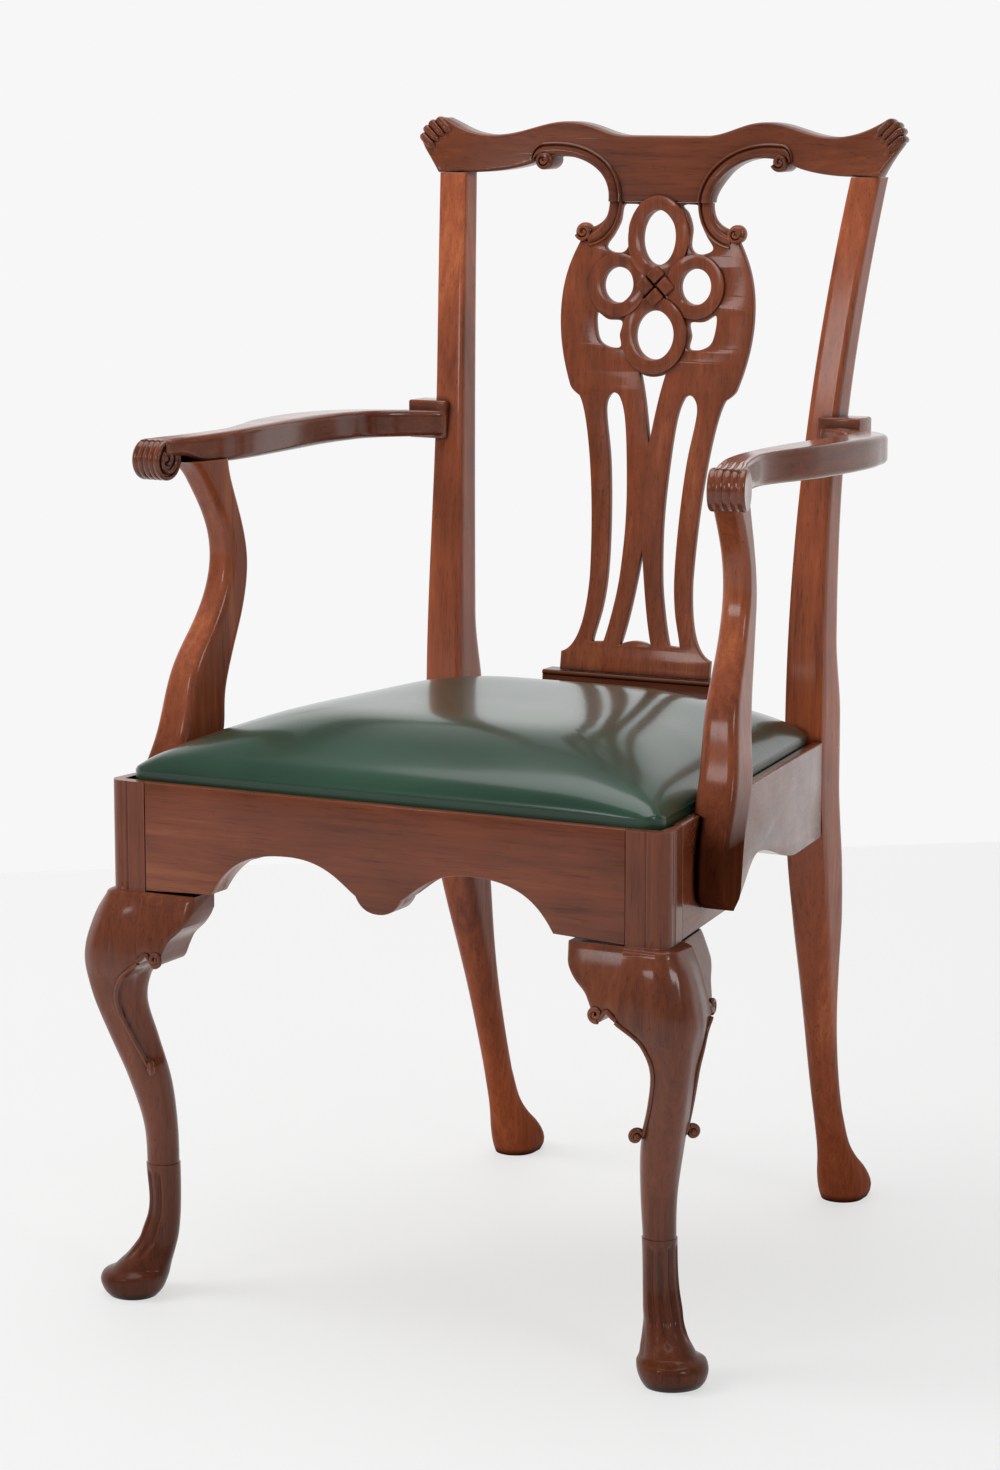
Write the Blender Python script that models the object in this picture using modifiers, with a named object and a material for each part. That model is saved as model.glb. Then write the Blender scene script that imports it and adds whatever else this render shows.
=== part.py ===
"""Carved mahogany armchair with a pierced splat, cabriole legs and a drop-in leather seat.

The front rail's face lies on y = 0 while the pieces are made, with x = 0 on the chair's centre
plane and z = 0 on the floor. The parent empty then centres the whole chair on the origin.
"""

import math

import bmesh
import bpy
from mathutils import Matrix, Vector

# Clearances
GAP = 0.0003              # between pieces that touch
SEAT_CLEAR = 0.0010       # round the drop-in seat
SEAT_BACK_CLEAR = 0.0030  # between the drop-in seat and the posts

# Seat frame
RAIL_TOP = 0.455
RAIL_HEIGHT = 0.093
RAIL_THICK = 0.028
SEAT_FRONT_WIDTH = 0.522
SEAT_BACK_WIDTH = 0.402
SEAT_LENGTH = 0.447
LIP = 0.010
REBATE = 0.022
TENON_THICK = 0.010
TENON_LENGTH = 0.014
TENON_HEIGHT = 0.048
TENON_DROP = 0.028
TENON_ROOT = 0.006
REAR_SET_IN = 0.002
APRON_RISE = 0.042
APRON_FLAT = 0.064
PENDANT_HALF = 0.021
PENDANT_DROP = 0.0135
SIDE_ARCH_RISE = 0.031
SIDE_REAR_RISE = 0.007
REAR_RAIL_RISE = 0.012
REAR_LEDGE = 0.014
CORNER_BLOCK = 0.055
CORNER_BLOCK_HEIGHT = 0.045
CORNER_BLOCK_DROP = 0.004

# Front legs
STUMP = 0.037
STUMP_ROUND = 0.014
KNEE_STEP = 0.004
KNEE_TOP_OUT = 0.0155
KNEE_OUT = 0.025
KNEE_TWIST = 0.0032
BRACKET_REACH = 0.050
BRACKET_HEIGHT = 0.061
BRACKET_THICK = 0.030
# Stations of the cabriole leg from the floor to the knee: share of the height, then how far the toe
# side and the heel side lie from the stump's corner along the diagonal, the shift across the
# diagonal, and half the breadth across it
LEG_STATIONS = (
    (0.000, 0.0020, -0.0400, 0.0145, 0.0235),
    (0.018, 0.0065, -0.0450, 0.0145, 0.0270),
    (0.056, 0.0075, -0.0500, 0.0140, 0.0280),
    (0.090, -0.0010, -0.0525, 0.0135, 0.0250),
    (0.123, -0.0130, -0.0555, 0.0135, 0.0205),
    (0.166, -0.0255, -0.0585, 0.0140, 0.0162),
    (0.249, -0.0345, -0.0605, 0.0135, 0.0140),
    (0.365, -0.0330, -0.0605, 0.0120, 0.0135),
    (0.498, -0.0300, -0.0590, 0.0103, 0.0150),
    (0.631, -0.0180, -0.0540, 0.0095, 0.0175),
    (0.764, -0.0020, -0.0430, 0.0098, 0.0182),
    (0.870, 0.0103, -0.0342, 0.0083, 0.0212),
    (0.947, 0.0167, -0.0375, 0.0068, 0.0270),
)

# Rear posts and legs
POST_RISE = 0.495
POST_WIDTH = 0.0375
POST_WIDTH_TOP = 0.028
POST_DEPTH = 0.046
POST_DEPTH_MID = 0.033
POST_DEPTH_TOP = 0.025
BACK_RAKE = 0.065
BACK_SPLAY = 0.0285
SHOULDER = 0.070
SHOULDER_RISE = 0.020
REAR_LEG_REACH = 0.1154
REAR_ANKLE = 0.026
REAR_ANKLE_IN = 0.0095
REAR_PAD_LENGTH = 0.057
REAR_PAD_WIDTH = 0.044
REAR_PAD_RIM = 0.014
POST_EDGE = 0.003
POST_BACK_ROUND = 0.0135

# Crest rail
CREST_RISE = 0.050
CREST_DROP = 0.025
CREST_NECK = 0.0515
CREST_THICK = 0.024
CREST_NECK_THICK = 0.014
CREST_BOW = 0.020
CREST_LEAN = 0.20
CREST_DIP = 0.0155
CREST_TENON = 0.018
CREST_EDGE = 0.0025
HUMP_X = 0.100
HUMP_DROP = 0.003
EAR_OUT = 0.020
EAR_TIP_RISE = 0.029
EAR_ROLL = 0.005
EAR_THIN = 0.55
UPPER_EYE_X = 0.1185
UPPER_EYE_RISE = 0.0115
EYE_RADIUS = 0.0085
EYE_PROUD = 0.003
SCROLL_WIDTH = 0.0125
SCROLL_PROUD = 0.002
SCROLL_PROUD_FOOT = 0.004

# Splat and shoe
SPLAT_THICK = 0.0068
SPLAT_BOW = 0.004
SPLAT_SET_BACK = 0.002
SPLAT_FOOT_BACK = 0.0295
SPLAT_TENON = 0.016
SPLAT_TENON_HALF = 0.030
SPLAT_FOOT_HALF = 0.0755
SPLAT_FOOT_RISE = 0.017
NECK_HALF = 0.0515
NECK_RISE = 0.088
WAIST_HALF = 0.0735
WAIST_DROP = 0.177
WAIST_STEP = 0.010
BOUT_HALF = 0.0970
BOUT_DROP = 0.101
LOWER_EYE_X = 0.0765
LOWER_EYE_DROP = 0.028
SLOT_LOW = 0.025
SLOT_DROP = 0.1735
VEE_RISE = 0.112
VEE_HALF = 0.0155
DART_DROP = 0.1545
DART_LENGTH = 0.0635
DART_HALF = 0.013
DART_ARCH = 0.0045
SLOT_OUT = 0.046
UPPER_HOLE_OUT = 0.054
UPPER_HOLE_HEIGHT = 0.043
UPPER_HOLE_DROP = 0.003
LOWER_HOLE_OUT = 0.0605
LOWER_HOLE_HEIGHT = 0.030
LOWER_HOLE_DROP = 0.056
KNOT_DROP = 0.0755
SIDE_LOOP_OUT = 0.039
SIDE_LOOP_HALF = 0.0225
SIDE_LOOP_RISE = 0.0230
TOP_LOOP_UP = 0.0435
TOP_LOOP_HALF = 0.0240
TOP_LOOP_RISE = 0.0315
FOOT_LOOP_DOWN = 0.0445
FOOT_LOOP_HALF = 0.0265
FOOT_LOOP_RISE = 0.0290
STRAP = 0.0128
STRAP_PROUD = 0.0022
STRAP_LEDGE = 0.0005
WEAVE = 0.0011
STRAP_EDGE = 0.0012
LOZENGE_LONG = 0.0125
LOZENGE_WIDE = 0.0090
LOZENGE_OUT = 0.0103
LOZENGE_PROUD = 0.0046
SHOE_HEIGHT = 0.042
SHOE_HALF = 0.090
SHOE_BASE = 0.013
SHOE_SET_BACK = 0.0045
SHOE_LIP = 0.006
SHOE_FILLET = 0.004

# Arms and their supports
ARM_TOP = 0.733
ARM_SWELL = 0.004
ARM_THICK = 0.0235
ARM_EDGE = 0.006
ARM_SWEEP = 0.0505
ARM_WIDTH = 0.039
ARM_SCROLL_Y = 0.0945
ARM_SCROLL_RADIUS = 0.0175
ARM_SCROLL_WIDTH = 0.0275
ARM_SCROLL_TURN = 4.0
ARM_REEDS = 4
REED_RISE = 0.0014
ARM_BLOCK_RISE = 0.009
ARM_BLOCK_HEIGHT = 0.035
ARM_BLOCK_PROUD = 0.003
ARM_BLOCK_DEPTH = 0.030
ARM_BLOCK_LAP = 0.0145
ARM_BLOCK_OUT = 0.025
SUPPORT_TOE = 0.066
SUPPORT_SWING = 0.091
SUPPORT_IN = 0.0075
SUPPORT_OUT = 0.0276
SUPPORT_OUT_TOP = 0.018
SUPPORT_DROP = 0.077
SUPPORT_EDGE = 0.004
SUPPORT_PIN_RADIUS = 0.006
SUPPORT_PIN_LENGTH = 0.010
DOWEL_RADIUS = 0.004
DOWEL_LENGTH = 0.034
DOWEL_SHIFT = 0.006

# Screws
SCREW_RADIUS = 0.0025
SCREW_HEAD_RADIUS = 0.0048
SCREW_HEAD_DEPTH = 0.0035
SCREW_BITE = 0.016
SCREW_DROPS = (0.034, 0.056)

# Drop-in seat
FRAME_WIDTH = 0.045
FRAME_THICK = 0.021
WEB_WIDTH = 0.048
WEB_THICK = 0.0015
WEB_SPACING = 0.100
HESSIAN_THICK = 0.001
LEATHER_THICK = 0.0015
LEATHER_CORNER = 0.016
SEAT_PUFF = 0.046
HESSIAN_IN = 0.006
WEB_IN = 0.008

# Faceting
RING = 24
POST_RING = 20
ARM_RING = 16
BEZIER_STEPS = 6
TURN_STEPS = 24

# Places worked out from the sizes above
RAIL_BOTTOM = RAIL_TOP - RAIL_HEIGHT
LEDGE = RAIL_TOP - REBATE
HALF_FRONT = SEAT_FRONT_WIDTH / 2
HALF_BACK = SEAT_BACK_WIDTH / 2
SIDE_SLOPE = (HALF_FRONT - HALF_BACK) / SEAT_LENGTH
STUMP_IN = HALF_FRONT - STUMP
POST_IN = HALF_BACK - POST_WIDTH
TENON_TOP = RAIL_TOP - TENON_DROP
TENON_BOTTOM = TENON_TOP - TENON_HEIGHT
ARM_BOTTOM = ARM_TOP - ARM_THICK
BACK_FACE = SEAT_LENGTH + POST_DEPTH
POST_TOP = RAIL_TOP + POST_RISE
EAR_TOP = POST_TOP + CREST_RISE
CREST_FOOT = POST_TOP - CREST_DROP
SHOE_TOP = RAIL_TOP + SHOE_HEIGHT
KNOT_Z = CREST_FOOT - KNOT_DROP
UPPER_EYE = (UPPER_EYE_X, POST_TOP + UPPER_EYE_RISE)
LOWER_EYE = (LOWER_EYE_X, CREST_FOOT - LOWER_EYE_DROP)
ROOT2 = math.sqrt(2.0)

MAHOGANY = ((0.150, 0.047, 0.024), 0.32, 0.0)
BEECH = ((0.420, 0.290, 0.170), 0.60, 0.0)
LEATHER = ((0.018, 0.048, 0.036), 0.38, 0.0)
JUTE = ((0.380, 0.270, 0.150), 0.90, 0.0)
HAIR = ((0.060, 0.048, 0.040), 0.95, 0.0)
STEEL = ((0.350, 0.340, 0.320), 0.40, 1.0)


def clear_scene():
    """Remove whatever the file opened with."""
    for thing in list(bpy.data.objects):
        bpy.data.objects.remove(thing, do_unlink=True)


def new_collection(name):
    """Make a collection and link it to the scene."""
    collection = bpy.data.collections.new(name)
    bpy.context.scene.collection.children.link(collection)
    return collection


clear_scene()
PARTS = new_collection("armchair")
CUTTERS = new_collection("armchair_cutters")


def new_empty(name, place, parent=None):
    """Make an empty that carries other objects."""
    empty = bpy.data.objects.new(name, None)
    PARTS.objects.link(empty)
    empty.location = place
    empty.parent = parent
    return empty


CHAIR = new_empty("chair_origin", (0.0, 0.0, 0.0))
SEAT_LIFT = new_empty("seat_lift", (0.0, SEAT_LENGTH / 2, LEDGE), CHAIR)


def make_material(name, finish):
    """Principled material with one colour, roughness and metallic value."""
    colour, roughness, metallic = finish
    made = bpy.data.materials.new(name)
    made.use_nodes = True
    shader = made.node_tree.nodes["Principled BSDF"]
    shader.inputs["Base Color"].default_value = (*colour, 1.0)
    shader.inputs["Roughness"].default_value = roughness
    shader.inputs["Metallic"].default_value = metallic
    return made


def add_part(name, shape, finish, parent=CHAIR):
    """Turn a bmesh into a named, shaded object of the chair."""
    mesh = bpy.data.meshes.new(name)
    bmesh.ops.recalc_face_normals(shape, faces=shape.faces[:])
    shape.to_mesh(mesh)
    shape.free()
    part = bpy.data.objects.new(name, mesh)
    PARTS.objects.link(part)
    part.parent = parent
    part.matrix_parent_inverse = Matrix.Translation(parent.location).inverted()
    if parent is CHAIR:
        part.matrix_parent_inverse = Matrix.Identity(4)
    mesh.materials.append(make_material(name, finish))
    shade(mesh)
    return part


def shade(mesh):
    """Smooth shading with sharp arrises."""
    mesh.shade_smooth()
    mesh.set_sharp_from_angle(angle=math.radians(35.0))


def add_cutter(name, shape):
    """Keep a bmesh as a wire object that only cuts or joins."""
    mesh = bpy.data.meshes.new(name)
    bmesh.ops.recalc_face_normals(shape, faces=shape.faces[:])
    shape.to_mesh(mesh)
    shape.free()
    cutter = bpy.data.objects.new(name, mesh)
    CUTTERS.objects.link(cutter)
    cutter.parent = CHAIR
    cutter.hide_render = True
    cutter.display_type = "WIRE"
    return cutter


def combine(part, cutter, operation):
    """Boolean the cutter into the part."""
    step = part.modifiers.new(cutter.name, "BOOLEAN")
    step.operation = operation
    step.object = cutter
    step.solver = "EXACT"


def cut(part, *cutters):
    """Take each cutter away from the part."""
    for cutter in cutters:
        combine(part, cutter, "DIFFERENCE")


def join(part, *pieces):
    """Add each piece to the part."""
    for piece in pieces:
        combine(part, piece, "UNION")


def soften(part, width, segments=1, angle=40.0):
    """Round the arrises of a part."""
    step = part.modifiers.new("soft_edges", "BEVEL")
    step.width = width
    step.segments = segments
    step.limit_method = "ANGLE"
    step.angle_limit = math.radians(angle)
    step.use_clamp_overlap = True


def evaluated_copy(part):
    """Mesh of a part with its modifiers applied."""
    bpy.context.view_layer.update()
    graph = bpy.context.evaluated_depsgraph_get()
    return bpy.data.meshes.new_from_object(part.evaluated_get(graph))


def mirror_part(part, name):
    """Left-hand copy of a right-hand part."""
    mesh = evaluated_copy(part)
    mesh.transform(Matrix.Scale(-1.0, 4, Vector((1.0, 0.0, 0.0))))
    mesh.flip_normals()
    mesh.name = name
    twin = bpy.data.objects.new(name, mesh)
    PARTS.objects.link(twin)
    twin.parent = part.parent
    twin.matrix_parent_inverse = part.matrix_parent_inverse
    mesh.materials.clear()
    mesh.materials.append(part.data.materials[0].copy())
    mesh.materials[0].name = name
    shade(mesh)
    return twin


def side_x(y):
    """Outer face of the side rail at a depth y."""
    return HALF_FRONT - SIDE_SLOPE * y


def smooth(points, at):
    """Value at a place on a smooth curve through (place, value) points."""
    if at <= points[0][0]:
        return points[0][1]
    if at >= points[-1][0]:
        return points[-1][1]
    count = len(points)
    slopes = []
    for i in range(count):
        low = points[max(i - 1, 0)]
        high = points[min(i + 1, count - 1)]
        slopes.append((high[1] - low[1]) / (high[0] - low[0]))
    for i in range(count - 1):
        if at <= points[i + 1][0]:
            break
    (a, value_a), (b, value_b) = points[i], points[i + 1]
    span = b - a
    t = (at - a) / span
    return ((2 * t ** 3 - 3 * t ** 2 + 1) * value_a + (t ** 3 - 2 * t ** 2 + t) * span * slopes[i]
            + (3 * t ** 2 - 2 * t ** 3) * value_b + (t ** 3 - t ** 2) * span * slopes[i + 1])


def ease(low, high, at):
    """Smooth step from 0 at low to 1 at high."""
    t = min(max((at - low) / (high - low), 0.0), 1.0)
    return t * t * (3 - 2 * t)


def bezier(a, b, c, d, steps=BEZIER_STEPS):
    """Points of a cubic curve after its first point."""
    points = []
    for i in range(1, steps + 1):
        t = i / steps
        s = 1 - t
        points.append(tuple(s ** 3 * a[k] + 3 * s * s * t * b[k] + 3 * s * t * t * c[k] + t ** 3 * d[k]
                            for k in range(2)))
    return points


def arc(centre, radius, start, end, steps=BEZIER_STEPS, stretch=1.0):
    """Points on a round or oval arc, angles in degrees, both ends included."""
    points = []
    for i in range(steps + 1):
        turn = math.radians(start + (end - start) * i / steps)
        points.append((centre[0] + radius * math.cos(turn), centre[1] + radius * stretch * math.sin(turn)))
    return points


def box(x0, x1, y0, y1, z0, z1):
    """Box between two corners."""
    shape = bmesh.new()
    place = Matrix.Translation(((x0 + x1) / 2, (y0 + y1) / 2, (z0 + z1) / 2))
    size = Matrix.Diagonal((x1 - x0, y1 - y0, z1 - z0, 1.0))
    bmesh.ops.create_cube(shape, size=1.0, matrix=place @ size)
    return shape


def rod(start, end, radius, sides=16, end_radius=None):
    """Round rod or cone between two points."""
    shape = bmesh.new()
    along = Vector(end) - Vector(start)
    turn = along.to_track_quat("Z", "Y").to_matrix().to_4x4()
    place = Matrix.Translation((Vector(start) + Vector(end)) / 2) @ turn
    tip = radius if end_radius is None else end_radius
    bmesh.ops.create_cone(shape, cap_ends=True, segments=sides, radius1=radius, radius2=tip,
                          depth=along.length, matrix=place)
    return shape


def prism(outline, low, high, axis="Z"):
    """Solid of a flat outline, drawn on the plane across the axis, between two levels."""
    order = {"X": lambda a, b, c: (c, a, b), "Y": lambda a, b, c: (a, c, b), "Z": lambda a, b, c: (a, b, c)}
    shape = bmesh.new()
    base = shape.faces.new([shape.verts.new(order[axis](a, b, low)) for a, b in outline])
    moved = bmesh.ops.extrude_face_region(shape, geom=[base])
    tops = [item for item in moved["geom"] if isinstance(item, bmesh.types.BMVert)]
    bmesh.ops.translate(shape, verts=tops, vec=order[axis](0.0, 0.0, high - low))
    bmesh.ops.recalc_face_normals(shape, faces=shape.faces[:])
    return shape


def plate(outlines, thickness):
    """Board cut to a filled outline on the XZ plane, with holes, its front face on y = 0."""
    curve = bpy.data.curves.new("plate", "CURVE")
    curve.dimensions = "2D"
    curve.fill_mode = "BOTH"
    curve.extrude = thickness / 2
    for outline in outlines:
        spline = curve.splines.new("POLY")
        spline.points.add(len(outline) - 1)
        spline.use_cyclic_u = True
        for point, (x, z) in zip(spline.points, outline):
            point.co = (x, z, 0.0, 1.0)
    guide = bpy.data.objects.new("plate", curve)
    CUTTERS.objects.link(guide)
    mesh = evaluated_copy(guide)
    bpy.data.objects.remove(guide, do_unlink=True)
    shape = bmesh.new()
    shape.from_mesh(mesh)
    bpy.data.meshes.remove(mesh)
    bmesh.ops.remove_doubles(shape, verts=shape.verts[:], dist=0.00002)
    for vert in shape.verts:
        x, z, depth = vert.co
        vert.co = (x, thickness / 2 - depth, z)
    bmesh.ops.recalc_face_normals(shape, faces=shape.faces[:])
    return shape


def slice_across(shape, normal, places):
    """Add edge loops where planes across a direction meet the shape."""
    for place in places:
        geometry = shape.verts[:] + shape.edges[:] + shape.faces[:]
        bmesh.ops.bisect_plane(shape, geom=geometry, plane_co=Vector(normal) * place, plane_no=normal,
                               dist=0.00001)


def loft(rings, round_again=False):
    """Closed solid through a row of rings with equal counts of points, capped or run on into the first ring."""
    shape = bmesh.new()
    rows = [[shape.verts.new(point) for point in ring] for ring in rings]
    pairs = list(zip(rows, rows[1:]))
    if round_again:
        pairs.append((rows[-1], rows[0]))
    for low, high in pairs:
        for i in range(len(low)):
            j = (i + 1) % len(low)
            shape.faces.new((low[i], low[j], high[j], high[i]))
    if not round_again:
        shape.faces.new(list(reversed(rows[0])))
        shape.faces.new(rows[-1])
    bmesh.ops.recalc_face_normals(shape, faces=shape.faces[:])
    return shape


def box_ring(x0, x1, y0, y1, radii, count):
    """Ring of points round a box in plan. Radii are for the +x-y, +x+y, -x+y and -x-y corners."""
    centre_x, centre_y = (x0 + x1) / 2, (y0 + y1) / 2
    half_x, half_y = (x1 - x0) / 2, (y1 - y0) / 2
    ring = []
    for i in range(count):
        turn = 2 * math.pi * i / count
        c, s = math.cos(turn), math.sin(turn)
        reach = max(abs(c), abs(s))
        x, y = half_x * c / reach, half_y * s / reach
        if x >= 0:
            radius = radii[0] if y < 0 else radii[1]
        else:
            radius = radii[2] if y >= 0 else radii[3]
        radius = min(radius, half_x, half_y)
        corner_x, corner_y = half_x - radius, half_y - radius
        if radius > 0 and abs(x) > corner_x and abs(y) > corner_y:
            away = Vector((abs(x) - corner_x, abs(y) - corner_y)).normalized() * radius
            x = math.copysign(corner_x + away.x, x)
            y = math.copysign(corner_y + away.y, y)
        ring.append((centre_x + x, centre_y + y))
    return ring


def turned(profile, steps=TURN_STEPS):
    """Solid turned about the Z axis from a (radius, height) profile that runs from top to bottom."""
    mesh = bpy.data.meshes.new("turned")
    shape = bmesh.new()
    points = [shape.verts.new((radius, 0.0, height)) for radius, height in profile]
    for a, b in zip(points, points[1:]):
        shape.edges.new((a, b))
    shape.to_mesh(mesh)
    shape.free()
    guide = bpy.data.objects.new("turned", mesh)
    CUTTERS.objects.link(guide)
    screw = guide.modifiers.new("turn", "SCREW")
    screw.steps = steps
    screw.render_steps = steps
    screw.use_merge_vertices = True
    screw.merge_threshold = 0.00002
    made = evaluated_copy(guide)
    bpy.data.objects.remove(guide, do_unlink=True)
    result = bmesh.new()
    result.from_mesh(made)
    bpy.data.meshes.remove(made)
    bmesh.ops.remove_doubles(result, verts=result.verts[:], dist=0.00002)
    bmesh.ops.recalc_face_normals(result, faces=result.faces[:])
    return result


def knee_bulge(z, side):
    """How far the knee stands out of the stump's front face (side -1) or outer face (side +1)."""
    rise = (RAIL_BOTTOM - z) / BRACKET_HEIGHT
    corner = ROOT2 * STUMP - (ROOT2 - 1) * STUMP_ROUND
    reach = smooth(((0.0, KNEE_STEP), (0.36, KNEE_TOP_OUT), (0.90, KNEE_OUT), (1.35, 0.85 * KNEE_OUT)), rise)
    return (corner + reach + (ROOT2 - 1) * STUMP_ROUND) / ROOT2 - STUMP + side * KNEE_TWIST * rise


def knee_ring(z):
    """Plan ring of the knee, square inside where the brackets meet it."""
    arris = POST_EDGE
    ring = box_ring(STUMP_IN, HALF_FRONT + knee_bulge(z, 1.0), -knee_bulge(z, -1.0), STUMP,
                    (STUMP_ROUND, arris, 0.0, arris), RING)
    return [(x, y, z) for x, y in ring]


def shin_ring(station, knee_end):
    """Plan ring of the cabriole leg at one of its stations."""
    share, toe, heel, shift, breadth = station
    squareness = 1.0 - 0.35 * ease(0.45, 1.0, share)
    half = (toe - heel) / (2 * ROOT2 - 2 * (ROOT2 - 1) * squareness)
    ring = box_ring(-half, half, -half, half, [squareness * half] * 4, RING)
    narrow = 2 * breadth / (toe - heel)
    points = []
    for x, y in ring:
        along = (x - y) / ROOT2 + (toe + heel) / 2
        across = (x + y) / ROOT2 * narrow + shift
        points.append((HALF_FRONT + (along + across) / ROOT2, (across - along) / ROOT2, share * knee_end))
    return points


def stump_ring(z):
    """Plan ring of the square stump, its outer face in line with the side rail."""
    ring = box_ring(STUMP_IN, HALF_FRONT, 0.0, STUMP, (STUMP_ROUND, 0.0, 0.0, 0.0), RING)
    points = []
    for x, y in ring:
        share = (x - STUMP_IN) / STUMP
        points.append((x - SIDE_SLOPE * y * share, y, z))
    return points


def seat_well():
    """Cutter for the recess that takes the drop-in seat."""
    back = SEAT_LENGTH + RAIL_THICK
    outline = [(-side_x(LIP) + LIP, LIP), (side_x(LIP) - LIP, LIP), (side_x(back) - LIP, back),
               (-side_x(back) + LIP, back)]
    return add_cutter("seat_well", prism(outline, LEDGE, RAIL_TOP + REBATE))


def tenon_boxes(grow, name):
    """Right-hand tenons of the front and side rails, grown by a clearance for their mortises."""
    low, high = TENON_BOTTOM - grow, TENON_TOP + grow
    deep = TENON_LENGTH + grow
    middle = RAIL_THICK / 2
    half = TENON_THICK / 2 + grow
    root = TENON_ROOT
    front = box(STUMP_IN - root, STUMP_IN + deep, middle - half, middle + half, low, high)
    centre = side_x(STUMP) - middle
    side_front = box(centre - half, centre + half, STUMP - deep, STUMP + root, low, high)
    centre = side_x(SEAT_LENGTH) - middle
    side_rear = box(centre - half, centre + half, SEAT_LENGTH - root, SEAT_LENGTH + deep, low, high)
    rear_y = SEAT_LENGTH + POST_DEPTH / 2
    rear = box(POST_IN - root, POST_IN + deep, rear_y - half, rear_y + half, low, high)
    shapes = {"front": front, "side_front": side_front, "side_rear": side_rear, "rear": rear}
    return {key: add_cutter(name + "_" + key, shape) for key, shape in shapes.items()}


def make_front_legs(well, mortises):
    """Cabriole legs with their square stumps, knees, ankles and pad feet."""
    knee_end = RAIL_BOTTOM - BRACKET_HEIGHT
    rings = [shin_ring(station, knee_end) for station in LEG_STATIONS]
    rings += [knee_ring(RAIL_BOTTOM - BRACKET_HEIGHT * share) for share in (1.0, 0.75, 0.50, 0.27, 0.10, 0.02)]
    rings += [stump_ring(RAIL_BOTTOM), stump_ring(RAIL_TOP)]
    leg = add_part("front_leg_right", loft(rings), MAHOGANY)
    cut(leg, well, mortises["front"], mortises["side_front"])
    mirror_part(leg, "front_leg_left")


def bracket_rings(across, side):
    """Rings of a knee bracket from the leg outwards; across maps (run, depth) to plan x and y."""
    stations = ((0.0, 1.0, 1.0), (0.08, 0.95, 1.0), (0.20, 0.88, 1.0), (0.33, 1.0, 1.0), (0.42, 0.95, 1.0),
                (0.50, 0.80, 1.0), (0.60, 0.64, 1.0), (0.80, 0.48, 0.98), (0.93, 0.34, 0.95), (1.0, 0.22, 0.85))
    top = RAIL_BOTTOM - GAP
    rings = []
    for share, drop, bulge in stations:
        run = GAP + BRACKET_REACH * share
        low = RAIL_BOTTOM - (BRACKET_HEIGHT - GAP) * drop
        levels = [low + (top - low) * i / 5 for i in range(6)]
        ring = [(*across(run, -bulge * knee_bulge(z, side)), z) for z in levels]
        ring += [(*across(run, BRACKET_THICK), z) for z in (top, low)]
        rings.append(ring)
    return rings


def make_brackets():
    """Shaped blocks that carry each knee's curve under the rails."""
    front = loft(bracket_rings(lambda run, depth: (STUMP_IN - run, depth), -1.0))
    part = add_part("knee_bracket_front_right", front, MAHOGANY)
    mirror_part(part, "knee_bracket_front_left")
    side = loft(bracket_rings(lambda run, depth: (side_x(STUMP + run) - depth, STUMP + run), 1.0))
    part = add_part("knee_bracket_side_right", side, MAHOGANY)
    mirror_part(part, "knee_bracket_side_left")


def apron_half():
    """Lower edge of the right half of the front rail, from the leg to the centre."""
    end = STUMP_IN - APRON_FLAT
    crown = RAIL_BOTTOM + APRON_RISE
    top = (end * 0.53, crown)
    cusp = (PENDANT_HALF, RAIL_BOTTOM + 0.002 + PENDANT_DROP)
    corner = (end, RAIL_BOTTOM + 0.003)
    points = [(STUMP_IN - GAP, RAIL_BOTTOM), corner]
    points += bezier(corner, (end - 0.013, RAIL_BOTTOM + 0.6 * APRON_RISE), (end - 0.030, crown), top)
    points += bezier(top, (top[0] - 0.036, crown), (cusp[0] + 0.014, cusp[1] + 0.009), cusp)
    points += bezier(cusp, (cusp[0] - 0.004, cusp[1] - 0.009), (0.010, RAIL_BOTTOM + 0.002),
                     (0.0, RAIL_BOTTOM + 0.002))
    return points


def make_front_rail(well, tenons):
    """Front rail with its shaped apron."""
    half = apron_half()
    left = [(-x, z) for x, z in reversed(half[:-1])]
    top = [(-STUMP_IN + GAP, RAIL_TOP), (STUMP_IN - GAP, RAIL_TOP)]
    rail = add_part("front_rail", plate([half + left + top], RAIL_THICK), MAHOGANY)
    other = add_cutter("tenon_front_left", box(-STUMP_IN - TENON_LENGTH, -STUMP_IN + TENON_ROOT,
                                               (RAIL_THICK - TENON_THICK) / 2, (RAIL_THICK + TENON_THICK) / 2,
                                               TENON_BOTTOM, TENON_TOP))
    join(rail, tenons["front"], other)
    cut(rail, well)


def make_side_rails(well, tenons, screw_holes):
    """Side rails, arched underneath, that run in towards the back."""
    start, end = STUMP + GAP, SEAT_LENGTH - GAP
    rise = RAIL_BOTTOM + SIDE_ARCH_RISE
    rear = RAIL_BOTTOM + SIDE_REAR_RISE
    crown = (0.56 * SEAT_LENGTH, rise)
    foot = (0.40 * SEAT_LENGTH, RAIL_BOTTOM)
    heel = (0.83 * SEAT_LENGTH, rear)
    outline = [(start, RAIL_BOTTOM), foot]
    outline += bezier(foot, (foot[0] + 0.030, RAIL_BOTTOM), (crown[0] - 0.028, rise), crown)
    outline += bezier(crown, (crown[0] + 0.036, rise), (heel[0] - 0.040, rear), heel)
    outline += [(end, rear), (end, RAIL_TOP), (start, RAIL_TOP)]
    shape = prism(outline, -RAIL_THICK, 0.0, "X")
    for vert in shape.verts:
        vert.co.x += side_x(vert.co.y)
    rail = add_part("side_rail_right", shape, MAHOGANY)
    join(rail, tenons["side_front"], tenons["side_rear"])
    cut(rail, well, *screw_holes)
    mirror_part(rail, "side_rail_left")


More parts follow.
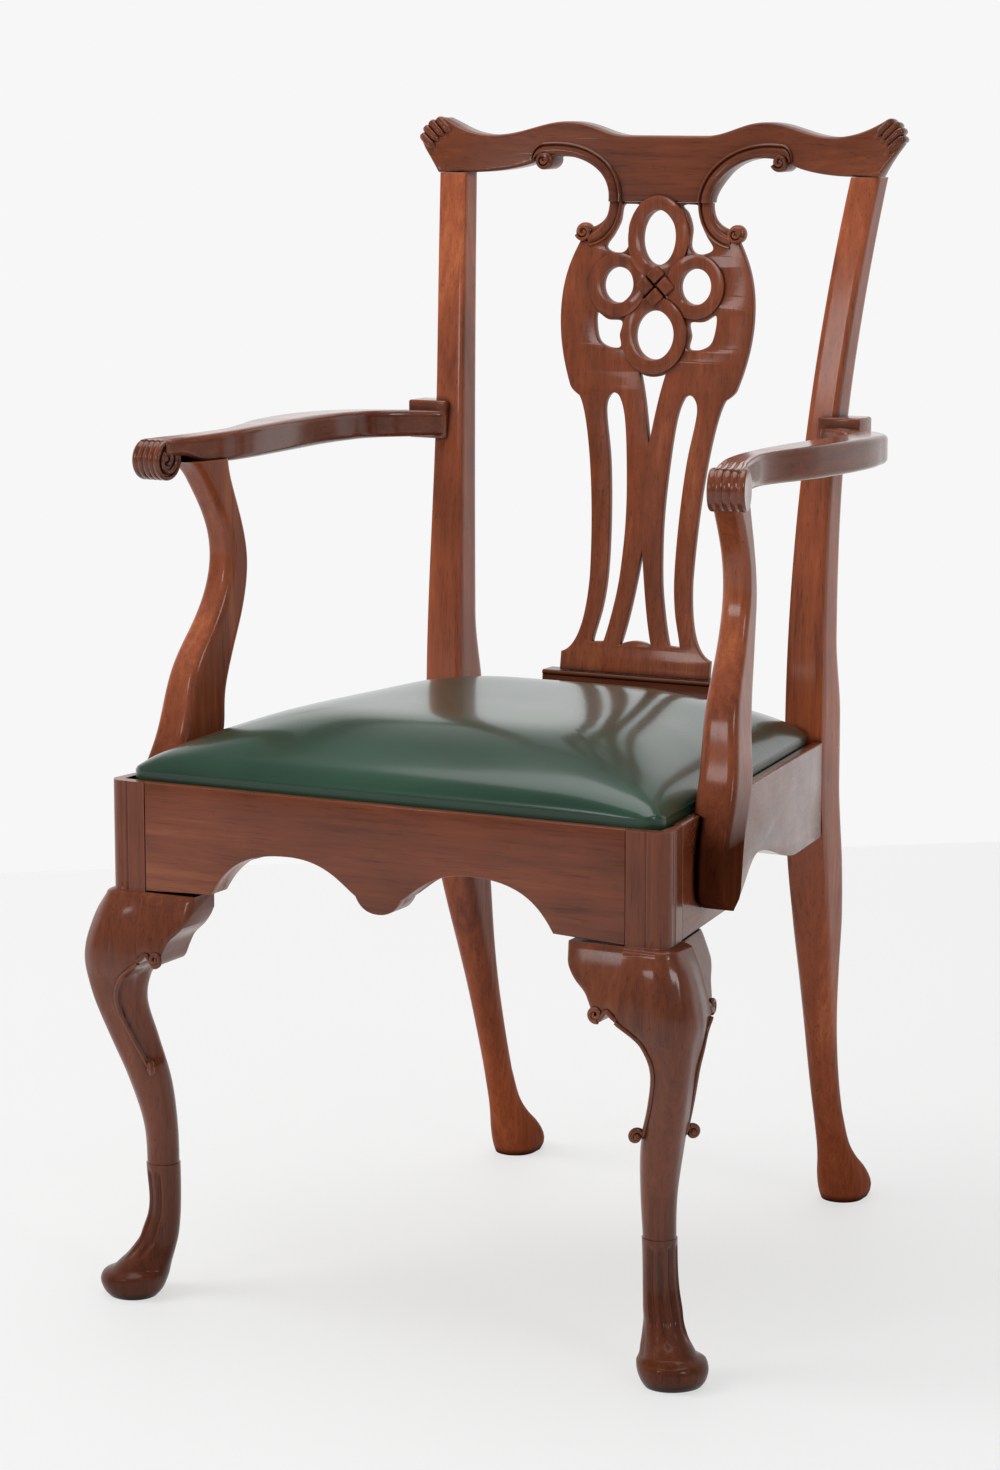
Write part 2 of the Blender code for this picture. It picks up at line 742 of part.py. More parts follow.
def make_rear_rail(tenons):
    """Rear rail with the ledge that carries the back of the drop-in seat."""
    bottom = RAIL_BOTTOM + REAR_RAIL_RISE
    step = SEAT_LENGTH + SHOE_SET_BACK
    section = [(step - REAR_LEDGE, bottom), (BACK_FACE - REAR_SET_IN, bottom), (BACK_FACE - REAR_SET_IN, RAIL_TOP),
               (step, RAIL_TOP), (step, LEDGE), (step - REAR_LEDGE, LEDGE)]
    half = POST_IN - GAP
    rail = add_part("rear_rail", prism(section, -half, half, "X"), MAHOGANY)
    other = add_cutter("tenon_rear_left", box(-POST_IN - TENON_LENGTH, -POST_IN + TENON_ROOT,
                                              SEAT_LENGTH + POST_DEPTH / 2 - TENON_THICK / 2,
                                              SEAT_LENGTH + POST_DEPTH / 2 + TENON_THICK / 2,
                                              TENON_BOTTOM, TENON_TOP))
    join(rail, tenons["rear"], other)


def post_front(z):
    """Depth of the post's front face at a height."""
    if z >= RAIL_TOP:
        return SEAT_LENGTH + BACK_RAKE * ((z - RAIL_TOP) / (POST_TOP - RAIL_TOP)) ** 2
    return SEAT_LENGTH + REAR_LEG_REACH * max(1 - z / RAIL_TOP - 0.10, 0.0) ** 1.35 * 1.10


def post_inner(z):
    """Inner face of the post above the seat."""
    return POST_IN + BACK_SPLAY * max((z - RAIL_TOP) / (POST_TOP - RAIL_TOP), 0.0) ** 2


def post_width(z):
    """Width of the post above the seat."""
    height = max((z - RAIL_TOP) / (POST_TOP - RAIL_TOP), 0.0)
    return POST_WIDTH + (POST_WIDTH_TOP - POST_WIDTH) * ease(0.0, 0.65, height)


def post_outer(z):
    """Outer face of the post above the seat."""
    return post_inner(z) + post_width(z)


def post_ring(z, grow=0.0):
    """Plan ring of the rear post and leg, grown by a clearance where it is used to cut."""
    height = max((z - RAIL_TOP) / (POST_TOP - RAIL_TOP), 0.0)
    front = post_front(z)
    edge = POST_EDGE
    above = ease(RAIL_TOP, RAIL_TOP + SHOULDER, z)
    outer_back = POST_BACK_ROUND
    inner_back = POST_EDGE + (POST_BACK_ROUND - POST_EDGE) * above
    if z >= RAIL_BOTTOM:
        inner = post_inner(z)
        width = post_width(z)
        depth = POST_DEPTH_MID + (POST_DEPTH_TOP - POST_DEPTH_MID) * height
        depth += (POST_DEPTH - POST_DEPTH_MID) * (1 - ease(RAIL_TOP + SHOULDER_RISE, RAIL_TOP + SHOULDER_RISE + SHOULDER, z))
    else:
        run = 1 - z / RAIL_BOTTOM
        middle = POST_IN + POST_WIDTH / 2 - REAR_ANKLE_IN * ease(0.0, 0.75, run)
        slim = ease(0.0, 0.72, run)
        width = POST_WIDTH + (REAR_ANKLE - POST_WIDTH) * slim
        depth = POST_DEPTH + (REAR_ANKLE + 0.002 - POST_DEPTH) * slim
        rim = REAR_PAD_RIM
        pad = smooth(((0.0, 0.72), (0.4 * rim, 0.93), (rim, 1.0), (2.0 * rim, 0.80), (3.0 * rim, 0.42),
                      (4.2 * rim, 0.14), (6.5 * rim, 0.0)), z)
        width += (REAR_PAD_WIDTH - REAR_ANKLE) * pad
        depth += (REAR_PAD_LENGTH - REAR_ANKLE) * pad
        inner = middle - width / 2
        edge = POST_EDGE + (min(width, depth) / 2 - POST_EDGE) * ease(0.05, 0.55, run)
        inner_back = edge
        outer_back = max(edge, POST_BACK_ROUND)
    ring = box_ring(inner - grow, inner + width + grow, front - grow, front + depth + grow,
                    (edge, outer_back, inner_back, edge), POST_RING)
    return [(x, y, z) for x, y in ring]


def make_posts(mortises, dowel_hole):
    """Rear posts, each one stick from the pad foot to the crest."""
    rim = REAR_PAD_RIM
    heights = [0.0, 0.4 * rim, rim, 2.0 * rim, 3.0 * rim, 4.2 * rim, 6.5 * rim]
    low = heights[-1]
    heights += [low + (RAIL_BOTTOM - low) * i / 7 for i in range(1, 8)]
    shoulder = RAIL_TOP + SHOULDER_RISE
    heights += [RAIL_TOP, shoulder, shoulder + 0.3 * SHOULDER, shoulder + 0.6 * SHOULDER, shoulder + SHOULDER]
    low = heights[-1]
    heights += [low + (POST_TOP - low) * i / 9 for i in range(1, 10)]
    heights[-1] = POST_TOP - GAP
    post = add_part("rear_post_right", loft([post_ring(z) for z in heights]), MAHOGANY)
    join(post, add_cutter("crest_tenon", crest_tenon_box(0.0)))
    cut(post, mortises["side_rear"], mortises["rear"], dowel_hole)
    mirror_part(post, "rear_post_left")


def crest_tenon_box(grow):
    """Square tenon on top of the right post, grown by a clearance for its mortise."""
    middle_x = post_inner(POST_TOP) + POST_WIDTH_TOP / 2
    middle_y = post_front(POST_TOP) + POST_DEPTH_TOP / 2
    half = TENON_THICK / 2 + grow
    return box(middle_x - half, middle_x + half, middle_y - half, middle_y + half, POST_TOP - CREST_TENON / 2,
               POST_TOP + CREST_TENON + grow)


def crest_half():
    """Right half of the crest's outline, from the foot of its centre up to the ear and back."""
    post_in = post_inner(POST_TOP)
    post_out = post_in + POST_WIDTH_TOP
    start = (CREST_NECK, CREST_FOOT)
    hook = (UPPER_EYE[0] - EYE_RADIUS, UPPER_EYE[1] + 0.35 * EYE_RADIUS)
    points = [start]
    points += bezier(start, (CREST_NECK, CREST_FOOT + CREST_DROP), (0.65 * hook[0] + 0.02 * UPPER_EYE[0], hook[1] + 0.004),
                     hook, 8)
    points += arc(UPPER_EYE, EYE_RADIUS, 165.0, 355.0, 8)
    wing = post_in - UPPER_EYE[0]
    rise = UPPER_EYE[1] - POST_TOP
    points += [(UPPER_EYE[0] + 0.28 * wing, POST_TOP + 0.48 * rise), (UPPER_EYE[0] + 0.65 * wing, POST_TOP + 0.17 * rise)]
    points += [(post_in, POST_TOP), (post_out, POST_TOP)]
    points += [(post_out + 0.5 * EAR_OUT, POST_TOP + 0.5 * EAR_TIP_RISE), (post_out + EAR_OUT, POST_TOP + EAR_TIP_RISE)]
    crown = CREST_RISE - EAR_TIP_RISE
    points += [(post_out + 0.85 * EAR_OUT, EAR_TOP - 0.48 * crown), (post_out + 0.45 * EAR_OUT, EAR_TOP - 0.10 * crown)]
    peak = (post_out + 0.05 * EAR_OUT, EAR_TOP)
    dip = (post_in - 0.75 * POST_WIDTH_TOP, EAR_TOP - CREST_DIP)
    hump = (HUMP_X, EAR_TOP - HUMP_DROP)
    span = dip[0] - hump[0]
    points.append(peak)
    points += bezier(peak, (post_out - 0.45 * POST_WIDTH_TOP, EAR_TOP - 0.5 * CREST_DIP), (post_in, dip[1]), dip)
    points += bezier(dip, (dip[0] - 0.40 * span, dip[1]), (hump[0] + 0.34 * span, hump[1]), hump)
    points += bezier(hump, (0.74 * hump[0], hump[1]), (0.62 * hump[0], dip[1]), (0.38 * hump[0], dip[1]))
    return points


def crest_y(x, z):
    """Front face of the crest at a place on it."""
    reach = post_inner(POST_TOP) + POST_WIDTH_TOP / 2
    bow = CREST_BOW * max(1 - (x / reach) ** 2, -0.3)
    roll = EAR_ROLL * ease(reach - 0.020, reach + 0.012, abs(x)) * ease(POST_TOP, EAR_TOP, z)
    return post_front(POST_TOP) + CREST_LEAN * (z - POST_TOP) + bow + roll


def splat_y(z):
    """Front face of the splat at a height."""
    low = SEAT_LENGTH + SPLAT_FOOT_BACK
    high = crest_y(0.0, CREST_FOOT) + SPLAT_SET_BACK
    t = (z - SHOE_TOP) / (CREST_FOOT - SHOE_TOP)
    return low + (high - low) * t + SPLAT_BOW * 4 * t * (1 - t)


def ribbon(path, widths, front, proud, depth, closed=False):
    """Raised strap along a path on the XZ plane; front gives the face it lies on, proud its rise."""
    rings = []
    last = len(path) - 1
    for i, (x, z) in enumerate(path):
        before, after = max(i - 1, 0), min(i + 1, last)
        if closed:
            before, after = i - 1, (i + 1) % len(path)
        (x0, z0), (x1, z1) = path[before], path[after]
        along = Vector((x1 - x0, z1 - z0)).normalized()
        side = Vector((-along.y, along.x))
        half = widths[i] / 2
        face = front(x, z)
        top = face - proud[i]
        section = ((-half, face + depth), (half, face + depth), (half, top + STRAP_EDGE), (half - STRAP_EDGE, top),
                   (STRAP_EDGE - half, top), (-half, top + STRAP_EDGE))
        rings.append([(x + side.x * across, y, z + side.y * across) for across, y in section])
    return loft(rings, closed)


def eye_boss(centre, face):
    """Round boss in the eye of a scroll."""
    x, z = centre
    return rod((x, face - EYE_PROUD, z), (x, face + SPLAT_THICK / 2, z), 0.62 * EYE_RADIUS, 14, 0.80 * EYE_RADIUS)


def scroll_paths():
    """Middle lines of the right-hand scroll on the crest and on the splat."""
    inset = SCROLL_WIDTH / 2 + 0.0008
    foot = (CREST_NECK - inset, CREST_FOOT)
    upper = (UPPER_EYE[0] - 0.2 * EYE_RADIUS, UPPER_EYE[1] + EYE_RADIUS + 0.002)
    lower = (LOWER_EYE[0] - 0.6 * EYE_RADIUS, LOWER_EYE[1] - EYE_RADIUS + 0.001)
    below, above = (foot[0], CREST_FOOT - SCROLL_WIDTH / 3), (foot[0], CREST_FOOT + SCROLL_WIDTH / 3)
    on_crest = [below, foot] + bezier(foot, (foot[0], CREST_FOOT + 1.25 * CREST_DROP), (0.68 * upper[0], upper[1] + 0.004), upper, 9)
    on_splat = [above, foot] + bezier(foot, (foot[0], CREST_FOOT - 0.6 * LOWER_EYE_DROP), (0.75 * lower[0], lower[1] + 0.003), lower)
    return on_crest, on_splat


def mirrored_shape(shape):
    """Left-hand copy of a right-hand bmesh."""
    twin = shape.copy()
    bmesh.ops.scale(twin, verts=twin.verts[:], vec=(-1.0, 1.0, 1.0))
    bmesh.ops.reverse_faces(twin, faces=twin.faces[:])
    return twin


def join_pair(part, name, shape):
    """Add a right-hand shape and its left-hand copy to a part."""
    left = add_cutter(name + "_left", mirrored_shape(shape))
    join(part, add_cutter(name + "_right", shape), left)


def bend_splat(shape):
    """Lean and bow a flat board like the splat."""
    for vert in shape.verts:
        vert.co.y += splat_y(vert.co.z)


def make_crest():
    """Serpentine crest with thinned ears and the upper part of the scrolls."""
    half = crest_half()
    left = [(-x, z) for x, z in reversed(half)]
    shape = plate([half + left], CREST_THICK)
    reach = post_inner(POST_TOP) + POST_WIDTH_TOP / 2
    slice_across(shape, (1.0, 0.0, 0.0), [reach * i / 5 for i in range(-5, 6)])
    slice_across(shape, (0.0, 0.0, 1.0), [POST_TOP + CREST_RISE * share for share in (0.0, 0.25, 0.55)])
    slice_across(shape, (0.0, 0.0, 1.0), [CREST_FOOT + CREST_DROP / 2])
    slim = 1 - CREST_NECK_THICK / CREST_THICK
    for vert in shape.verts:
        vert.co.y *= 1 - slim * (1 - ease(CREST_FOOT, POST_TOP, vert.co.z))
        vert.co.y *= 1 - EAR_THIN * ease(reach, reach + POST_WIDTH_TOP / 2 + EAR_OUT, abs(vert.co.x))
        vert.co.y += crest_y(vert.co.x, vert.co.z)
    crest = add_part("crest_rail", shape, MAHOGANY)
    soften(crest, CREST_EDGE)
    join_pair(crest, "crest_eye", eye_boss(UPPER_EYE, crest_y(*UPPER_EYE)))
    path, _ = scroll_paths()
    count = len(path)
    strap = ribbon(path, [SCROLL_WIDTH] * count, crest_y, [SCROLL_PROUD] * count, CREST_NECK_THICK / 3)
    join_pair(crest, "crest_scroll", trim(strap, CREST_FOOT + GAP, True))
    top_loop = strap_loops()[1]
    arch = trim(strap_ring(top_loop, crest_y, STRAP_PROUD), CREST_FOOT + GAP, True)
    join(crest, add_cutter("crest_loop", arch))
    slot = box(-SPLAT_TENON_HALF - GAP, SPLAT_TENON_HALF + GAP, -GAP, SPLAT_THICK + GAP, CREST_FOOT - SPLAT_TENON / 2,
               CREST_FOOT + SPLAT_TENON + GAP)
    bend_splat(slot)
    mortise = crest_tenon_box(GAP)
    left = add_cutter("crest_mortise_left", mirrored_shape(mortise))
    cut(crest, add_cutter("splat_head_mortise", slot), add_cutter("crest_mortise_right", mortise), left)


def splat_half():
    """Right half of the splat's outline, from its foot up."""
    foot = (SPLAT_FOOT_HALF, SHOE_TOP + 3 * GAP)
    ankle = (SPLAT_FOOT_HALF, SHOE_TOP + SPLAT_FOOT_RISE)
    neck = (NECK_HALF, SHOE_TOP + NECK_RISE)
    waist = (WAIST_HALF, CREST_FOOT - WAIST_DROP)
    corner = (WAIST_HALF + WAIST_STEP, waist[1] + 0.9 * WAIST_STEP)
    widest = (BOUT_HALF, CREST_FOOT - BOUT_DROP)
    shoulder = (LOWER_EYE[0] + 0.4 * EYE_RADIUS, LOWER_EYE[1] - 0.9 * EYE_RADIUS)
    low, high = neck[1] - ankle[1], waist[1] - neck[1]
    points = [foot, ankle]
    points += bezier(ankle, (0.33 * NECK_HALF + 0.67 * SPLAT_FOOT_HALF - 0.008, ankle[1] + 0.06 * low),
                     (NECK_HALF + 0.001, neck[1] - 0.56 * low), neck)
    points += bezier(neck, (NECK_HALF + 0.001, neck[1] + 0.49 * high), (WAIST_HALF - 0.0095, waist[1] - 0.08 * high), waist)
    points.append(corner)
    rise, fall = widest[1] - corner[1], shoulder[1] - widest[1]
    points += bezier(corner, (0.5 * (corner[0] + BOUT_HALF), corner[1] + 0.26 * rise), (BOUT_HALF, widest[1] - 0.4 * rise), widest)
    points += bezier(widest, (BOUT_HALF, widest[1] + 0.48 * fall), (0.5 * (shoulder[0] + BOUT_HALF), shoulder[1] - 0.25 * fall), shoulder)
    points += arc(LOWER_EYE, EYE_RADIUS, -55.0, 150.0, 8)[1:]
    points += bezier(points[-1], (LOWER_EYE[0] - 2 * EYE_RADIUS, LOWER_EYE[1] + 0.007),
                     (CREST_NECK, CREST_FOOT - 0.55 * LOWER_EYE_DROP), (CREST_NECK, CREST_FOOT - GAP))
    points += [(SPLAT_TENON_HALF, CREST_FOOT - GAP), (SPLAT_TENON_HALF, CREST_FOOT + SPLAT_TENON)]
    return points


def slot_outline(side):
    """Long piercing beside the crossed straps."""
    low, high = SHOE_TOP + SLOT_LOW, CREST_FOOT - SLOT_DROP
    shares = ((0.967, 0.0), (0.804, 0.152), (0.739, 0.296), (0.761, 0.514), (0.848, 0.732), (0.989, 0.898),
              (1.0, 0.959), (0.913, 0.993), (0.804, 1.0), (0.685, 0.980), (0.565, 0.906), (0.478, 0.762),
              (0.413, 0.558), (0.424, 0.383), (0.511, 0.200), (0.750, 0.0))
    return [(side * SLOT_OUT * out, low + (high - low) * up) for out, up in shares]


def corner_holes(side):
    """Small piercings above and below a side loop."""
    upper = ((0.398, 0.0), (0.500, 0.163), (0.583, 0.465), (0.574, 0.837), (0.667, 0.988), (0.852, 1.0), (1.0, 0.884),
             (0.870, 0.628), (0.759, 0.349), (0.694, 0.0))
    lower = ((0.562, 0.767), (0.587, 0.367), (0.570, 0.0), (0.793, 0.0), (0.959, 0.267), (1.0, 1.0), (0.793, 0.817))
    top, low = CREST_FOOT - UPPER_HOLE_DROP, KNOT_Z - LOWER_HOLE_DROP
    above = [(side * UPPER_HOLE_OUT * out, top - UPPER_HOLE_HEIGHT * down) for out, down in upper]
    below = [(side * LOWER_HOLE_OUT * out, low + LOWER_HOLE_HEIGHT * up) for out, up in lower]
    return [above, below]


def strap_loops():
    """Loops of the strapwork: centre, half width, half height and, in degrees, the places round the loop
    where it lies over and under its neighbours."""
    return ((SIDE_LOOP_OUT, KNOT_Z, SIDE_LOOP_HALF, SIDE_LOOP_RISE, 130.0, 230.0),
            (0.0, KNOT_Z + TOP_LOOP_UP, TOP_LOOP_HALF, TOP_LOOP_RISE, 230.0, 310.0),
            (-SIDE_LOOP_OUT, KNOT_Z, SIDE_LOOP_HALF, SIDE_LOOP_RISE, 310.0, 50.0),
            (0.0, KNOT_Z - FOOT_LOOP_DOWN, FOOT_LOOP_HALF, FOOT_LOOP_RISE, 50.0, 130.0))


def oval(loop, grow, count):
    """Points round a loop's middle line, moved outwards by an amount."""
    x, z, half, rise = loop[:4]
    turns = [2 * math.pi * i / count for i in range(count)]
    return [(x + (half + grow) * math.cos(turn), z + (rise + grow) * math.sin(turn)) for turn in turns]


def strap_ring(loop, front, proud):
    """Raised strap round a loop, over one neighbour and under the other."""
    count = 36
    path = oval(loop, 0.0, count)
    rises = []
    for i in range(count):
        turn = 360.0 * i / count
        over, under = ((turn - place + 180.0) % 360.0 - 180.0 for place in loop[4:])
        rises.append(proud + WEAVE * (math.exp(-(over / 25.0) ** 2) - math.exp(-(under / 25.0) ** 2)))
    return ribbon(path, [STRAP] * count, front, rises, SPLAT_THICK / 2, True)


def lozenge(turn):
    """One raised square of the knot, by its quarter turn from the right."""
    angle = math.radians(90.0 * turn)
    x, z = LOZENGE_OUT * math.cos(angle), KNOT_Z + LOZENGE_OUT * math.sin(angle)
    lean = math.radians(45.0 if turn % 2 == 0 else -45.0)
    shape = box(-LOZENGE_LONG / 2, LOZENGE_LONG / 2, -LOZENGE_PROUD, SPLAT_THICK / 2, -LOZENGE_WIDE / 2, LOZENGE_WIDE / 2)
    tops = [edge for edge in shape.edges if all(vert.co.y < 0 for vert in edge.verts)]
    bmesh.ops.bevel(shape, geom=tops, offset=STRAP_EDGE, segments=1, profile=0.5, affect="EDGES", material=-1)
    place = Matrix.Translation((x, splat_y(z), z)) @ Matrix.Rotation(lean, 4, "Y")
    bmesh.ops.transform(shape, matrix=place, verts=shape.verts[:])
    return shape


def trim(shape, level, keep_above):
    """Keep the part of a solid above or below a level."""
    geometry = shape.verts[:] + shape.edges[:] + shape.faces[:]
    bmesh.ops.bisect_plane(shape, geom=geometry, plane_co=(0.0, 0.0, level), plane_no=(0.0, 0.0, 1.0),
                           clear_inner=keep_above, clear_outer=not keep_above)
    bmesh.ops.holes_fill(shape, edges=[edge for edge in shape.edges if edge.is_boundary])
    return shape


def make_splat():
    """Pierced splat with its interlaced loops over crossed straps."""
    half = splat_half()
    left = [(-x, z) for x, z in reversed(half)]
    wide = 0.8 * SPLAT_FOOT_HALF
    head, foot = SHOE_TOP + GAP, SHOE_TOP - SPLAT_TENON
    outlines = [half + left + [(-wide, head), (-wide, foot), (wide, foot), (wide, head)]]
    outlines += [slot_outline(1.0), slot_outline(-1.0)]
    outlines += [oval(loop, -STRAP / 2 - STRAP_LEDGE, 16) for loop in strap_loops()]
    low, high = CREST_FOOT - DART_DROP - DART_LENGTH, CREST_FOOT - DART_DROP
    outlines.append([(-DART_HALF, high), (-0.38 * DART_HALF, low + 0.49 * (high - low)), (0.0, low),
                     (0.38 * DART_HALF, low + 0.49 * (high - low)), (DART_HALF, high), (0.0, high - DART_ARCH)])
    low, high = SHOE_TOP + SLOT_LOW + 0.002, SHOE_TOP + VEE_RISE
    outlines.append([(-VEE_HALF, low), (-0.32 * VEE_HALF, 0.4 * low + 0.6 * high), (0.0, high),
                     (0.32 * VEE_HALF, 0.4 * low + 0.6 * high), (VEE_HALF, low)])
    for side in (1.0, -1.0):
        outlines += corner_holes(side)
    shape = plate(outlines, SPLAT_THICK)
    slice_across(shape, (0.0, 0.0, 1.0), [SHOE_TOP + (CREST_FOOT - SHOE_TOP) * i / 8 for i in range(1, 8)])
    bend_splat(shape)
    splat = add_part("splat", shape, MAHOGANY)
    for number, loop in enumerate(strap_loops()):
        ring = strap_ring(loop, lambda x, z: splat_y(z), STRAP_PROUD)
        if max(vert.co.z for vert in ring.verts) > CREST_FOOT - GAP:
            trim(ring, CREST_FOOT - 2 * GAP, False)
        join(splat, add_cutter("strap_ring_%d" % number, ring))
    for turn in range(4):
        join(splat, add_cutter("lozenge_%d" % turn, lozenge(turn)))
    _, path = scroll_paths()
    count = len(path)
    rises = [SCROLL_PROUD_FOOT + (SCROLL_PROUD - SCROLL_PROUD_FOOT) * i / (count - 1) for i in range(count)]
    strap = ribbon(path, [SCROLL_WIDTH] * count, lambda x, z: splat_y(z), rises, SPLAT_THICK / 2)
    join_pair(splat, "splat_scroll", trim(strap, CREST_FOOT - 2 * GAP, False))
    join_pair(splat, "splat_eye", eye_boss(LOWER_EYE, splat_y(LOWER_EYE[1])))


def make_shoe():
    """Moulded shoe that holds the splat's foot on the rear rail."""
    front = SEAT_LENGTH + SHOE_SET_BACK + GAP
    face = SEAT_LENGTH + SPLAT_FOOT_BACK - SHOE_LIP
    base = RAIL_TOP + GAP
    bead = (front, base + SHOE_BASE)
    section = [(BACK_FACE - REAR_SET_IN, base), (BACK_FACE - REAR_SET_IN, SHOE_TOP), (face, SHOE_TOP), (face, SHOE_TOP - SHOE_FILLET)]
    section += bezier(section[-1], (face, bead[1] + 0.008), (front + 0.010, bead[1] + 0.004), bead)
    section.append((front, base))
    shoe = add_part("shoe", prism(section, -SHOE_HALF, SHOE_HALF, "X"), MAHOGANY)
    half = 0.8 * SPLAT_FOOT_HALF + GAP
    slot = box(-half, half, -GAP, SPLAT_THICK + GAP, SHOE_TOP - SPLAT_TENON - GAP, SHOE_TOP + 0.008)
    bend_splat(slot)
    cut(shoe, add_cutter("splat_foot_mortise", slot))


def arm_middle(y):
    """Centre line of the right arm in plan, its width and its place above the side rail."""
    back = block_front()
    span = back - ARM_SCROLL_Y
    block = post_outer(block_middle()) + (ARM_BLOCK_OUT - ARM_BLOCK_LAP) / 2 - side_x(back)
    sweeps = ((0.0, 0.376), (0.14, 0.198), (0.26, 0.208), (0.46, 0.604), (0.65, 0.911), (0.78, 1.0), (0.89, 0.891))
    offsets = [(ARM_SCROLL_Y + share * span, ARM_SWEEP * sweep) for share, sweep in sweeps] + [(back, block)]
    swells = ((0.14, 0.679), (0.26, 0.615), (0.46, 0.949), (0.65, 1.0), (0.89, 0.949))
    widths = [(ARM_SCROLL_Y, ARM_SCROLL_WIDTH - 3 * GAP)]
    widths += [(ARM_SCROLL_Y + share * span, ARM_WIDTH * swell) for share, swell in swells]
    widths.append((back, ARM_BLOCK_OUT + ARM_BLOCK_LAP - POST_EDGE))
    return side_x(y) + smooth(offsets, y), smooth(widths, y)


def block_middle():
    """Height of the middle of the arm's square end."""
    return ARM_TOP + ARM_BLOCK_RISE - ARM_BLOCK_HEIGHT / 2


def block_front():
    """Depth of the front of the arm's square end, clear of the leaning post."""
    return post_front(block_middle() - ARM_BLOCK_HEIGHT / 2) - ARM_BLOCK_PROUD


def arm_block():
    """Square end of the arm that laps round the outer front corner of the post."""
    outer = post_outer(block_middle())
    front = block_front()
    low = block_middle() - ARM_BLOCK_HEIGHT / 2
    return box(outer - ARM_BLOCK_LAP, outer + ARM_BLOCK_OUT, front, front + ARM_BLOCK_DEPTH,
               low, low + ARM_BLOCK_HEIGHT)


def scroll_place():
    """Centre of the arm's front scroll and the direction of its axis."""
    x, _ = arm_middle(ARM_SCROLL_Y)
    turn = math.radians(ARM_SCROLL_TURN)
    return Vector((x, ARM_SCROLL_Y, ARM_TOP - ARM_SCROLL_RADIUS)), Vector((math.cos(turn), math.sin(turn), 0.0))


def arm_scroll():
    """Reeded roll at the front of the arm."""
    reed = ARM_SCROLL_WIDTH / ARM_REEDS
    half = ARM_SCROLL_WIDTH / 2
    profile = [(0.0, half)]
    steps = 3
    for number in range(ARM_REEDS):
        for i in range(steps + 1):
            if number and not i:
                continue
            radius = ARM_SCROLL_RADIUS - REED_RISE + REED_RISE * math.sin(math.pi * i / steps)
            profile.append((radius, half - reed * (number + i / steps)))
    profile.append((0.0, -half))
    shape = turned(profile)
    centre, axis = scroll_place()
    place = Matrix.Translation(centre) @ axis.to_track_quat("Z", "Y").to_matrix().to_4x4()
    bmesh.ops.transform(shape, matrix=place, verts=shape.verts[:])
    return shape


def make_arms(support_pin, dowel_hole):
    """Serpentine arms with a reeded scroll in front and a square lap at the post."""
    back = block_front() + ARM_BLOCK_PROUD / 2
    steps = 18
    rings = []
    for i in range(steps + 1):
        y = ARM_SCROLL_Y + (back - ARM_SCROLL_Y) * i / steps
        middle, width = arm_middle(y)
        swell = ARM_SWELL * math.sin(math.pi * i / steps)
        ring = box_ring(middle - width / 2, middle + width / 2, ARM_BOTTOM, ARM_TOP + swell, [ARM_EDGE] * 4, ARM_RING)
        rings.append([(x, y, z) for x, z in ring])
    arm = add_part("arm_right", loft(rings), MAHOGANY)
    join(arm, add_cutter("arm_block", arm_block()), add_cutter("arm_scroll", arm_scroll()))
    levels = [block_middle() + ARM_BLOCK_HEIGHT * share for share in (-0.8, -0.4, 0.0, 0.4, 0.8)]
    housing = loft([post_ring(z, GAP) for z in levels])
    cut(arm, add_cutter("post_housing", housing), support_pin, dowel_hole)
    mirror_part(arm, "arm_left")


def support_edges():
    """Front and back edges of the arm support as (height, depth) points from the foot up."""
    rise = ARM_BOTTOM - GAP - RAIL_TOP
    foot = ((-1.0, 0.264, 0.308), (-0.90, 0.080, 0.500), (-0.70, 0.0, 0.565), (-0.26, 0.044, 0.659))
    stem = ((0.08, 0.308, 0.901), (0.20, 0.396, 0.901), (0.33, 0.505, 1.011), (0.50, 0.835, 1.198),
            (0.66, 1.0, 1.275), (0.80, 0.934, 1.176), (0.92, 0.725, 1.022), (1.0, 0.571, 0.967))
    lines = [(RAIL_TOP + SUPPORT_DROP * share, near, far) for share, near, far in foot]
    lines += [(RAIL_TOP + rise * share, near, far) for share, near, far in stem]
    front = [(z, SUPPORT_TOE + SUPPORT_SWING * near) for z, near, _ in lines]
    back = [(z, SUPPORT_TOE + SUPPORT_SWING * far) for z, _, far in lines]
    return front, back


def make_supports(rail_space, pin, screw_holes):
    """Scrolled arm supports, lapped over the outside of the side rails."""
    front, back = support_edges()
    low, high = front[0][0], front[-1][0]
    shares = (0.0, 0.012, 0.035, 0.08, 0.14, 0.20, 0.26, 0.32, 0.38, 0.44, 0.50, 0.56, 0.62, 0.68, 0.74, 0.80,
              0.86, 0.92, 0.96, 1.0)
    rings = []
    for share in shares:
        z = low + (high - low) * share
        taper = ease(RAIL_TOP, RAIL_TOP + 0.6 * (ARM_BOTTOM - RAIL_TOP), z)
        outer = SUPPORT_OUT + (SUPPORT_OUT_TOP - SUPPORT_OUT) * taper
        ring = box_ring(-SUPPORT_IN, outer, smooth(front, z), smooth(back, z), [SUPPORT_EDGE] * 4, ARM_RING)
        rings.append([(side_x(y) + t, y, z) for t, y in ring])
    support = add_part("arm_support_right", loft(rings), MAHOGANY)
    cut(support, rail_space)
    join(support, pin)
    cut(support, *screw_holes)
    mirror_part(support, "arm_support_left")


def support_pin(grow, name):
    """Round pin on top of the right support."""
    front, back = support_edges()
    y = (front[-1][1] + back[-1][1]) / 2 + 0.004
    x = side_x(y) + (SUPPORT_OUT_TOP - SUPPORT_IN) / 2
    top = ARM_BOTTOM + SUPPORT_PIN_LENGTH + grow
    return add_cutter(name, rod((x, y, ARM_BOTTOM - 0.008), (x, y, top), SUPPORT_PIN_RADIUS + grow))


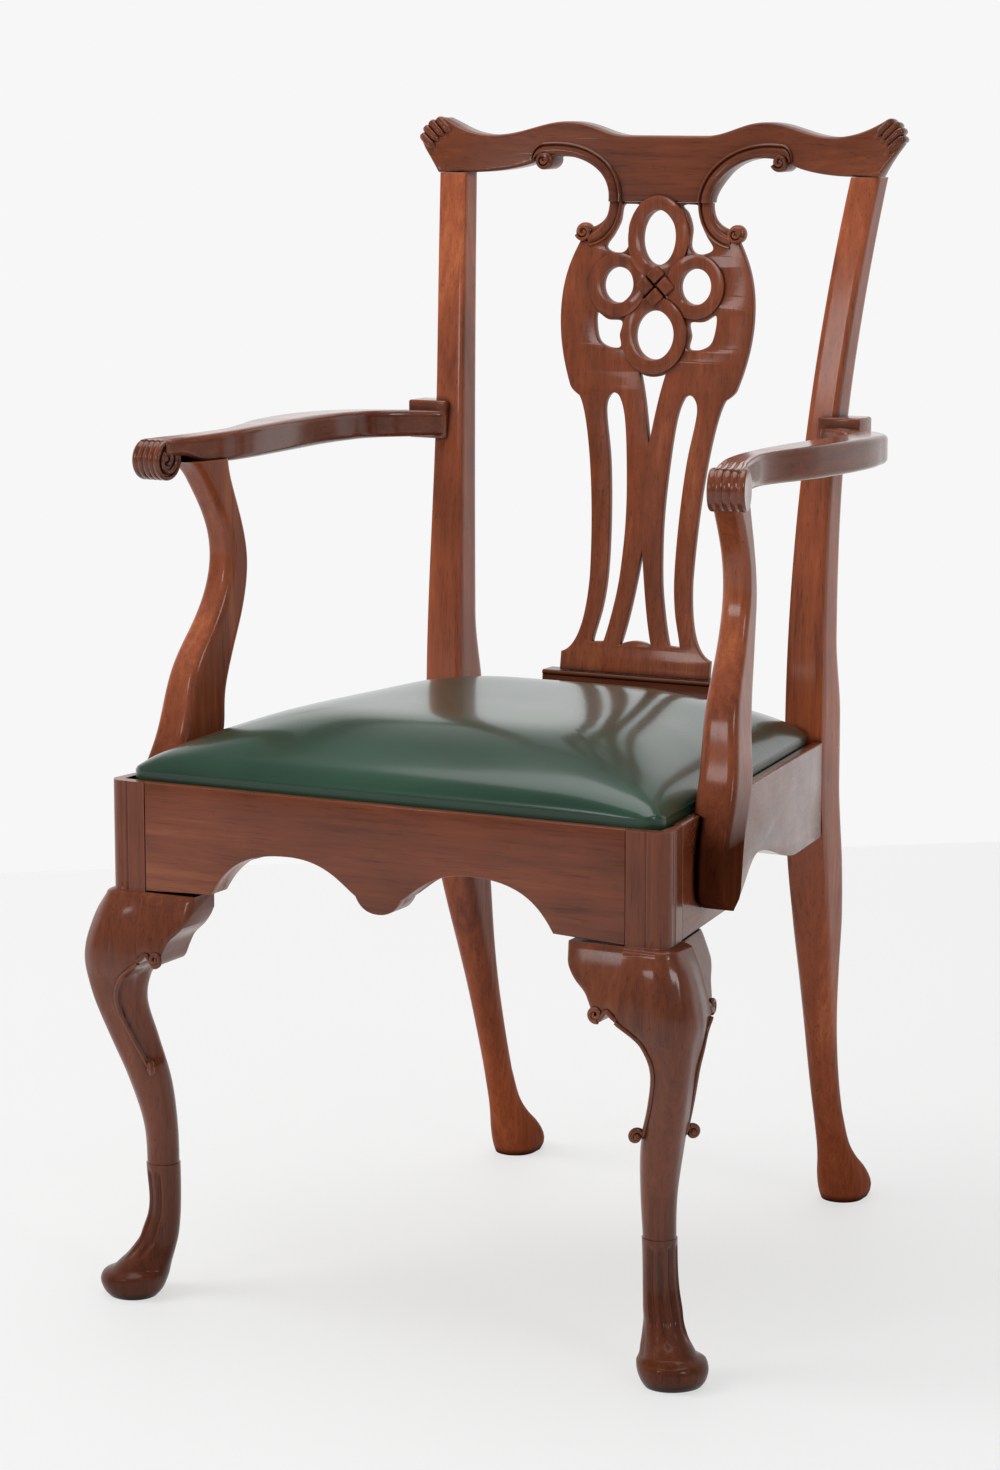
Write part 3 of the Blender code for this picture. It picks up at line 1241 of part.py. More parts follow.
def rail_space():
    """Cutter for the part of a support that the side rail fills."""
    outline = [(STUMP - 0.02, RAIL_BOTTOM - REBATE), (SEAT_LENGTH / 2, RAIL_BOTTOM - REBATE),
               (SEAT_LENGTH / 2, RAIL_TOP + GAP), (STUMP - 0.02, RAIL_TOP + GAP)]
    shape = prism(outline, -RAIL_THICK, GAP, "X")
    for vert in shape.verts:
        vert.co.x += side_x(vert.co.y)
    return add_cutter("rail_space", shape)


def screw(start, direction, length, grow=0.0):
    """Countersunk screw whose head starts at a point; grown, it cuts its own hole."""
    start, along = Vector(start), Vector(direction).normalized()
    profile = [(SCREW_HEAD_RADIUS + grow, 0.0), (SCREW_HEAD_RADIUS + grow, SCREW_HEAD_DEPTH * 0.3),
               (SCREW_RADIUS + grow, SCREW_HEAD_DEPTH + grow), (SCREW_RADIUS + grow, length + grow)]
    head = -grow * 4
    points = [(0.0, head), (profile[0][0], head)] + profile[1:] + [(0.0, length + grow)]
    shape = turned([(radius, -depth) for radius, depth in points], 12)
    place = Matrix.Translation(start) @ (-along).to_track_quat("Z", "Y").to_matrix().to_4x4()
    bmesh.ops.transform(shape, matrix=place, verts=shape.verts[:])
    return shape


def arm_screw_places():
    """Head places of the screws that hold the right support, inside the side rail."""
    front, back = support_edges()
    places = []
    for drop in SCREW_DROPS:
        y = (smooth(front, RAIL_TOP - drop) + smooth(back, RAIL_TOP - drop)) / 2
        places.append((side_x(y) - RAIL_THICK, y, RAIL_TOP - drop))
    return places


def corner_outlines():
    """Plan outlines of the right front and right rear corner blocks."""
    inner = RAIL_THICK + GAP
    run = STUMP + CORNER_BLOCK
    front = [(STUMP_IN - CORNER_BLOCK, inner), (STUMP_IN - GAP, inner), (STUMP_IN - GAP, STUMP + GAP),
             (side_x(STUMP + GAP) - inner, STUMP + GAP), (side_x(run) - inner, run)]
    rear_face = SEAT_LENGTH + SHOE_SET_BACK - REAR_LEDGE - GAP
    begin = SEAT_LENGTH - CORNER_BLOCK
    rear = [(side_x(begin) - inner, begin), (side_x(SEAT_LENGTH - GAP) - inner, SEAT_LENGTH - GAP),
            (POST_IN + GAP, SEAT_LENGTH - GAP), (POST_IN + GAP, rear_face), (POST_IN - CORNER_BLOCK, rear_face)]
    return front, rear


def make_corner_blocks():
    """Glued blocks in the four inner corners of the seat frame."""
    top = LEDGE - CORNER_BLOCK_DROP
    for outline, name in zip(corner_outlines(), ("front", "rear")):
        shape = prism(outline, top - CORNER_BLOCK_HEIGHT, top)
        block = add_part("corner_block_" + name + "_right", shape, BEECH)
        mirror_part(block, "corner_block_" + name + "_left")


def inset_quad(depth):
    """Corners of the drop-in seat's plan, set in from its edge by a depth, from the front left round."""
    front = LIP + SEAT_CLEAR + depth
    back = SEAT_LENGTH - SEAT_BACK_CLEAR - depth
    edge = LIP + (SEAT_CLEAR + depth) * math.hypot(1.0, SIDE_SLOPE)
    return [(-side_x(front) + edge, front), (side_x(front) - edge, front), (side_x(back) - edge, back),
            (-side_x(back) + edge, back)]


def round_quad(depth, radius, z, arc_steps=4, side_steps=5):
    """Ring round the drop-in seat with rounded corners, set in by a depth."""
    corners = [Vector(corner) for corner in inset_quad(depth)]
    ring = []
    for i in range(4):
        here, before, after = corners[i], corners[i - 1], corners[(i + 1) % 4]
        back, ahead = (before - here).normalized(), (after - here).normalized()
        half = back.angle(ahead) / 2
        reach = radius / math.tan(half)
        centre = here + (back + ahead).normalized() * (radius / math.sin(half))
        first, last = here + back * reach - centre, here + ahead * reach - centre
        sweep = first.angle_signed(last)
        for step in range(arc_steps + 1):
            turn = Matrix.Rotation(-sweep * step / arc_steps, 2)
            ring.append(centre + turn @ first)
        follow = corners[(i + 1) % 4]
        onward = corners[(i + 2) % 4]
        next_half = (here - follow).angle(onward - follow) / 2
        end = follow + (here - follow).normalized() * (radius / math.tan(next_half))
        for step in range(1, side_steps):
            ring.append(ring[-step] + (end - ring[-step]) * step / side_steps)
    return [(point.x, point.y, z) for point in ring]


def seat_profile():
    """Crowned section of the leather as (inset, height) from its lower edge to near the middle."""
    shares = ((0.0, 0.17), (0.003, 0.34), (0.009, 0.49), (0.022, 0.61), (0.060, 0.80), (0.120, 0.95), (0.180, 1.0))
    sides = [(0.0, LEDGE + GAP), (0.0, RAIL_TOP)]
    return sides + [(depth, RAIL_TOP + SEAT_PUFF * share) for depth, share in shares]


def corner_radius(depth):
    """Plan radius of the seat's corners at an inset."""
    return max(LEATHER_CORNER - 0.5 * depth, 0.006)


def make_leather():
    """Leather cover, open underneath, wrapped down the sides of the seat frame."""
    outer = [round_quad(depth, corner_radius(depth), z) for depth, z in seat_profile()]
    inner = []
    for number, (depth, z) in enumerate(seat_profile()):
        under = z - (0.0 if number < 3 else LEATHER_THICK)
        inside = depth + (LEATHER_THICK if number < 6 else 0.0)
        inner.append(round_quad(inside, corner_radius(depth), under))
    add_part("seat_leather", open_shell(outer, inner), LEATHER, SEAT_LIFT)


def open_shell(outer, inner):
    """Cap-shaped shell between outer and inner rows of rings, open at its first rings."""
    shape = bmesh.new()
    rows = [[shape.verts.new(point) for point in ring] for ring in list(reversed(inner)) + list(outer)]
    for low, high in zip(rows, rows[1:]):
        for i in range(len(low)):
            j = (i + 1) % len(low)
            shape.faces.new((low[i], low[j], high[j], high[i]))
    shape.faces.new(rows[0])
    shape.faces.new(list(reversed(rows[-1])))
    return shape


def make_padding():
    """Hair stuffing between the hessian and the leather."""
    base = LEDGE + GAP + FRAME_THICK + GAP + 2 * (WEB_THICK + GAP) + HESSIAN_THICK + GAP
    skin = LEATHER_THICK + GAP
    rings = [round_quad(skin, LEATHER_CORNER, base)]
    for depth, z in seat_profile()[3:]:
        lift = max(z - skin, base + 0.0005)
        rings.append(round_quad(depth + skin, corner_radius(depth), lift))
    add_part("seat_padding", loft(rings), HAIR, SEAT_LIFT)


def make_seat_frame():
    """Loose frame of four rails, webbing and hessian under the stuffing."""
    low, high = LEDGE + GAP, LEDGE + GAP + FRAME_THICK
    skin = LEATHER_THICK + GAP
    out, into = inset_quad(skin), inset_quad(skin + FRAME_WIDTH)

    def side_at(y, depth):
        edge = LIP + (SEAT_CLEAR + depth) * math.hypot(1.0, SIDE_SLOPE)
        return side_x(y) - edge

    front_line, back_line = into[0][1], into[2][1]
    front = [out[0], out[1], (side_at(front_line, skin), front_line), (-side_at(front_line, skin), front_line)]
    back = [(-side_at(back_line, skin), back_line), (side_at(back_line, skin), back_line), out[2], out[3]]
    near, far = front_line + GAP, back_line - GAP
    inner = skin + FRAME_WIDTH
    right = [(side_at(near, inner), near), (side_at(near, skin), near), (side_at(far, skin), far),
             (side_at(far, inner), far)]
    rounded = [(x, y) for x, y, _ in round_quad(skin, LEATHER_CORNER, low)]
    corners = add_cutter("seat_frame_corners", prism(rounded, low - REBATE, high + REBATE))
    combine(add_part("seat_frame_front", prism(front, low, high), BEECH, SEAT_LIFT), corners, "INTERSECT")
    combine(add_part("seat_frame_back", prism(back, low, high), BEECH, SEAT_LIFT), corners, "INTERSECT")
    part = add_part("seat_frame_right", prism(right, low, high), BEECH, SEAT_LIFT)
    mirror_part(part, "seat_frame_left")
    make_webbing(high + GAP, near, far, side_at)
    hessian = high + GAP + 2 * (WEB_THICK + GAP)
    add_part("seat_hessian", prism(inset_quad(skin + HESSIAN_IN), hessian, hessian + HESSIAN_THICK), JUTE, SEAT_LIFT)


def make_webbing(base, near, far, side_at):
    """Strips across the frame with a second layer of strips along it."""
    edge = LEATHER_THICK + GAP + WEB_IN
    span = far - near
    for i, place in enumerate(("front", "middle", "back")):
        y = near + span * (i + 0.5) / 3
        low, high = y - WEB_WIDTH / 2, y + WEB_WIDTH / 2
        outline = [(-side_at(low, edge), low), (side_at(low, edge), low), (side_at(high, edge), high),
                   (-side_at(high, edge), high)]
        add_part("seat_webbing_" + place, prism(outline, base, base + WEB_THICK), JUTE, SEAT_LIFT)
    start = inset_quad(edge)[0][1]
    stop = inset_quad(edge)[2][1]
    level = base + WEB_THICK + GAP
    for place, x in (("left", -WEB_SPACING), ("centre", 0.0), ("right", WEB_SPACING)):
        strip = box(x - WEB_WIDTH / 2, x + WEB_WIDTH / 2, start, stop, level, level + WEB_THICK)
        add_part("seat_webbing_" + place, strip, JUTE, SEAT_LIFT)


def make_arm_screws():
    """Screws through the side rails into the supports, with the cutters for their right-hand holes."""
    reach = RAIL_THICK + SCREW_BITE
    across = (1.0, SIDE_SLOPE, 0.0)
    holes = []
    for place, at in zip(("upper", "lower"), arm_screw_places()):
        part = add_part("arm_screw_right_" + place, screw(at, across, reach), STEEL)
        mirror_part(part, "arm_screw_left_" + place)
        holes.append(add_cutter("arm_screw_hole_" + place, screw(at, across, reach, GAP)))
    return holes


def dowel(grow):
    """Dowel that ties the arm's lap to the post."""
    z = block_middle()
    middle = post_outer(z) + DOWEL_SHIFT
    y = block_front() + (ARM_BLOCK_DEPTH + ARM_BLOCK_PROUD) / 2
    half = DOWEL_LENGTH / 2 + grow
    return rod((middle - half, y, z), (middle + half, y, z), DOWEL_RADIUS + grow, 12)


def centre_chair():
    """Move the chair so that the origin lies under the middle of its box."""
    bpy.context.view_layer.update()
    graph = bpy.context.evaluated_depsgraph_get()
    depths = []
    for part in PARTS.objects:
        if part.type == "MESH":
            ready = part.evaluated_get(graph)
            depths += [(ready.matrix_world @ vert.co).y for vert in ready.data.vertices]
    CHAIR.location.y = -(min(depths) + max(depths)) / 2


def main():
    """Build every piece of the chair."""
    well = seat_well()
    tenons = tenon_boxes(0.0, "tenon")
    mortises = tenon_boxes(GAP, "mortise")
    arm_holes = make_arm_screws()
    dowel_hole = add_cutter("dowel_hole", dowel(GAP))
    mirror_part(add_part("arm_dowel_right", dowel(0.0), BEECH), "arm_dowel_left")
    make_front_legs(well, mortises)
    make_brackets()
    make_front_rail(well, tenons)
    make_side_rails(well, tenons, arm_holes)
    make_rear_rail(tenons)
    make_posts(mortises, dowel_hole)
    make_crest()
    make_splat()
    make_shoe()
    make_arms(support_pin(GAP, "support_pin_hole"), dowel_hole)
    make_supports(rail_space(), support_pin(0.0, "support_pin"), arm_holes)
    make_corner_blocks()
    make_seat_frame()
    make_padding()
    make_leather()
    centre_chair()


main()
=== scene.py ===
"""Carved mahogany armchair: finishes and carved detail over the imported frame."""

import math

import bmesh
import bpy
from mathutils import Matrix, Vector
from mathutils.kdtree import KDTree


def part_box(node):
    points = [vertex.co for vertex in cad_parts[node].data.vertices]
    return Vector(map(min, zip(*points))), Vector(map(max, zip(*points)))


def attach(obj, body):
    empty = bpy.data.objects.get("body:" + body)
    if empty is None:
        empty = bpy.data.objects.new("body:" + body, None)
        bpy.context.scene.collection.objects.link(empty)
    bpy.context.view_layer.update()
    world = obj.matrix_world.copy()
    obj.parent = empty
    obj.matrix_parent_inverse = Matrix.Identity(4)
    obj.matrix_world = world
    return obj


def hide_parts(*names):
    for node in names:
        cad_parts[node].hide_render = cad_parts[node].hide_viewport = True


bl_info = {
    "name": "Carved Mahogany Armchair",
    "version": (1, 0, 0),
    "blender": (4, 5, 0),
    "location": "View3D > Sidebar > Armchair",
    "description": "Builds the carved pieces, the leather seat and the finishes of an armchair",
    "category": "Object",
}

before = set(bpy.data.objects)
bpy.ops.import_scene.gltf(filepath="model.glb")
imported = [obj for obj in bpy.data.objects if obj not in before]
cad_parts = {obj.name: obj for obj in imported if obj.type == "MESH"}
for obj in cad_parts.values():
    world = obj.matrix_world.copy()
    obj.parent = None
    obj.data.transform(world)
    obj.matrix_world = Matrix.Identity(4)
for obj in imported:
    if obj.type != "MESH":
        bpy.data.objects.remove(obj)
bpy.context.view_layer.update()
FRONT_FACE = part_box("front_rail")[0][1]   # depth of the front rail's face
FRAME_BODY = "chair_frame"
SEAT_BODY = "drop_in_seat"

ROOT2 = math.sqrt(2.0)
UP = (0.0, 0.0, 1.0)
TOUCH = 0.00001      # points closer than this are one
SHARP_ANGLE = 38.0   # edges sharper than this, in degrees, stay sharp in the shading

# Seat frame
RAIL_TOP = 0.455
RAIL_HEIGHT = 0.093
RAIL_THICK = 0.028
HALF_FRONT = 0.261
HALF_BACK = 0.201
SEAT_LENGTH = 0.447
LIP = 0.010
REBATE = 0.022
LEDGE_SET_BACK = 0.004   # the ledge starts this far behind the rail's face, inside its lip
LEDGE_LIFT = 0.0001
BOARD_EDGE = 0.0012
APRON_RISE = 0.042
APRON_FLAT = 0.064
PENDANT_HALF = 0.021
PENDANT_DROP = 0.0135
SIDE_ARCH_RISE = 0.031
SIDE_REAR_RISE = 0.007
RAIL_BOTTOM = RAIL_TOP - RAIL_HEIGHT
LEDGE = RAIL_TOP - REBATE
SIDE_SLOPE = (HALF_FRONT - HALF_BACK) / SEAT_LENGTH
GAP = 0.0003

# Front legs
STUMP = 0.037
STUMP_ROUND = 0.014
STUMP_IN = HALF_FRONT - STUMP
QUIRKS = (0.0015, 0.0055)   # distances of the stump's fine grooves from its round corner
QUIRK_NEAR = 0.0005
QUIRK_DEPTH = 0.0009
QUIRK_WIDTH = 0.0008
KNEE_STEP = 0.004
KNEE_TOP_OUT = 0.0155
KNEE_OUT = 0.025
KNEE_TWIST = 0.0032
KNEE_SQUARE = 0.35
KNEE_CORNER = 0.010
KNEE_FAIR = 0.022
KNEE_ROUND = 0.0055   # height over which the knee's swell ends under the rail
KNEE_SHARES = (1.0, 0.75, 0.50, 0.27, 0.10, 0.04)   # rings of the knee, by share of the bracket's height
BRACKET_REACH = 0.050
BRACKET_HEIGHT = 0.061
BRACKET_THICK = 0.030
BRACKET_STEPS = 56
BRACKET_CURL = 0.0058
# Knee bracket by share of its reach: share of its height at the lower edge, then share of the knee's swell
BRACKET_EDGE = ((0.0, 1.0), (0.08, 0.95), (0.20, 0.88), (0.33, 1.0), (0.42, 0.95), (0.50, 0.80), (0.60, 0.64),
                (0.80, 0.48), (0.93, 0.34), (1.0, 0.22))
BRACKET_SWELL = ((0.0, 1.0), (0.60, 1.0), (0.84, 0.98), (0.92, 0.88), (0.97, 0.66), (1.0, 0.30))
KNEE_END = RAIL_BOTTOM - BRACKET_HEIGHT
# Cabriole leg from the floor up: share of the height, toe side, heel side, shift across, half breadth
LEG_STATIONS = (
    (0.000, 0.0020, -0.0400, 0.0145, 0.0235),
    (0.018, 0.0065, -0.0450, 0.0145, 0.0270),
    (0.056, 0.0075, -0.0500, 0.0140, 0.0280),
    (0.090, -0.0010, -0.0525, 0.0135, 0.0250),
    (0.123, -0.0130, -0.0555, 0.0135, 0.0205),
    (0.166, -0.0255, -0.0585, 0.0140, 0.0162),
    (0.249, -0.0345, -0.0605, 0.0135, 0.0140),
    (0.365, -0.0330, -0.0605, 0.0120, 0.0135),
    (0.498, -0.0300, -0.0590, 0.0103, 0.0150),
    (0.631, -0.0180, -0.0540, 0.0095, 0.0175),
    (0.764, -0.0020, -0.0430, 0.0098, 0.0182),
    (0.870, 0.0103, -0.0342, 0.0083, 0.0212),
    (0.947, 0.0167, -0.0375, 0.0068, 0.0270),
)
LEG_RING = 96
SIDE_COLUMNS = ((-1.0, 60.0), (1.0, 12.0))   # places in a leg ring of the edges that meet the brackets
SOCK_TOP = 0.1155
SOCK_FOOT = 0.030
SOCK_PROUD = 0.0009
FLUTE_ANGLES = (-54.0, -18.0, 18.0, 54.0)   # degrees round the sock from the toe
FLUTE_HALF = 12.0
FLUTE_DEPTH = 0.0024
PAD_RIM = 0.0205
PAD_TOP = 0.034
PAD_HOLLOW = 0.0044
PAD_LIP = 0.0010
RIDGE_RISE = 0.0009
RIDGE_ANGLE = 9.0
VOLUTE_Z = 0.204
BEAD_SHIFTS = ((VOLUTE_Z, 0.5), (0.235, 4.0), (0.265, 6.0), (0.290, 3.0), (0.303, 0.0))
BEAD_STEPS = 40
BEAD_SIDES = 10
BEAD_RADIUS = 0.0019
BEAD_PROUD = 0.0003
BEAD_SINK = 0.0034
CURL_RADIUS = 0.0060
CURL_LIFT = 0.0008
CURL_EYE = 0.0033
SPIRAL_STEPS = 44
SPIRAL_WIND = 0.82   # share of its radius that a spiral loses

# Rear posts
POST_TOP = 0.950
POST_WIDTH = 0.0375
POST_WIDTH_TOP = 0.028
POST_DEPTH = 0.046
POST_DEPTH_MID = 0.0365
POST_DEPTH_TOP = 0.0275
POST_IN = HALF_BACK - POST_WIDTH
POST_EDGE = 0.003
POST_BACK_ROUND = 0.0070
BACK_RAKE = 0.065
BACK_SPLAY = 0.0285
SHOULDER = 0.070
SHOULDER_RISE = 0.020
REAR_LEG_REACH = 0.1154
REAR_LEG_START = 0.10
REAR_LEG_CURVE = 1.35
REAR_LEG_GAIN = 1.10
REAR_ANKLE = 0.026
REAR_ANKLE_IN = 0.0095
REAR_PAD_LENGTH = 0.057
REAR_PAD_WIDTH = 0.044
REAR_PAD_RIM = 0.014
# Swell of the rear pad by its height in rims
REAR_PAD = ((0.0, 0.72), (0.4, 0.93), (1.0, 1.0), (2.0, 0.80), (3.0, 0.42), (4.2, 0.14), (6.5, 0.0))

# Crest
EAR_TOP = 1.000
CREST_RISE = EAR_TOP - POST_TOP
CREST_FOOT = 0.925
CREST_DROP = POST_TOP - CREST_FOOT
CREST_NECK = 0.0515
CREST_THICK = 0.024
CREST_NECK_THICK = 0.014
CREST_EDGE = 0.0026
CREST_SLICED = 0.245   # half of the length that gets even edge loops
CREST_BOW = 0.020
CREST_LEAN = 0.20
CREST_DIP = 0.0155
HUMP_X = 0.100
HUMP_DROP = 0.003
EAR_OUT = 0.020
EAR_TIP_RISE = 0.029
EAR_ROLL = 0.005
EAR_THIN = 0.55
EAR_REEDS = 4
EAR_REED_LENGTH = 0.021
EAR_OUTWARD = Vector((0.72, 0.69))
UPPER_EYE = (0.1185, POST_TOP + 0.0115)
EYE_RADIUS = 0.0085
SCROLL_WIDTH = 0.0125
SCROLL_DEPTH = 0.0075

# Splat and shoe
SHOE_TOP = 0.497
SHOE_HALF = 0.090
SHOE_SET_BACK = 0.0045
SHOE_LIP = 0.006
SPLAT_THICK = 0.0068
SPLAT_EDGE = 0.0011
SPLAT_BOW = 0.004
SPLAT_SET_BACK = 0.002
SPLAT_FOOT_BACK = 0.0295
SPLAT_FOOT_HALF = 0.0755
SPLAT_FOOT_RISE = 0.017
NECK_HALF = 0.0515
NECK_RISE = 0.088
WAIST_HALF = 0.0735
WAIST_DROP = 0.177
WAIST_STEP = 0.010
BOUT_HALF = 0.0970
BOUT_DROP = 0.101
LOWER_EYE = (0.0765, CREST_FOOT - 0.028)
KNOT_Z = CREST_FOOT - 0.0755
LOZENGE_OUT = 0.0103
LOZENGE_SIZE = (0.0146, 0.0098, 0.0126)
STRAP = 0.0128
STRAP_DEPTH = 0.006
STRAP_PROUD = 0.0028
WEAVE = 0.0011
# Sections of the straps, as shares across and drops
FLAT_STRAP = ((-1.0, 0.0011), (-0.985, 0.0005), (-0.95, 0.0001), (-0.90, 0.0), (0.0, -0.0002), (0.90, 0.0),
              (0.95, 0.0001), (0.985, 0.0005), (1.0, 0.0011))
LINED_STRAP = ((-1.0, 0.0030), (-0.95, 0.0014), (-0.80, 0.0003), (-0.45, -0.0003), (-0.10, 0.0001),
               (0.18, 0.0008), (0.36, 0.0018), (0.46, 0.0022), (0.54, 0.0012), (0.66, 0.0003), (0.78, 0.0002),
               (0.90, 0.0008), (1.0, 0.0024))
# Piercings beside the middle, as shares of their reach and height
SLOT_OUT = 0.046
SLOT_FOOT = 0.025
SLOT_DROP = 0.1735
SLOT = ((0.967, 0.0), (0.804, 0.152), (0.739, 0.296), (0.761, 0.514), (0.848, 0.732), (0.989, 0.898),
        (1.0, 0.959), (0.913, 0.993), (0.804, 1.0), (0.685, 0.980), (0.565, 0.906), (0.478, 0.762),
        (0.413, 0.558), (0.424, 0.383), (0.511, 0.200), (0.750, 0.0))
UPPER_OUT = 0.054
UPPER_HEIGHT = 0.043
UPPER_HOLE = ((0.398, 0.0), (0.500, 0.163), (0.583, 0.465), (0.574, 0.837), (0.667, 0.988), (0.852, 1.0),
              (1.0, 0.884), (0.870, 0.628), (0.759, 0.349), (0.694, 0.0))
LOWER_OUT = 0.0605
LOWER_HEIGHT = 0.030
LOWER_HOLE = ((0.562, 0.767), (0.587, 0.367), (0.570, 0.0), (0.793, 0.0), (0.959, 0.267), (1.0, 1.0),
              (0.793, 0.817))
DART_DROP = 0.1545
DART_LENGTH = 0.0635
DART_HALF = 0.013
FOOT_HOLE_LOW = 0.027
FOOT_HOLE_HIGH = 0.112
FOOT_HOLE_HALF = 0.0155

# Arms
ARM_TOP = 0.733
ARM_SWELL = 0.004
ARM_THICK = 0.0235
ARM_BOTTOM = ARM_TOP - ARM_THICK
ARM_EDGE = 0.005
ARM_COVE = 0.0085
ARM_SWEEP = 0.0505
ARM_WIDTH = 0.039
# Arm by share of its length: share of the sweep outwards, then share of its width
ARM_SWEEPS = ((0.0, 0.376), (0.14, 0.198), (0.26, 0.208), (0.46, 0.604), (0.65, 0.911), (0.78, 1.0),
              (0.89, 0.891))
ARM_SWELLS = ((0.14, 0.679), (0.26, 0.615), (0.46, 0.949), (0.65, 1.0), (0.89, 0.949))
ARM_SCROLL_Y = 0.0945
ARM_SCROLL_RADIUS = 0.0175
ARM_SCROLL_WIDTH = 0.0275
ARM_SCROLL_WIDER = 0.003   # what the right scroll has more than the left
ARM_SCROLL_BITE = 0.006
ARM_SPIRAL_STEPS = 70
ARM_TOE_RIGHT = math.radians(14.0)
ARM_TOE_LEFT = math.radians(4.0)
ARM_REEDS = 5
REED_RISE = 0.0013
ARM_BLOCK_RISE = 0.009
ARM_BLOCK_HEIGHT = 0.035
ARM_BLOCK_PROUD = 0.003
ARM_BLOCK_DEPTH = 0.030
ARM_BLOCK_LAP = 0.0145
ARM_BLOCK_OUT = 0.025
SUPPORT_TOE = 0.066
SUPPORT_SWING = 0.091
SUPPORT_IN = 0.0075
SUPPORT_OUT = 0.0276
SUPPORT_OUT_TOP = 0.018
SUPPORT_DROP = 0.077
SUPPORT_EDGE = 0.004
SUPPORT_FACE_ROUND = 0.0075
# Arm support under and over the rail's top: share of the drop or rise, swing of its front and of its back
SUPPORT_FOOT = ((-1.0, 0.264, 0.308), (-0.90, 0.080, 0.500), (-0.70, 0.0, 0.565), (-0.26, 0.044, 0.659))
SUPPORT_STEM = ((0.08, 0.308, 0.901), (0.20, 0.396, 0.901), (0.33, 0.505, 1.011), (0.50, 0.835, 1.198),
                (0.66, 1.0, 1.275), (0.80, 0.934, 1.190), (0.92, 0.725, 1.060), (1.0, 0.571, 0.990))

# Seat
SEAT_CLEAR = 0.001
SEAT_BACK_CLEAR = 0.003
SEAT_CORNER = 0.016
SEAT_EDGE_SHARE = 0.10
SEAT_RINGS = (0.0, 0.0006, 0.0014, 0.0025, 0.004, 0.006, 0.009, 0.012, 0.016, 0.022, 0.03, 0.04, 0.05, 0.06,
              0.075, 0.09, 0.105, 0.12, 0.135, 0.15, 0.165, 0.178)   # distances from the seat's edge
SEAT_SHARP_ANGLE = 60.0
DOME_POWER = 6
DOME_FULLNESS = 0.60
DOME_REACH = 0.22
LEATHER_THICK = 0.0012
COVER_VOXEL = 0.004
COVER_FRAMES = 20
COVER_REACH = 0.006   # most that the cover moves
COVER_EVENING = 40    # rounds that spread the cover's movement over its neighbours
COVER_NEAR = 12       # points of the simulated cover that move one of the seat's

# Wood: turns that lay the grain along an axis, reach of worn edges and of dark wax with painted shade in
# hollows and where pieces meet, and the polish
GRAIN_TURNS = {"X": (0.0, math.pi / 2, 0.0), "Y": (math.pi / 2, 0.0, 0.0), "Z": (0.0, 0.0, 0.0)}
WEAR_REACH = 0.0022
WAX_AND_SHADE_REACH = 0.008
# Darkening by how closed in a surface is: dark wax, and painted shade in hollows and where pieces meet
WAX_AND_SHADE_TONES = ((0.32, (0.10, 0.07, 0.06)), (0.62, (0.46, 0.40, 0.37)), (0.86, (0.93, 0.92, 0.91)),
             (0.95, (1.0, 1.0, 1.0)))
WOOD_COAT = 0.55
POLISH_COAT = 2.5   # what a full polish adds to the coat
COAT_ROUGHNESS = 0.13
WOOD_SPECULAR = 0.12
# Darker, duller low ends, painted shade at the foot of the arm supports: height where it is full, height
# where it ends, tone and polish that are left
# Legs and rear posts darker and duller towards the floor
LEG_LOW_DARKENING = (0.0, 0.14, 0.50, 0.50)
POST_LOW_DARKENING = (0.05, 0.43, 0.78, 0.05)
# Painted shade where the arm supports turn down over the side rail
UPRIGHT_PAINTED_SHADE = (0.43, 0.50, 0.28, 0.0)
# Woods by kind of piece: grain, tone, polish, darker low end (painted shade on the supports), and the seeds
# of the figure to the right and left
WOODS = {
    "leg": ("Z", 0.74, 0.0, LEG_LOW_DARKENING, (1.0, 3.0)),
    "front_bracket": ("Z", 0.66, 0.0, None, (5.0,)),
    "side_bracket": ("Z", 0.66, 0.0, None, (6.0,)),
    "post": ("Z", 1.52, 0.0, POST_LOW_DARKENING, (9.0, 8.0)),
    "crest": ("X", 0.76, 0.0, None, (11.0,)),
    "splat": ("Z", 1.06, 0.0, None, (12.0,)),
    "shoe": ("X", 0.50, 0.0, None, (13.0,)),
    "arm": ("Y", 0.80, 0.10, None, (14.0,)),
    "upright": ("Z", 1.25, 0.0, UPRIGHT_PAINTED_SHADE, (15.0,)),
    "apron": ("X", 0.83, 0.0, None, (16.0,)),
    "side_rail": ("Y", 0.85, 0.05, None, (17.0,)),
    "rear_rail": ("X", 0.70, 0.0, None, (18.0,)),
}

# Camera: turn, tilt, distance, target, and its focal length and the picture's height in pixels
CAMERA_TURN = math.radians(27.711)
CAMERA_TILT = math.radians(9.6055)
CAMERA_DISTANCE = 3.064186
CAMERA_TARGET = Vector((0.112794, FRONT_FACE, 0.521691))
PICTURE_FOCAL = 3861.21
PICTURE_HEIGHT = 1470
SENSOR_HEIGHT = 36.0

# Floor and light
WHITE = (1.0, 1.0, 1.0, 1.0)
FLOOR_TURN = math.radians(36.66)
FLOOR_END = 1.76
FLOOR_HALF = (7.0, 6.0)
FLOOR_GLOW = 0.66   # share of the floor's own brightness
TOWARDS_BACK = Matrix.Rotation(CAMERA_TURN, 4, "Z")
AIM = Vector((0.0, 0.0, 0.45))
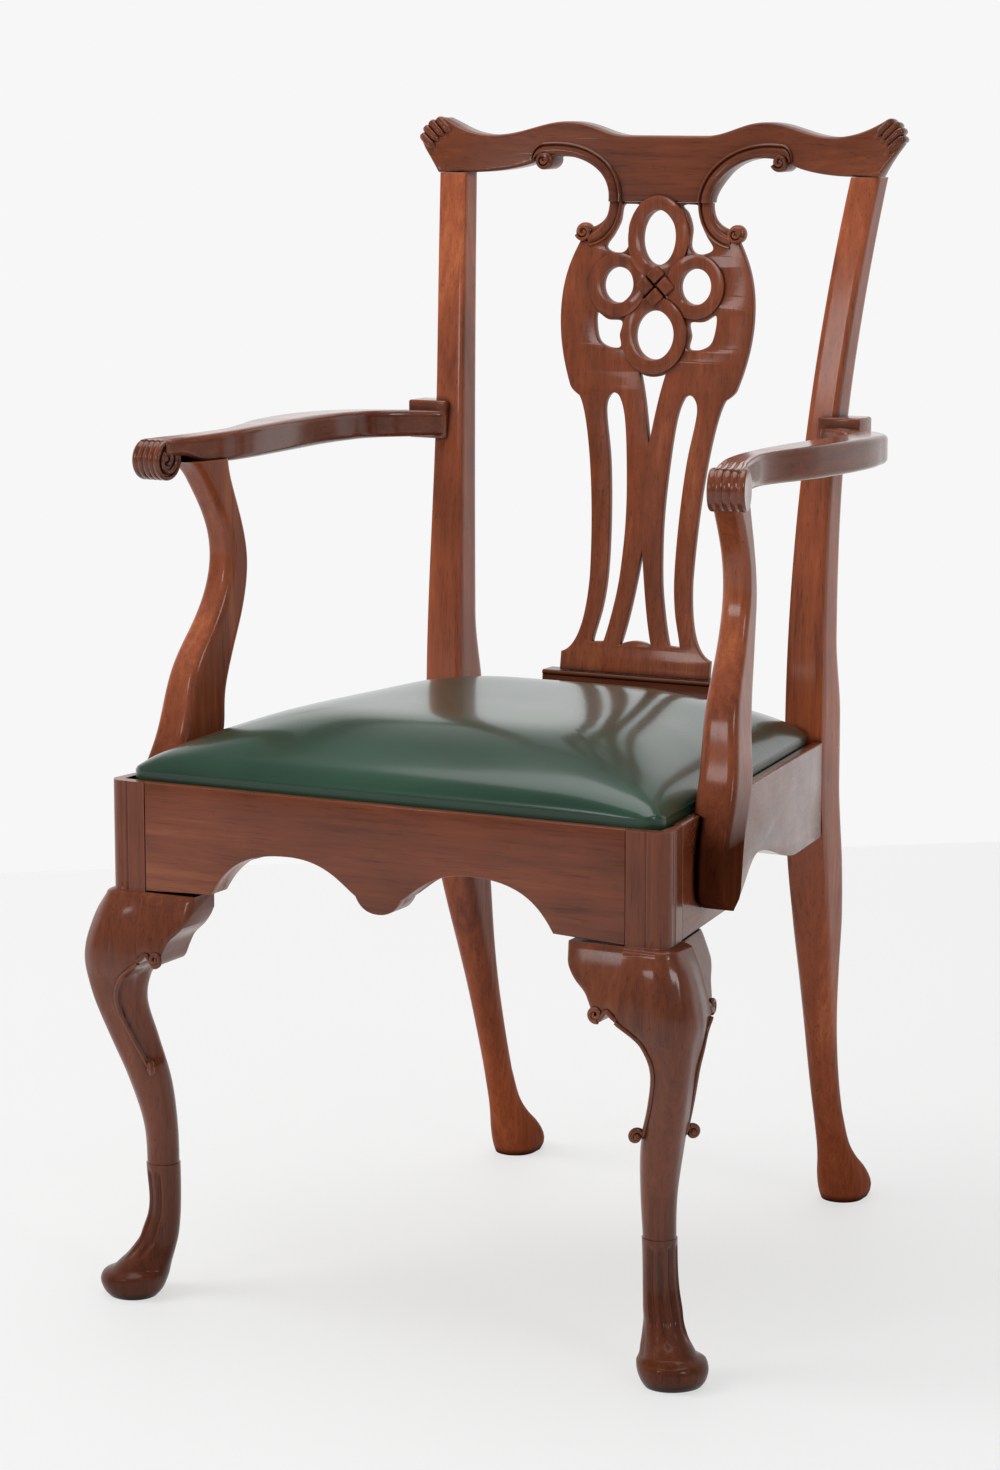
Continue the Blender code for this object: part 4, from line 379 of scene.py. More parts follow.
# Lamps: name, place, size, share of the key's power, target, and whether the polish shows it
LAMPS = (
    ("key", Vector((-2.68, -1.58, 3.0)), (2.5, 2.5), 1.08, AIM, False),
    ("front", Vector((-1.0, -3.1, 1.75)), (0.7, 0.7), 0.10, AIM, True),
    ("fill", Vector((2.9, -1.5, 2.2)), (0.9, 0.9), 0.20, AIM, True),
    ("top", Vector((-0.2, 0.3, 3.4)), (2.8, 2.8), 0.55, AIM, True),
    ("back", TOWARDS_BACK @ Vector((0.0, 2.9, 0.85)), (7.0, 1.7), 0.44, Vector((0.0, 0.0, 0.85)), False),
)


class WoodSettings(bpy.types.PropertyGroup):
    """Finish of the mahogany."""

    dark: bpy.props.FloatVectorProperty(
        name="Dark Figure", description="Colour of the darkest streaks", subtype="COLOR", size=3, min=0.0,
        max=1.0, default=(0.092, 0.0205, 0.009))
    middle: bpy.props.FloatVectorProperty(
        name="Body Colour", description="Main colour of the wood", subtype="COLOR", size=3, min=0.0,
        max=1.0, default=(0.225, 0.0545, 0.0205))
    light: bpy.props.FloatVectorProperty(
        name="Light Figure", description="Colour of the lightest streaks", subtype="COLOR", size=3, min=0.0,
        max=1.0, default=(0.365, 0.111, 0.041))
    roughness: bpy.props.FloatProperty(
        name="Roughness", description="Roughness of the polish", min=0.05, max=1.0, default=0.33)


class SeatSettings(bpy.types.PropertyGroup):
    """Size and finish of the drop-in seat."""

    crown: bpy.props.FloatProperty(
        name="Crown", description="Height of the seat's middle above its rails", unit="LENGTH", min=0.01,
        max=0.08, default=0.050)
    leather: bpy.props.FloatVectorProperty(
        name="Leather Colour", description="Main colour of the leather", subtype="COLOR", size=3, min=0.0,
        max=1.0, default=(0.013, 0.046, 0.026))


class StageSettings(bpy.types.PropertyGroup):
    """Floor and light."""

    floor: bpy.props.FloatVectorProperty(
        name="Floor Colour", description="Colour of the floor and backdrop", subtype="COLOR", size=3, min=0.0,
        max=1.0, default=(0.86, 0.86, 0.86))
    key: bpy.props.FloatProperty(
        name="Key Light", description="Power of the main soft light", unit="POWER", min=0.0, default=80.0)
    world: bpy.props.FloatProperty(
        name="Room Light", description="Strength of the even light of the room", min=0.0, default=0.30)
    glow: bpy.props.FloatProperty(
        name="Floor White", description="Brightness that the floor keeps in its shadows", min=0.0,
        default=0.90)
    wall: bpy.props.FloatProperty(
        name="Wall", description="Brightness of the wall behind the chair", min=0.0, default=0.93)


def side_x(y):
    """Outer face of the side rail at a depth."""
    return HALF_FRONT - SIDE_SLOPE * y


def smooth(points, at):
    """Value at a place on a smooth curve through (place, value) points."""
    if at <= points[0][0]:
        return points[0][1]
    if at >= points[-1][0]:
        return points[-1][1]
    count = len(points)
    i = 0
    while at > points[i + 1][0]:
        i += 1
    slopes = []
    for k in (i, i + 1):
        low, high = points[max(k - 1, 0)], points[min(k + 1, count - 1)]
        slopes.append((high[1] - low[1]) / (high[0] - low[0]))
    (a, value_a), (b, value_b) = points[i], points[i + 1]
    span = b - a
    t = (at - a) / span
    return ((2 * t ** 3 - 3 * t ** 2 + 1) * value_a + (t ** 3 - 2 * t ** 2 + t) * span * slopes[0]
            + (3 * t ** 2 - 2 * t ** 3) * value_b + (t ** 3 - t ** 2) * span * slopes[1])


def ease(low, high, at):
    """Smooth step from 0 at low to 1 at high."""
    t = min(max((at - low) / (high - low), 0.0), 1.0)
    return t * t * (3 - 2 * t)


def bezier(a, b, c, d, steps=20):
    """Points of a cubic curve after its first point."""
    points = []
    for i in range(1, steps + 1):
        t = i / steps
        s = 1 - t
        points.append(tuple(s ** 3 * a[k] + 3 * s * s * t * b[k] + 3 * s * t * t * c[k] + t ** 3 * d[k]
                            for k in range(2)))
    return points


def arc(centre, radius, start, end, steps=20):
    """Points on a round arc, angles in degrees, both ends included."""
    turns = [math.radians(start + (end - start) * i / steps) for i in range(steps + 1)]
    return [(centre[0] + radius * math.cos(turn), centre[1] + radius * math.sin(turn)) for turn in turns]


def rounded_outline(points, steps=8):
    """Closed smooth outline through a ring of points."""
    count = len(points)
    ring = []
    for i in range(count):
        a, b, c, d = (points[(i + k - 1) % count] for k in range(4))
        for step in range(steps):
            t = step / steps
            ring.append(tuple(
                0.5 * (2 * b[k] + (c[k] - a[k]) * t + (2 * a[k] - 5 * b[k] + 4 * c[k] - d[k]) * t * t
                       + (3 * b[k] - a[k] - 3 * c[k] + d[k]) * t ** 3) for k in range(2)))
    return ring


def box_ring(x0, x1, y0, y1, radii, count):
    """Ring of points round a box. Radii are for the +x-y, +x+y, -x+y and -x-y corners."""
    centre_x, centre_y = (x0 + x1) / 2, (y0 + y1) / 2
    half_x, half_y = (x1 - x0) / 2, (y1 - y0) / 2
    ring = []
    for i in range(count):
        turn = 2 * math.pi * i / count
        c, s = math.cos(turn), math.sin(turn)
        reach = max(abs(c), abs(s))
        x, y = half_x * c / reach, half_y * s / reach
        if x >= 0:
            radius = radii[0] if y < 0 else radii[1]
        else:
            radius = radii[2] if y >= 0 else radii[3]
        radius = min(radius, half_x, half_y)
        corner_x, corner_y = half_x - radius, half_y - radius
        if radius > 0 and abs(x) > corner_x and abs(y) > corner_y:
            away = Vector((abs(x) - corner_x, abs(y) - corner_y)).normalized() * radius
            x = math.copysign(corner_x + away.x, x)
            y = math.copysign(corner_y + away.y, y)
        ring.append((centre_x + x, centre_y + y))
    return ring


def loft(rings, run_on=False):
    """Solid drawn out of one circle through a row of rings, capped or run on into its first ring."""
    shape = bmesh.new()
    place = shape.verts.layers.int.new("place")
    rows = list(rings) + ([rings[0]] if run_on else [])
    row = bmesh.ops.create_circle(shape, segments=len(rows[0]), radius=1.0)["verts"]
    for number, vert in enumerate(row):
        vert[place] = number
        vert.co = rows[0][number]
    first = edges = list({edge for vert in row for edge in vert.link_edges})
    for ring in rows[1:]:
        grown = bmesh.ops.extrude_edge_only(shape, edges=edges)["geom"]
        edges = [item for item in grown if isinstance(item, bmesh.types.BMEdge)]
        for item in grown:
            if isinstance(item, bmesh.types.BMVert):
                item.co = ring[item[place]]
    if run_on:
        bmesh.ops.remove_doubles(shape, verts=shape.verts[:], dist=TOUCH)
    else:
        bmesh.ops.edgeloop_fill(shape, edges=first)
        bmesh.ops.edgeloop_fill(shape, edges=edges)
    return shape


def tube(path, radii, sides=12):
    """Round bead along a path in space."""
    points = [Vector(point) for point in path]
    last = len(points) - 1
    along = (points[1] - points[0]).normalized()
    across = along.orthogonal().normalized()
    rings = []
    for i, point in enumerate(points):
        ahead = (points[min(i + 1, last)] - points[max(i - 1, 0)]).normalized()
        across = (across - ahead * across.dot(ahead)).normalized()
        other = ahead.cross(across)
        radius = radii if isinstance(radii, float) else radii[i]
        turns = [2 * math.pi * k / sides for k in range(sides)]
        rings.append([point + (across * math.cos(turn) + other * math.sin(turn)) * radius for turn in turns])
    return loft(rings)


def new_object(name, data):
    """Object that is linked to the scene."""
    item = bpy.data.objects.new(name, data)
    bpy.context.scene.collection.objects.link(item)
    return item


def evaluated(item):
    """Object with its modifiers worked out."""
    return item.evaluated_get(bpy.context.evaluated_depsgraph_get())


def add_shape(shape, other):
    """Put another bmesh into this one."""
    mesh = bpy.data.meshes.new("shape")
    bmesh.ops.recalc_face_normals(other, faces=other.faces[:])
    other.to_mesh(mesh)
    other.free()
    shape.from_mesh(mesh)
    bpy.data.meshes.remove(mesh)
    return shape


def mirrored(shape):
    """Left-hand copy of a right-hand shape."""
    twin = shape.copy()
    bmesh.ops.scale(twin, verts=twin.verts[:], vec=(-1.0, 1.0, 1.0))
    bmesh.ops.reverse_faces(twin, faces=twin.faces[:])
    return twin


def add_pair(shape, other):
    """Put a right-hand shape and its left-hand copy into this one."""
    twin = mirrored(other)
    add_shape(shape, other)
    return add_shape(shape, twin)


def board(outlines, thickness, edge):
    """Board cut to an outline on the XZ plane, with holes and eased arrises, its front face on y = 0."""
    curve = bpy.data.curves.new("board", "CURVE")
    curve.dimensions = "2D"
    curve.fill_mode = "BOTH"
    curve.extrude = thickness / 2 - edge
    curve.bevel_depth = edge
    curve.bevel_resolution = 2
    curve.offset = -edge
    for outline in outlines:
        spline = curve.splines.new("POLY")
        spline.points.add(len(outline) - 1)
        spline.use_cyclic_u = True
        for point, (x, z) in zip(spline.points, outline):
            point.co = (x, z, 0.0, 1.0)
    guide = new_object("board", curve)
    mesh = bpy.data.meshes.new_from_object(evaluated(guide))
    bpy.data.objects.remove(guide, do_unlink=True)
    bpy.data.curves.remove(curve)
    shape = bmesh.new()
    shape.from_mesh(mesh)
    bpy.data.meshes.remove(mesh)
    bmesh.ops.remove_doubles(shape, verts=shape.verts[:], dist=TOUCH)
    for vert in shape.verts:
        x, z, depth = vert.co
        vert.co = (x, thickness / 2 - depth, z)
    bmesh.ops.recalc_face_normals(shape, faces=shape.faces[:])
    return shape


def slice_across(shape, normal, places):
    """Add edge loops where planes across a direction meet the shape."""
    for place in places:
        geometry = shape.verts[:] + shape.edges[:] + shape.faces[:]
        bmesh.ops.bisect_plane(shape, geom=geometry, plane_co=Vector(normal) * place, plane_no=normal,
                               dist=TOUCH)


def spread(low, high, count):
    """Even places from one value to another, both ends included."""
    return [low + (high - low) * i / count for i in range(count + 1)]


def steps_between(low, high, size):
    """Even places between two values, ends left out."""
    return spread(low, high, max(int(round((high - low) / size)), 1))[1:-1]


def make_piece(name, shape, material, nodes, body=FRAME_BODY, angle=SHARP_ANGLE):
    """Turn a bmesh into a piece of the chair that stands for CAD nodes."""
    mesh = bpy.data.meshes.new(name)
    bmesh.ops.translate(shape, verts=shape.verts[:], vec=(0.0, FRONT_FACE, 0.0))
    bmesh.ops.recalc_face_normals(shape, faces=shape.faces[:])
    shape.to_mesh(mesh)
    shape.free()
    mesh.materials.append(material)
    mesh.shade_smooth()
    mesh.set_sharp_from_angle(angle=math.radians(angle))
    piece = new_object(name, mesh)
    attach(piece, body)
    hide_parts(*nodes)
    return piece


def make_both(name, shape, kind, node):
    """Right-hand and left-hand pieces from one right-hand shape."""
    twin = mirrored(shape)
    make_piece(name + "_right", shape, mahogany(kind, "right"), [node + "_right"])
    make_piece(name + "_left", twin, mahogany(kind, "left"), [node + "_left"])


class Nodes:
    """Short way to write a node tree."""

    def __init__(self, tree):
        self.tree = tree

    def add(self, kind, values=None, links=None, **settings):
        """Add a node with its settings, socket values and links."""
        node = self.tree.nodes.new(kind)
        for key, value in settings.items():
            setattr(node, key, value)
        for key, value in (values or {}).items():
            node.inputs[key].default_value = value
        for key, source in (links or {}).items():
            self.tree.links.new(source, node.inputs[key])
        return node

    def maths(self, operation, *terms):
        """Result of an operation on outputs and plain numbers."""
        node = self.add("ShaderNodeMath", operation=operation)
        for socket, term in zip(node.inputs, terms):
            if isinstance(term, float):
                socket.default_value = term
            else:
                self.tree.links.new(term, socket)
        return node.outputs[0]

    def fit(self, source, low, high, first, last):
        """Value between low and high, spread from first to last."""
        values = {"From Min": low, "From Max": high, "To Min": first, "To Max": last}
        return self.add("ShaderNodeMapRange", values, {"Value": source}).outputs["Result"]

    def join(self, share, first, second, end):
        """Mix two shaders by a share and send them to the tree's end."""
        mixed = self.add("ShaderNodeMixShader", None, {0: share, 1: first.outputs[0], 2: second.outputs[0]})
        self.tree.links.new(mixed.outputs[0], self.tree.nodes[end].inputs["Surface"])


class Finish(Nodes):
    """Nodes of a material."""

    def __init__(self, name):
        self.material = bpy.data.materials.new(name)
        self.material.use_nodes = True
        super().__init__(self.material.node_tree)
        self.shader = self.tree.nodes["Principled BSDF"]

    def place(self):
        """Coordinates of the piece."""
        return self.add("ShaderNodeTexCoord").outputs["Object"]

    def mapped(self, source, **values):
        """Coordinates that are turned, moved or stretched."""
        return self.add("ShaderNodeMapping", values, {"Vector": source}).outputs["Vector"]

    def noise(self, source, scale, detail, roughness=0.5, distortion=0.0):
        """Noise over coordinates."""
        values = {"Scale": scale, "Detail": detail, "Roughness": roughness, "Distortion": distortion}
        return self.add("ShaderNodeTexNoise", values, {"Vector": source}).outputs["Fac"]

    def times(self, colour, other):
        """Colour multiplied by another."""
        return self.add("ShaderNodeMix", {"Factor": 1.0}, {6: colour, 7: other}, data_type="RGBA",
                        blend_type="MULTIPLY").outputs[2]

    def ramp(self, source, stops):
        """Colour ramp over a value."""
        node = self.add("ShaderNodeValToRGB", links={"Fac": source})
        while len(node.color_ramp.elements) < len(stops):
            node.color_ramp.elements.new(0.5)
        for element, (place, colour) in zip(node.color_ramp.elements, stops):
            element.position = place
            element.color = (*colour, 1.0)
        return node.outputs["Color"]

    def feed(self, socket, source):
        """Link a node's output to the shader."""
        self.tree.links.new(source, self.shader.inputs[socket])

    def bump(self, source, strength, distance):
        """Fine relief of the surface."""
        node = self.add("ShaderNodeBump", {"Strength": strength, "Distance": distance}, {"Height": source})
        self.feed("Normal", node.outputs["Normal"])


def mahogany(kind, side=""):
    """Polished mahogany of a kind of piece, with dark wax and painted shade in its hollows and where pieces
    meet, and wear on its edges.
    """
    axis, tone, polish, low_darkening, seeds = WOODS[kind]
    seed = seeds[-1] if side == "left" else seeds[0]
    wood = bpy.context.scene.armchair_wood

    def shade(colour, more=1.0):
        return tuple(min(value * tone * more, 1.0) for value in colour)

    nodes = Finish(kind + "_wood" + ("_" + side if side else ""))
    place = nodes.place()
    turned = nodes.mapped(place, Rotation=GRAIN_TURNS[axis], Location=(seed, 0.37 * seed, 0.61 * seed))
    long = nodes.mapped(turned, Scale=(1.0, 1.0, 0.055))
    streak = nodes.noise(long, 210.0, 4.0, 0.6)
    blend = nodes.maths("MULTIPLY", streak, 0.30)
    blend = nodes.maths("MULTIPLY_ADD", nodes.noise(long, 24.0, 4.0, 0.55, 0.6), 0.40, blend)
    blend = nodes.maths("MULTIPLY_ADD", nodes.noise(turned, 9.0, 3.0), 0.30, blend)
    colour = nodes.ramp(blend, ((0.34, shade(wood.dark)), (0.45, shade(wood.middle, 0.80)),
                                (0.55, shade(wood.middle, 1.08)), (0.69, shade(wood.light))))
    pores = nodes.noise(nodes.mapped(turned, Scale=(1.0, 1.0, 0.035)), 900.0, 2.0)
    pores = nodes.fit(pores, 0.58, 0.72, 1.0, 0.60)
    colour = nodes.times(colour, pores)
    edge = nodes.add("ShaderNodeAmbientOcclusion", {"Distance": WEAR_REACH}, samples=6, inside=True,
                     only_local=True)
    worn = nodes.fit(edge.outputs["AO"], 0.45, 0.85, 0.32, 0.0)
    colour = nodes.add("ShaderNodeMix", {7: (*shade(wood.light, 1.15), 1.0)}, {"Factor": worn, 6: colour},
                       data_type="RGBA").outputs[2]
    # Dark wax and painted shade in hollows and where pieces come close
    hollow = nodes.add("ShaderNodeAmbientOcclusion", {"Distance": WAX_AND_SHADE_REACH}, samples=8).outputs["AO"]
    colour = nodes.times(colour, nodes.ramp(hollow, WAX_AND_SHADE_TONES))
    coat = WOOD_COAT + POLISH_COAT * polish
    nodes.shader.inputs["Coat Weight"].default_value = coat
    nodes.shader.inputs["Coat Roughness"].default_value = COAT_ROUGHNESS
    nodes.shader.inputs["Specular IOR Level"].default_value = WOOD_SPECULAR
    # Low ends darker and duller towards the floor; on the arm supports this is painted shade
    if low_darkening:
        low, high, low_tone, shine = low_darkening
        height = nodes.add("ShaderNodeSeparateXYZ", links={"Vector": place}).outputs["Z"]
        dull = nodes.fit(height, low, high, shine, 1.0)
        nodes.feed("Coat Weight", nodes.maths("MULTIPLY", dull, coat))
        nodes.feed("Specular IOR Level", nodes.maths("MULTIPLY", dull, WOOD_SPECULAR))
        colour = nodes.times(colour, nodes.fit(height, low, high, low_tone, 1.0))
    nodes.feed("Base Color", colour)
    base = wood.roughness - polish
    nodes.feed("Roughness", nodes.fit(nodes.noise(place, 34.0, 4.0), 0.3, 0.7, base - 0.07, base + 0.10))
    nodes.bump(nodes.maths("MULTIPLY_ADD", streak, 0.35, pores), 0.14, 0.0004)
    return nodes.material


def plain_wood(name, axis, light, dark):
    """Unpolished secondary wood."""
    nodes = Finish(name)
    turned = nodes.mapped(nodes.place(), Rotation=GRAIN_TURNS[axis])
    streak = nodes.noise(nodes.mapped(turned, Scale=(1.0, 1.0, 0.06)), 160.0, 5.0, 0.6)
    nodes.feed("Base Color", nodes.ramp(streak, ((0.35, dark), (0.65, light))))
    nodes.bump(streak, 0.3, 0.0005)
    nodes.shader.inputs["Roughness"].default_value = 0.62
    return nodes.material


def green_leather(name):
    """Smooth glossy upholstery leather with a fine grain."""
    colour = tuple(bpy.context.scene.armchair_seat.leather)
    nodes = Finish(name)
    place = nodes.place()
    warp = nodes.add("ShaderNodeTexNoise", {"Scale": 240.0, "Detail": 2.0}, {"Vector": place})
    bent = nodes.add("ShaderNodeMix", {"Factor": 0.004}, {4: place, 5: warp.outputs["Color"]},
                     data_type="VECTOR").outputs[1]
    cells = nodes.add("ShaderNodeTexVoronoi", {"Scale": 950.0}, {"Vector": bent}, feature="DISTANCE_TO_EDGE")
    nodes.bump(nodes.fit(cells.outputs["Distance"], 0.0, 0.22, 0.0, 1.0), 0.03, 0.0003)
    cloud = nodes.noise(place, 9.0, 1.0, 0.4)
    deep = tuple(value * 0.80 for value in colour)
    pale = tuple(min(value * 1.3, 1.0) for value in colour)
    nodes.feed("Base Color", nodes.ramp(cloud, ((0.32, deep), (0.52, colour), (0.72, pale))))
    nodes.feed("Roughness", nodes.fit(cloud, 0.3, 0.7, 0.25, 0.33))
    nodes.shader.inputs["Specular IOR Level"].default_value = 0.30
    nodes.shader.inputs["Coat Weight"].default_value = 0.70
    nodes.shader.inputs["Coat Roughness"].default_value = COAT_ROUGHNESS
    nodes.shader.inputs["Coat IOR"].default_value = 1.40
    return nodes.material


def jute_weave(name, light, dark, thread):
    """Plain jute weave with its threads along X and Y."""
    nodes = Finish(name)
    place = nodes.place()
    waves = {"Scale": 1.0 / thread / 20, "Distortion": 0.6, "Detail": 1.0}
    across, along = (nodes.add("ShaderNodeTexWave", waves, {"Vector": place}, bands_direction=way)
                     for way in ("X", "Y"))
    weave = nodes.maths("MULTIPLY", across.outputs["Fac"], along.outputs["Fac"])
    both = nodes.maths("MULTIPLY_ADD", nodes.noise(place, 700.0, 3.0), 0.6, weave)
    nodes.feed("Base Color", nodes.ramp(both, ((0.2, dark), (0.9, light))))
    nodes.bump(both, 0.6, 0.0006)
    nodes.shader.inputs["Roughness"].default_value = 0.92
    return nodes.material


def aged_steel(name):
    """Dull screw steel."""
    nodes = Finish(name)
    spots = nodes.noise(nodes.place(), 400.0, 4.0)
    nodes.feed("Base Color", nodes.ramp(spots, ((0.35, (0.16, 0.13, 0.11)), (0.6, (0.38, 0.36, 0.34)))))
    nodes.shader.inputs["Metallic"].default_value = 1.0
    nodes.shader.inputs["Roughness"].default_value = 0.45
    return nodes.material


def knee_bulge(z, side):
    """How far the knee stands out of the stump's front face (side -1) or outer face (side +1)."""
    rise = (RAIL_BOTTOM - z) / BRACKET_HEIGHT
    corner = ROOT2 * STUMP - (ROOT2 - 1) * STUMP_ROUND
    reach = smooth(((0.0, KNEE_STEP), (0.36, KNEE_TOP_OUT), (0.90, KNEE_OUT), (1.35, 0.85 * KNEE_OUT)), rise)
    return (corner + reach + (ROOT2 - 1) * STUMP_ROUND) / ROOT2 - STUMP + side * KNEE_TWIST * rise


def shoulder(z):
    """Share of the knee's swell at a height, rounded over just under the rail."""
    drop = min(max((RAIL_BOTTOM - z) / KNEE_ROUND, 0.0), 1.0)
    return math.sqrt(1 - (1 - drop) ** 2)


def leg_key_rings():
    """Rings of the leg at its measured heights, as (height, points)."""
    rows = []
    for share, toe, heel, shift, breadth in LEG_STATIONS:
        squareness = 1.0 - KNEE_SQUARE * ease(0.45, 1.0, share)
        half = (toe - heel) / (2 * ROOT2 - 2 * (ROOT2 - 1) * squareness)
        narrow = 2 * breadth / (toe - heel)
        ring = []
        for x, y in box_ring(-half, half, -half, half, [squareness * half] * 4, LEG_RING):
            along = (x - y) / ROOT2 + (toe + heel) / 2
            across = (x + y) / ROOT2 * narrow + shift
            ring.append((HALF_FRONT + (along + across) / ROOT2, (across - along) / ROOT2))
        rows.append((share * KNEE_END, ring))
    for share in KNEE_SHARES:
        z = RAIL_BOTTOM - BRACKET_HEIGHT * share
        radius = STUMP_ROUND + KNEE_CORNER * ease(0.0, 0.4, share)
        grow = (1 - 1 / ROOT2) * (radius - STUMP_ROUND)
        outer, front = HALF_FRONT + knee_bulge(z, 1.0), -knee_bulge(z, -1.0)
        ring = []
        for x, y in box_ring(STUMP_IN, outer + grow, front - grow, STUMP, (radius, 0.0, 0.0, 0.0), LEG_RING):
            if y < front:
                y = front + (y - front) * ease(STUMP_IN, STUMP_IN + KNEE_FAIR, x)
            if x > outer:
                x = outer + (x - outer) * ease(STUMP, STUMP - KNEE_FAIR, y)
            ring.append((x, y))
        rows.append((z, ring))
    return rows


def leg_axis(z):
    """Toe side, heel side, shift across and half breadth of the cabriole leg at a height."""
    return [smooth([(row[0] * KNEE_END, row[k]) for row in LEG_STATIONS], z) for k in range(1, 5)]


def leg_point(along, across, z):
    """Point of the right front leg from its diagonal coordinates."""
    return Vector((HALF_FRONT + (along + across) / ROOT2, (across - along) / ROOT2, z))


def bead_shift(z):
    """How far the knee's edge bead lies towards the toe, in places of the leg's ring."""
    return smooth(BEAD_SHIFTS, z)


def sock_carving(angle, z):
    """Rise of the sock, its flutes and the rim of the pad at an angle round the leg."""
    groove = 0.0
    for place in FLUTE_ANGLES:
        groove = max(groove, math.cos(math.radians(min(abs(angle - place) / FLUTE_HALF, 1.0) * 90.0)))
    fluted = ease(SOCK_FOOT, SOCK_FOOT + 0.012, z) * (1 - ease(SOCK_TOP - 0.010, SOCK_TOP - 0.003, z))
    round_toe = 1 - ease(95.0, 135.0, abs(angle))
    over_rim = ease(PAD_RIM - 0.0004, PAD_RIM + 0.0040, z) * (1 - ease(PAD_RIM + 0.006, 0.060, z))
    under_rim = ease(0.004, PAD_RIM - 0.005, z) * (1 - ease(PAD_RIM - 0.0006, PAD_RIM + 0.0016, z))
    return (SOCK_PROUD * ease(0.03, 0.06, z) - FLUTE_DEPTH * groove * fluted
            + (PAD_LIP * under_rim - PAD_HOLLOW * over_rim) * round_toe)


def carve_leg(point, z, number):
    """Sock, flutes, rim of the pad and knee ridge cut into a point of the leg's surface."""
    x, y = point
    along, across = ((x - HALF_FRONT) - y) / ROOT2, ((x - HALF_FRONT) + y) / ROOT2
    toe, heel, shift, breadth = leg_axis(z)
    middle = (toe + heel) / 2
    out = Vector((along - middle, across - shift))
    angle = math.degrees(math.atan2(out.y / max(breadth, 0.001), out.x / max(toe - middle, 0.001)))
    move = sock_carving(angle, z) if z < SOCK_TOP else 0.0
    on_knee = ease(0.20, 0.29, z) * (1 - ease(0.335, 0.36, z))
    move += RIDGE_RISE * math.exp(-(angle / RIDGE_ANGLE) ** 2) * on_knee
    for hand, column in SIDE_COLUMNS:
        behind = hand * (number - column + hand * bead_shift(z))
        behind = (behind + LEG_RING / 2) % LEG_RING - LEG_RING / 2
        sunk = ease(0.0, 1.6, behind) * (1 - ease(11.0, 20.0, behind))
        move -= BEAD_SINK * sunk * ease(VOLUTE_Z + 0.001, VOLUTE_Z + 0.008, z) * (1 - ease(0.288, 0.300, z))
    length = out.length
    if length > TOUCH:
        out *= (length + move) / length
    along, across = out.x + middle, out.y + shift
    return HALF_FRONT + (along + across) / ROOT2, (across - along) / ROOT2


def quirk(distance):
    """Depth of a fine groove beside the stump's corner at a distance from its middle."""
    return QUIRK_DEPTH * math.exp(-(distance / QUIRK_WIDTH) ** 2)


def stump_ring(z):
    """Square stump with a rounded corner between two quirks."""
    ring = []
    for x, y in box_ring(STUMP_IN, HALF_FRONT, 0.0, STUMP, (STUMP_ROUND, 0.0, 0.0, 0.0), LEG_RING):
        for inset in QUIRKS:
            if y < QUIRK_NEAR:
                y += quirk(x - (HALF_FRONT - STUMP_ROUND - inset))
        for inset in QUIRKS:
            if x > HALF_FRONT - QUIRK_NEAR:
                x -= quirk(y - (STUMP_ROUND + inset))
        share = (x - STUMP_IN) / STUMP
        ring.append((x - SIDE_SLOPE * y * share, y, z))
    return ring


def spiral(centre, side, up, radius, turns, start, steps=SPIRAL_STEPS):
    """Points of a flat spiral that winds in from a radius."""
    points = []
    for i in range(steps + 1):
        t = i / steps
        turn = math.radians(start) + 2 * math.pi * turns * t
        reach = radius * (1 - SPIRAL_WIND * t)
        away = Vector(side) * (reach * math.cos(turn)) + Vector(up) * (reach * math.sin(turn))
        points.append(Vector(centre) + away)
    return points


def tapered(count, first, loss, steps=SPIRAL_STEPS):
    """Radii of a bead that thins towards the eye of a spiral."""
    return [first - loss * i / steps for i in range(count)]


def leg_beads(place_at, hand, column):
    """Bead down one side edge of the knee that ends in a small curl; hand is -1 in front or +1 beside."""
    path = []
    outward = Vector((1.0, 1.0, 0.0)).normalized() * hand
    for z in spread(KNEE_END + 0.002, VOLUTE_Z, BEAD_STEPS):
        number = column - hand * bead_shift(z)
        low = math.floor(number)
        near, far = place_at(low % LEG_RING, z), place_at((low + 1) % LEG_RING, z)
        x, y = (near[k] + (far[k] - near[k]) * (number - low) for k in range(2))
        toe, heel, shift, _ = leg_axis(z)
        away = (Vector((x, y, z)) - leg_point((toe + heel) / 2, shift, z)).normalized()
        path.append(Vector((x, y, z)) + away * BEAD_PROUD)
    centre = path[-1] + outward * CURL_RADIUS + Vector((0.0, 0.0, CURL_LIFT))
    curl = spiral(centre, outward, UP, CURL_RADIUS, -1.4, 185.0)[2:]
    bead = tube(path + curl, [BEAD_RADIUS] * len(path) + tapered(len(curl), 0.0025, 0.0007), BEAD_SIDES)
    eye = bmesh.new()
    bmesh.ops.create_uvsphere(eye, u_segments=16, v_segments=10, radius=CURL_EYE,
                              matrix=Matrix.Translation(centre))
    return add_shape(bead, eye)


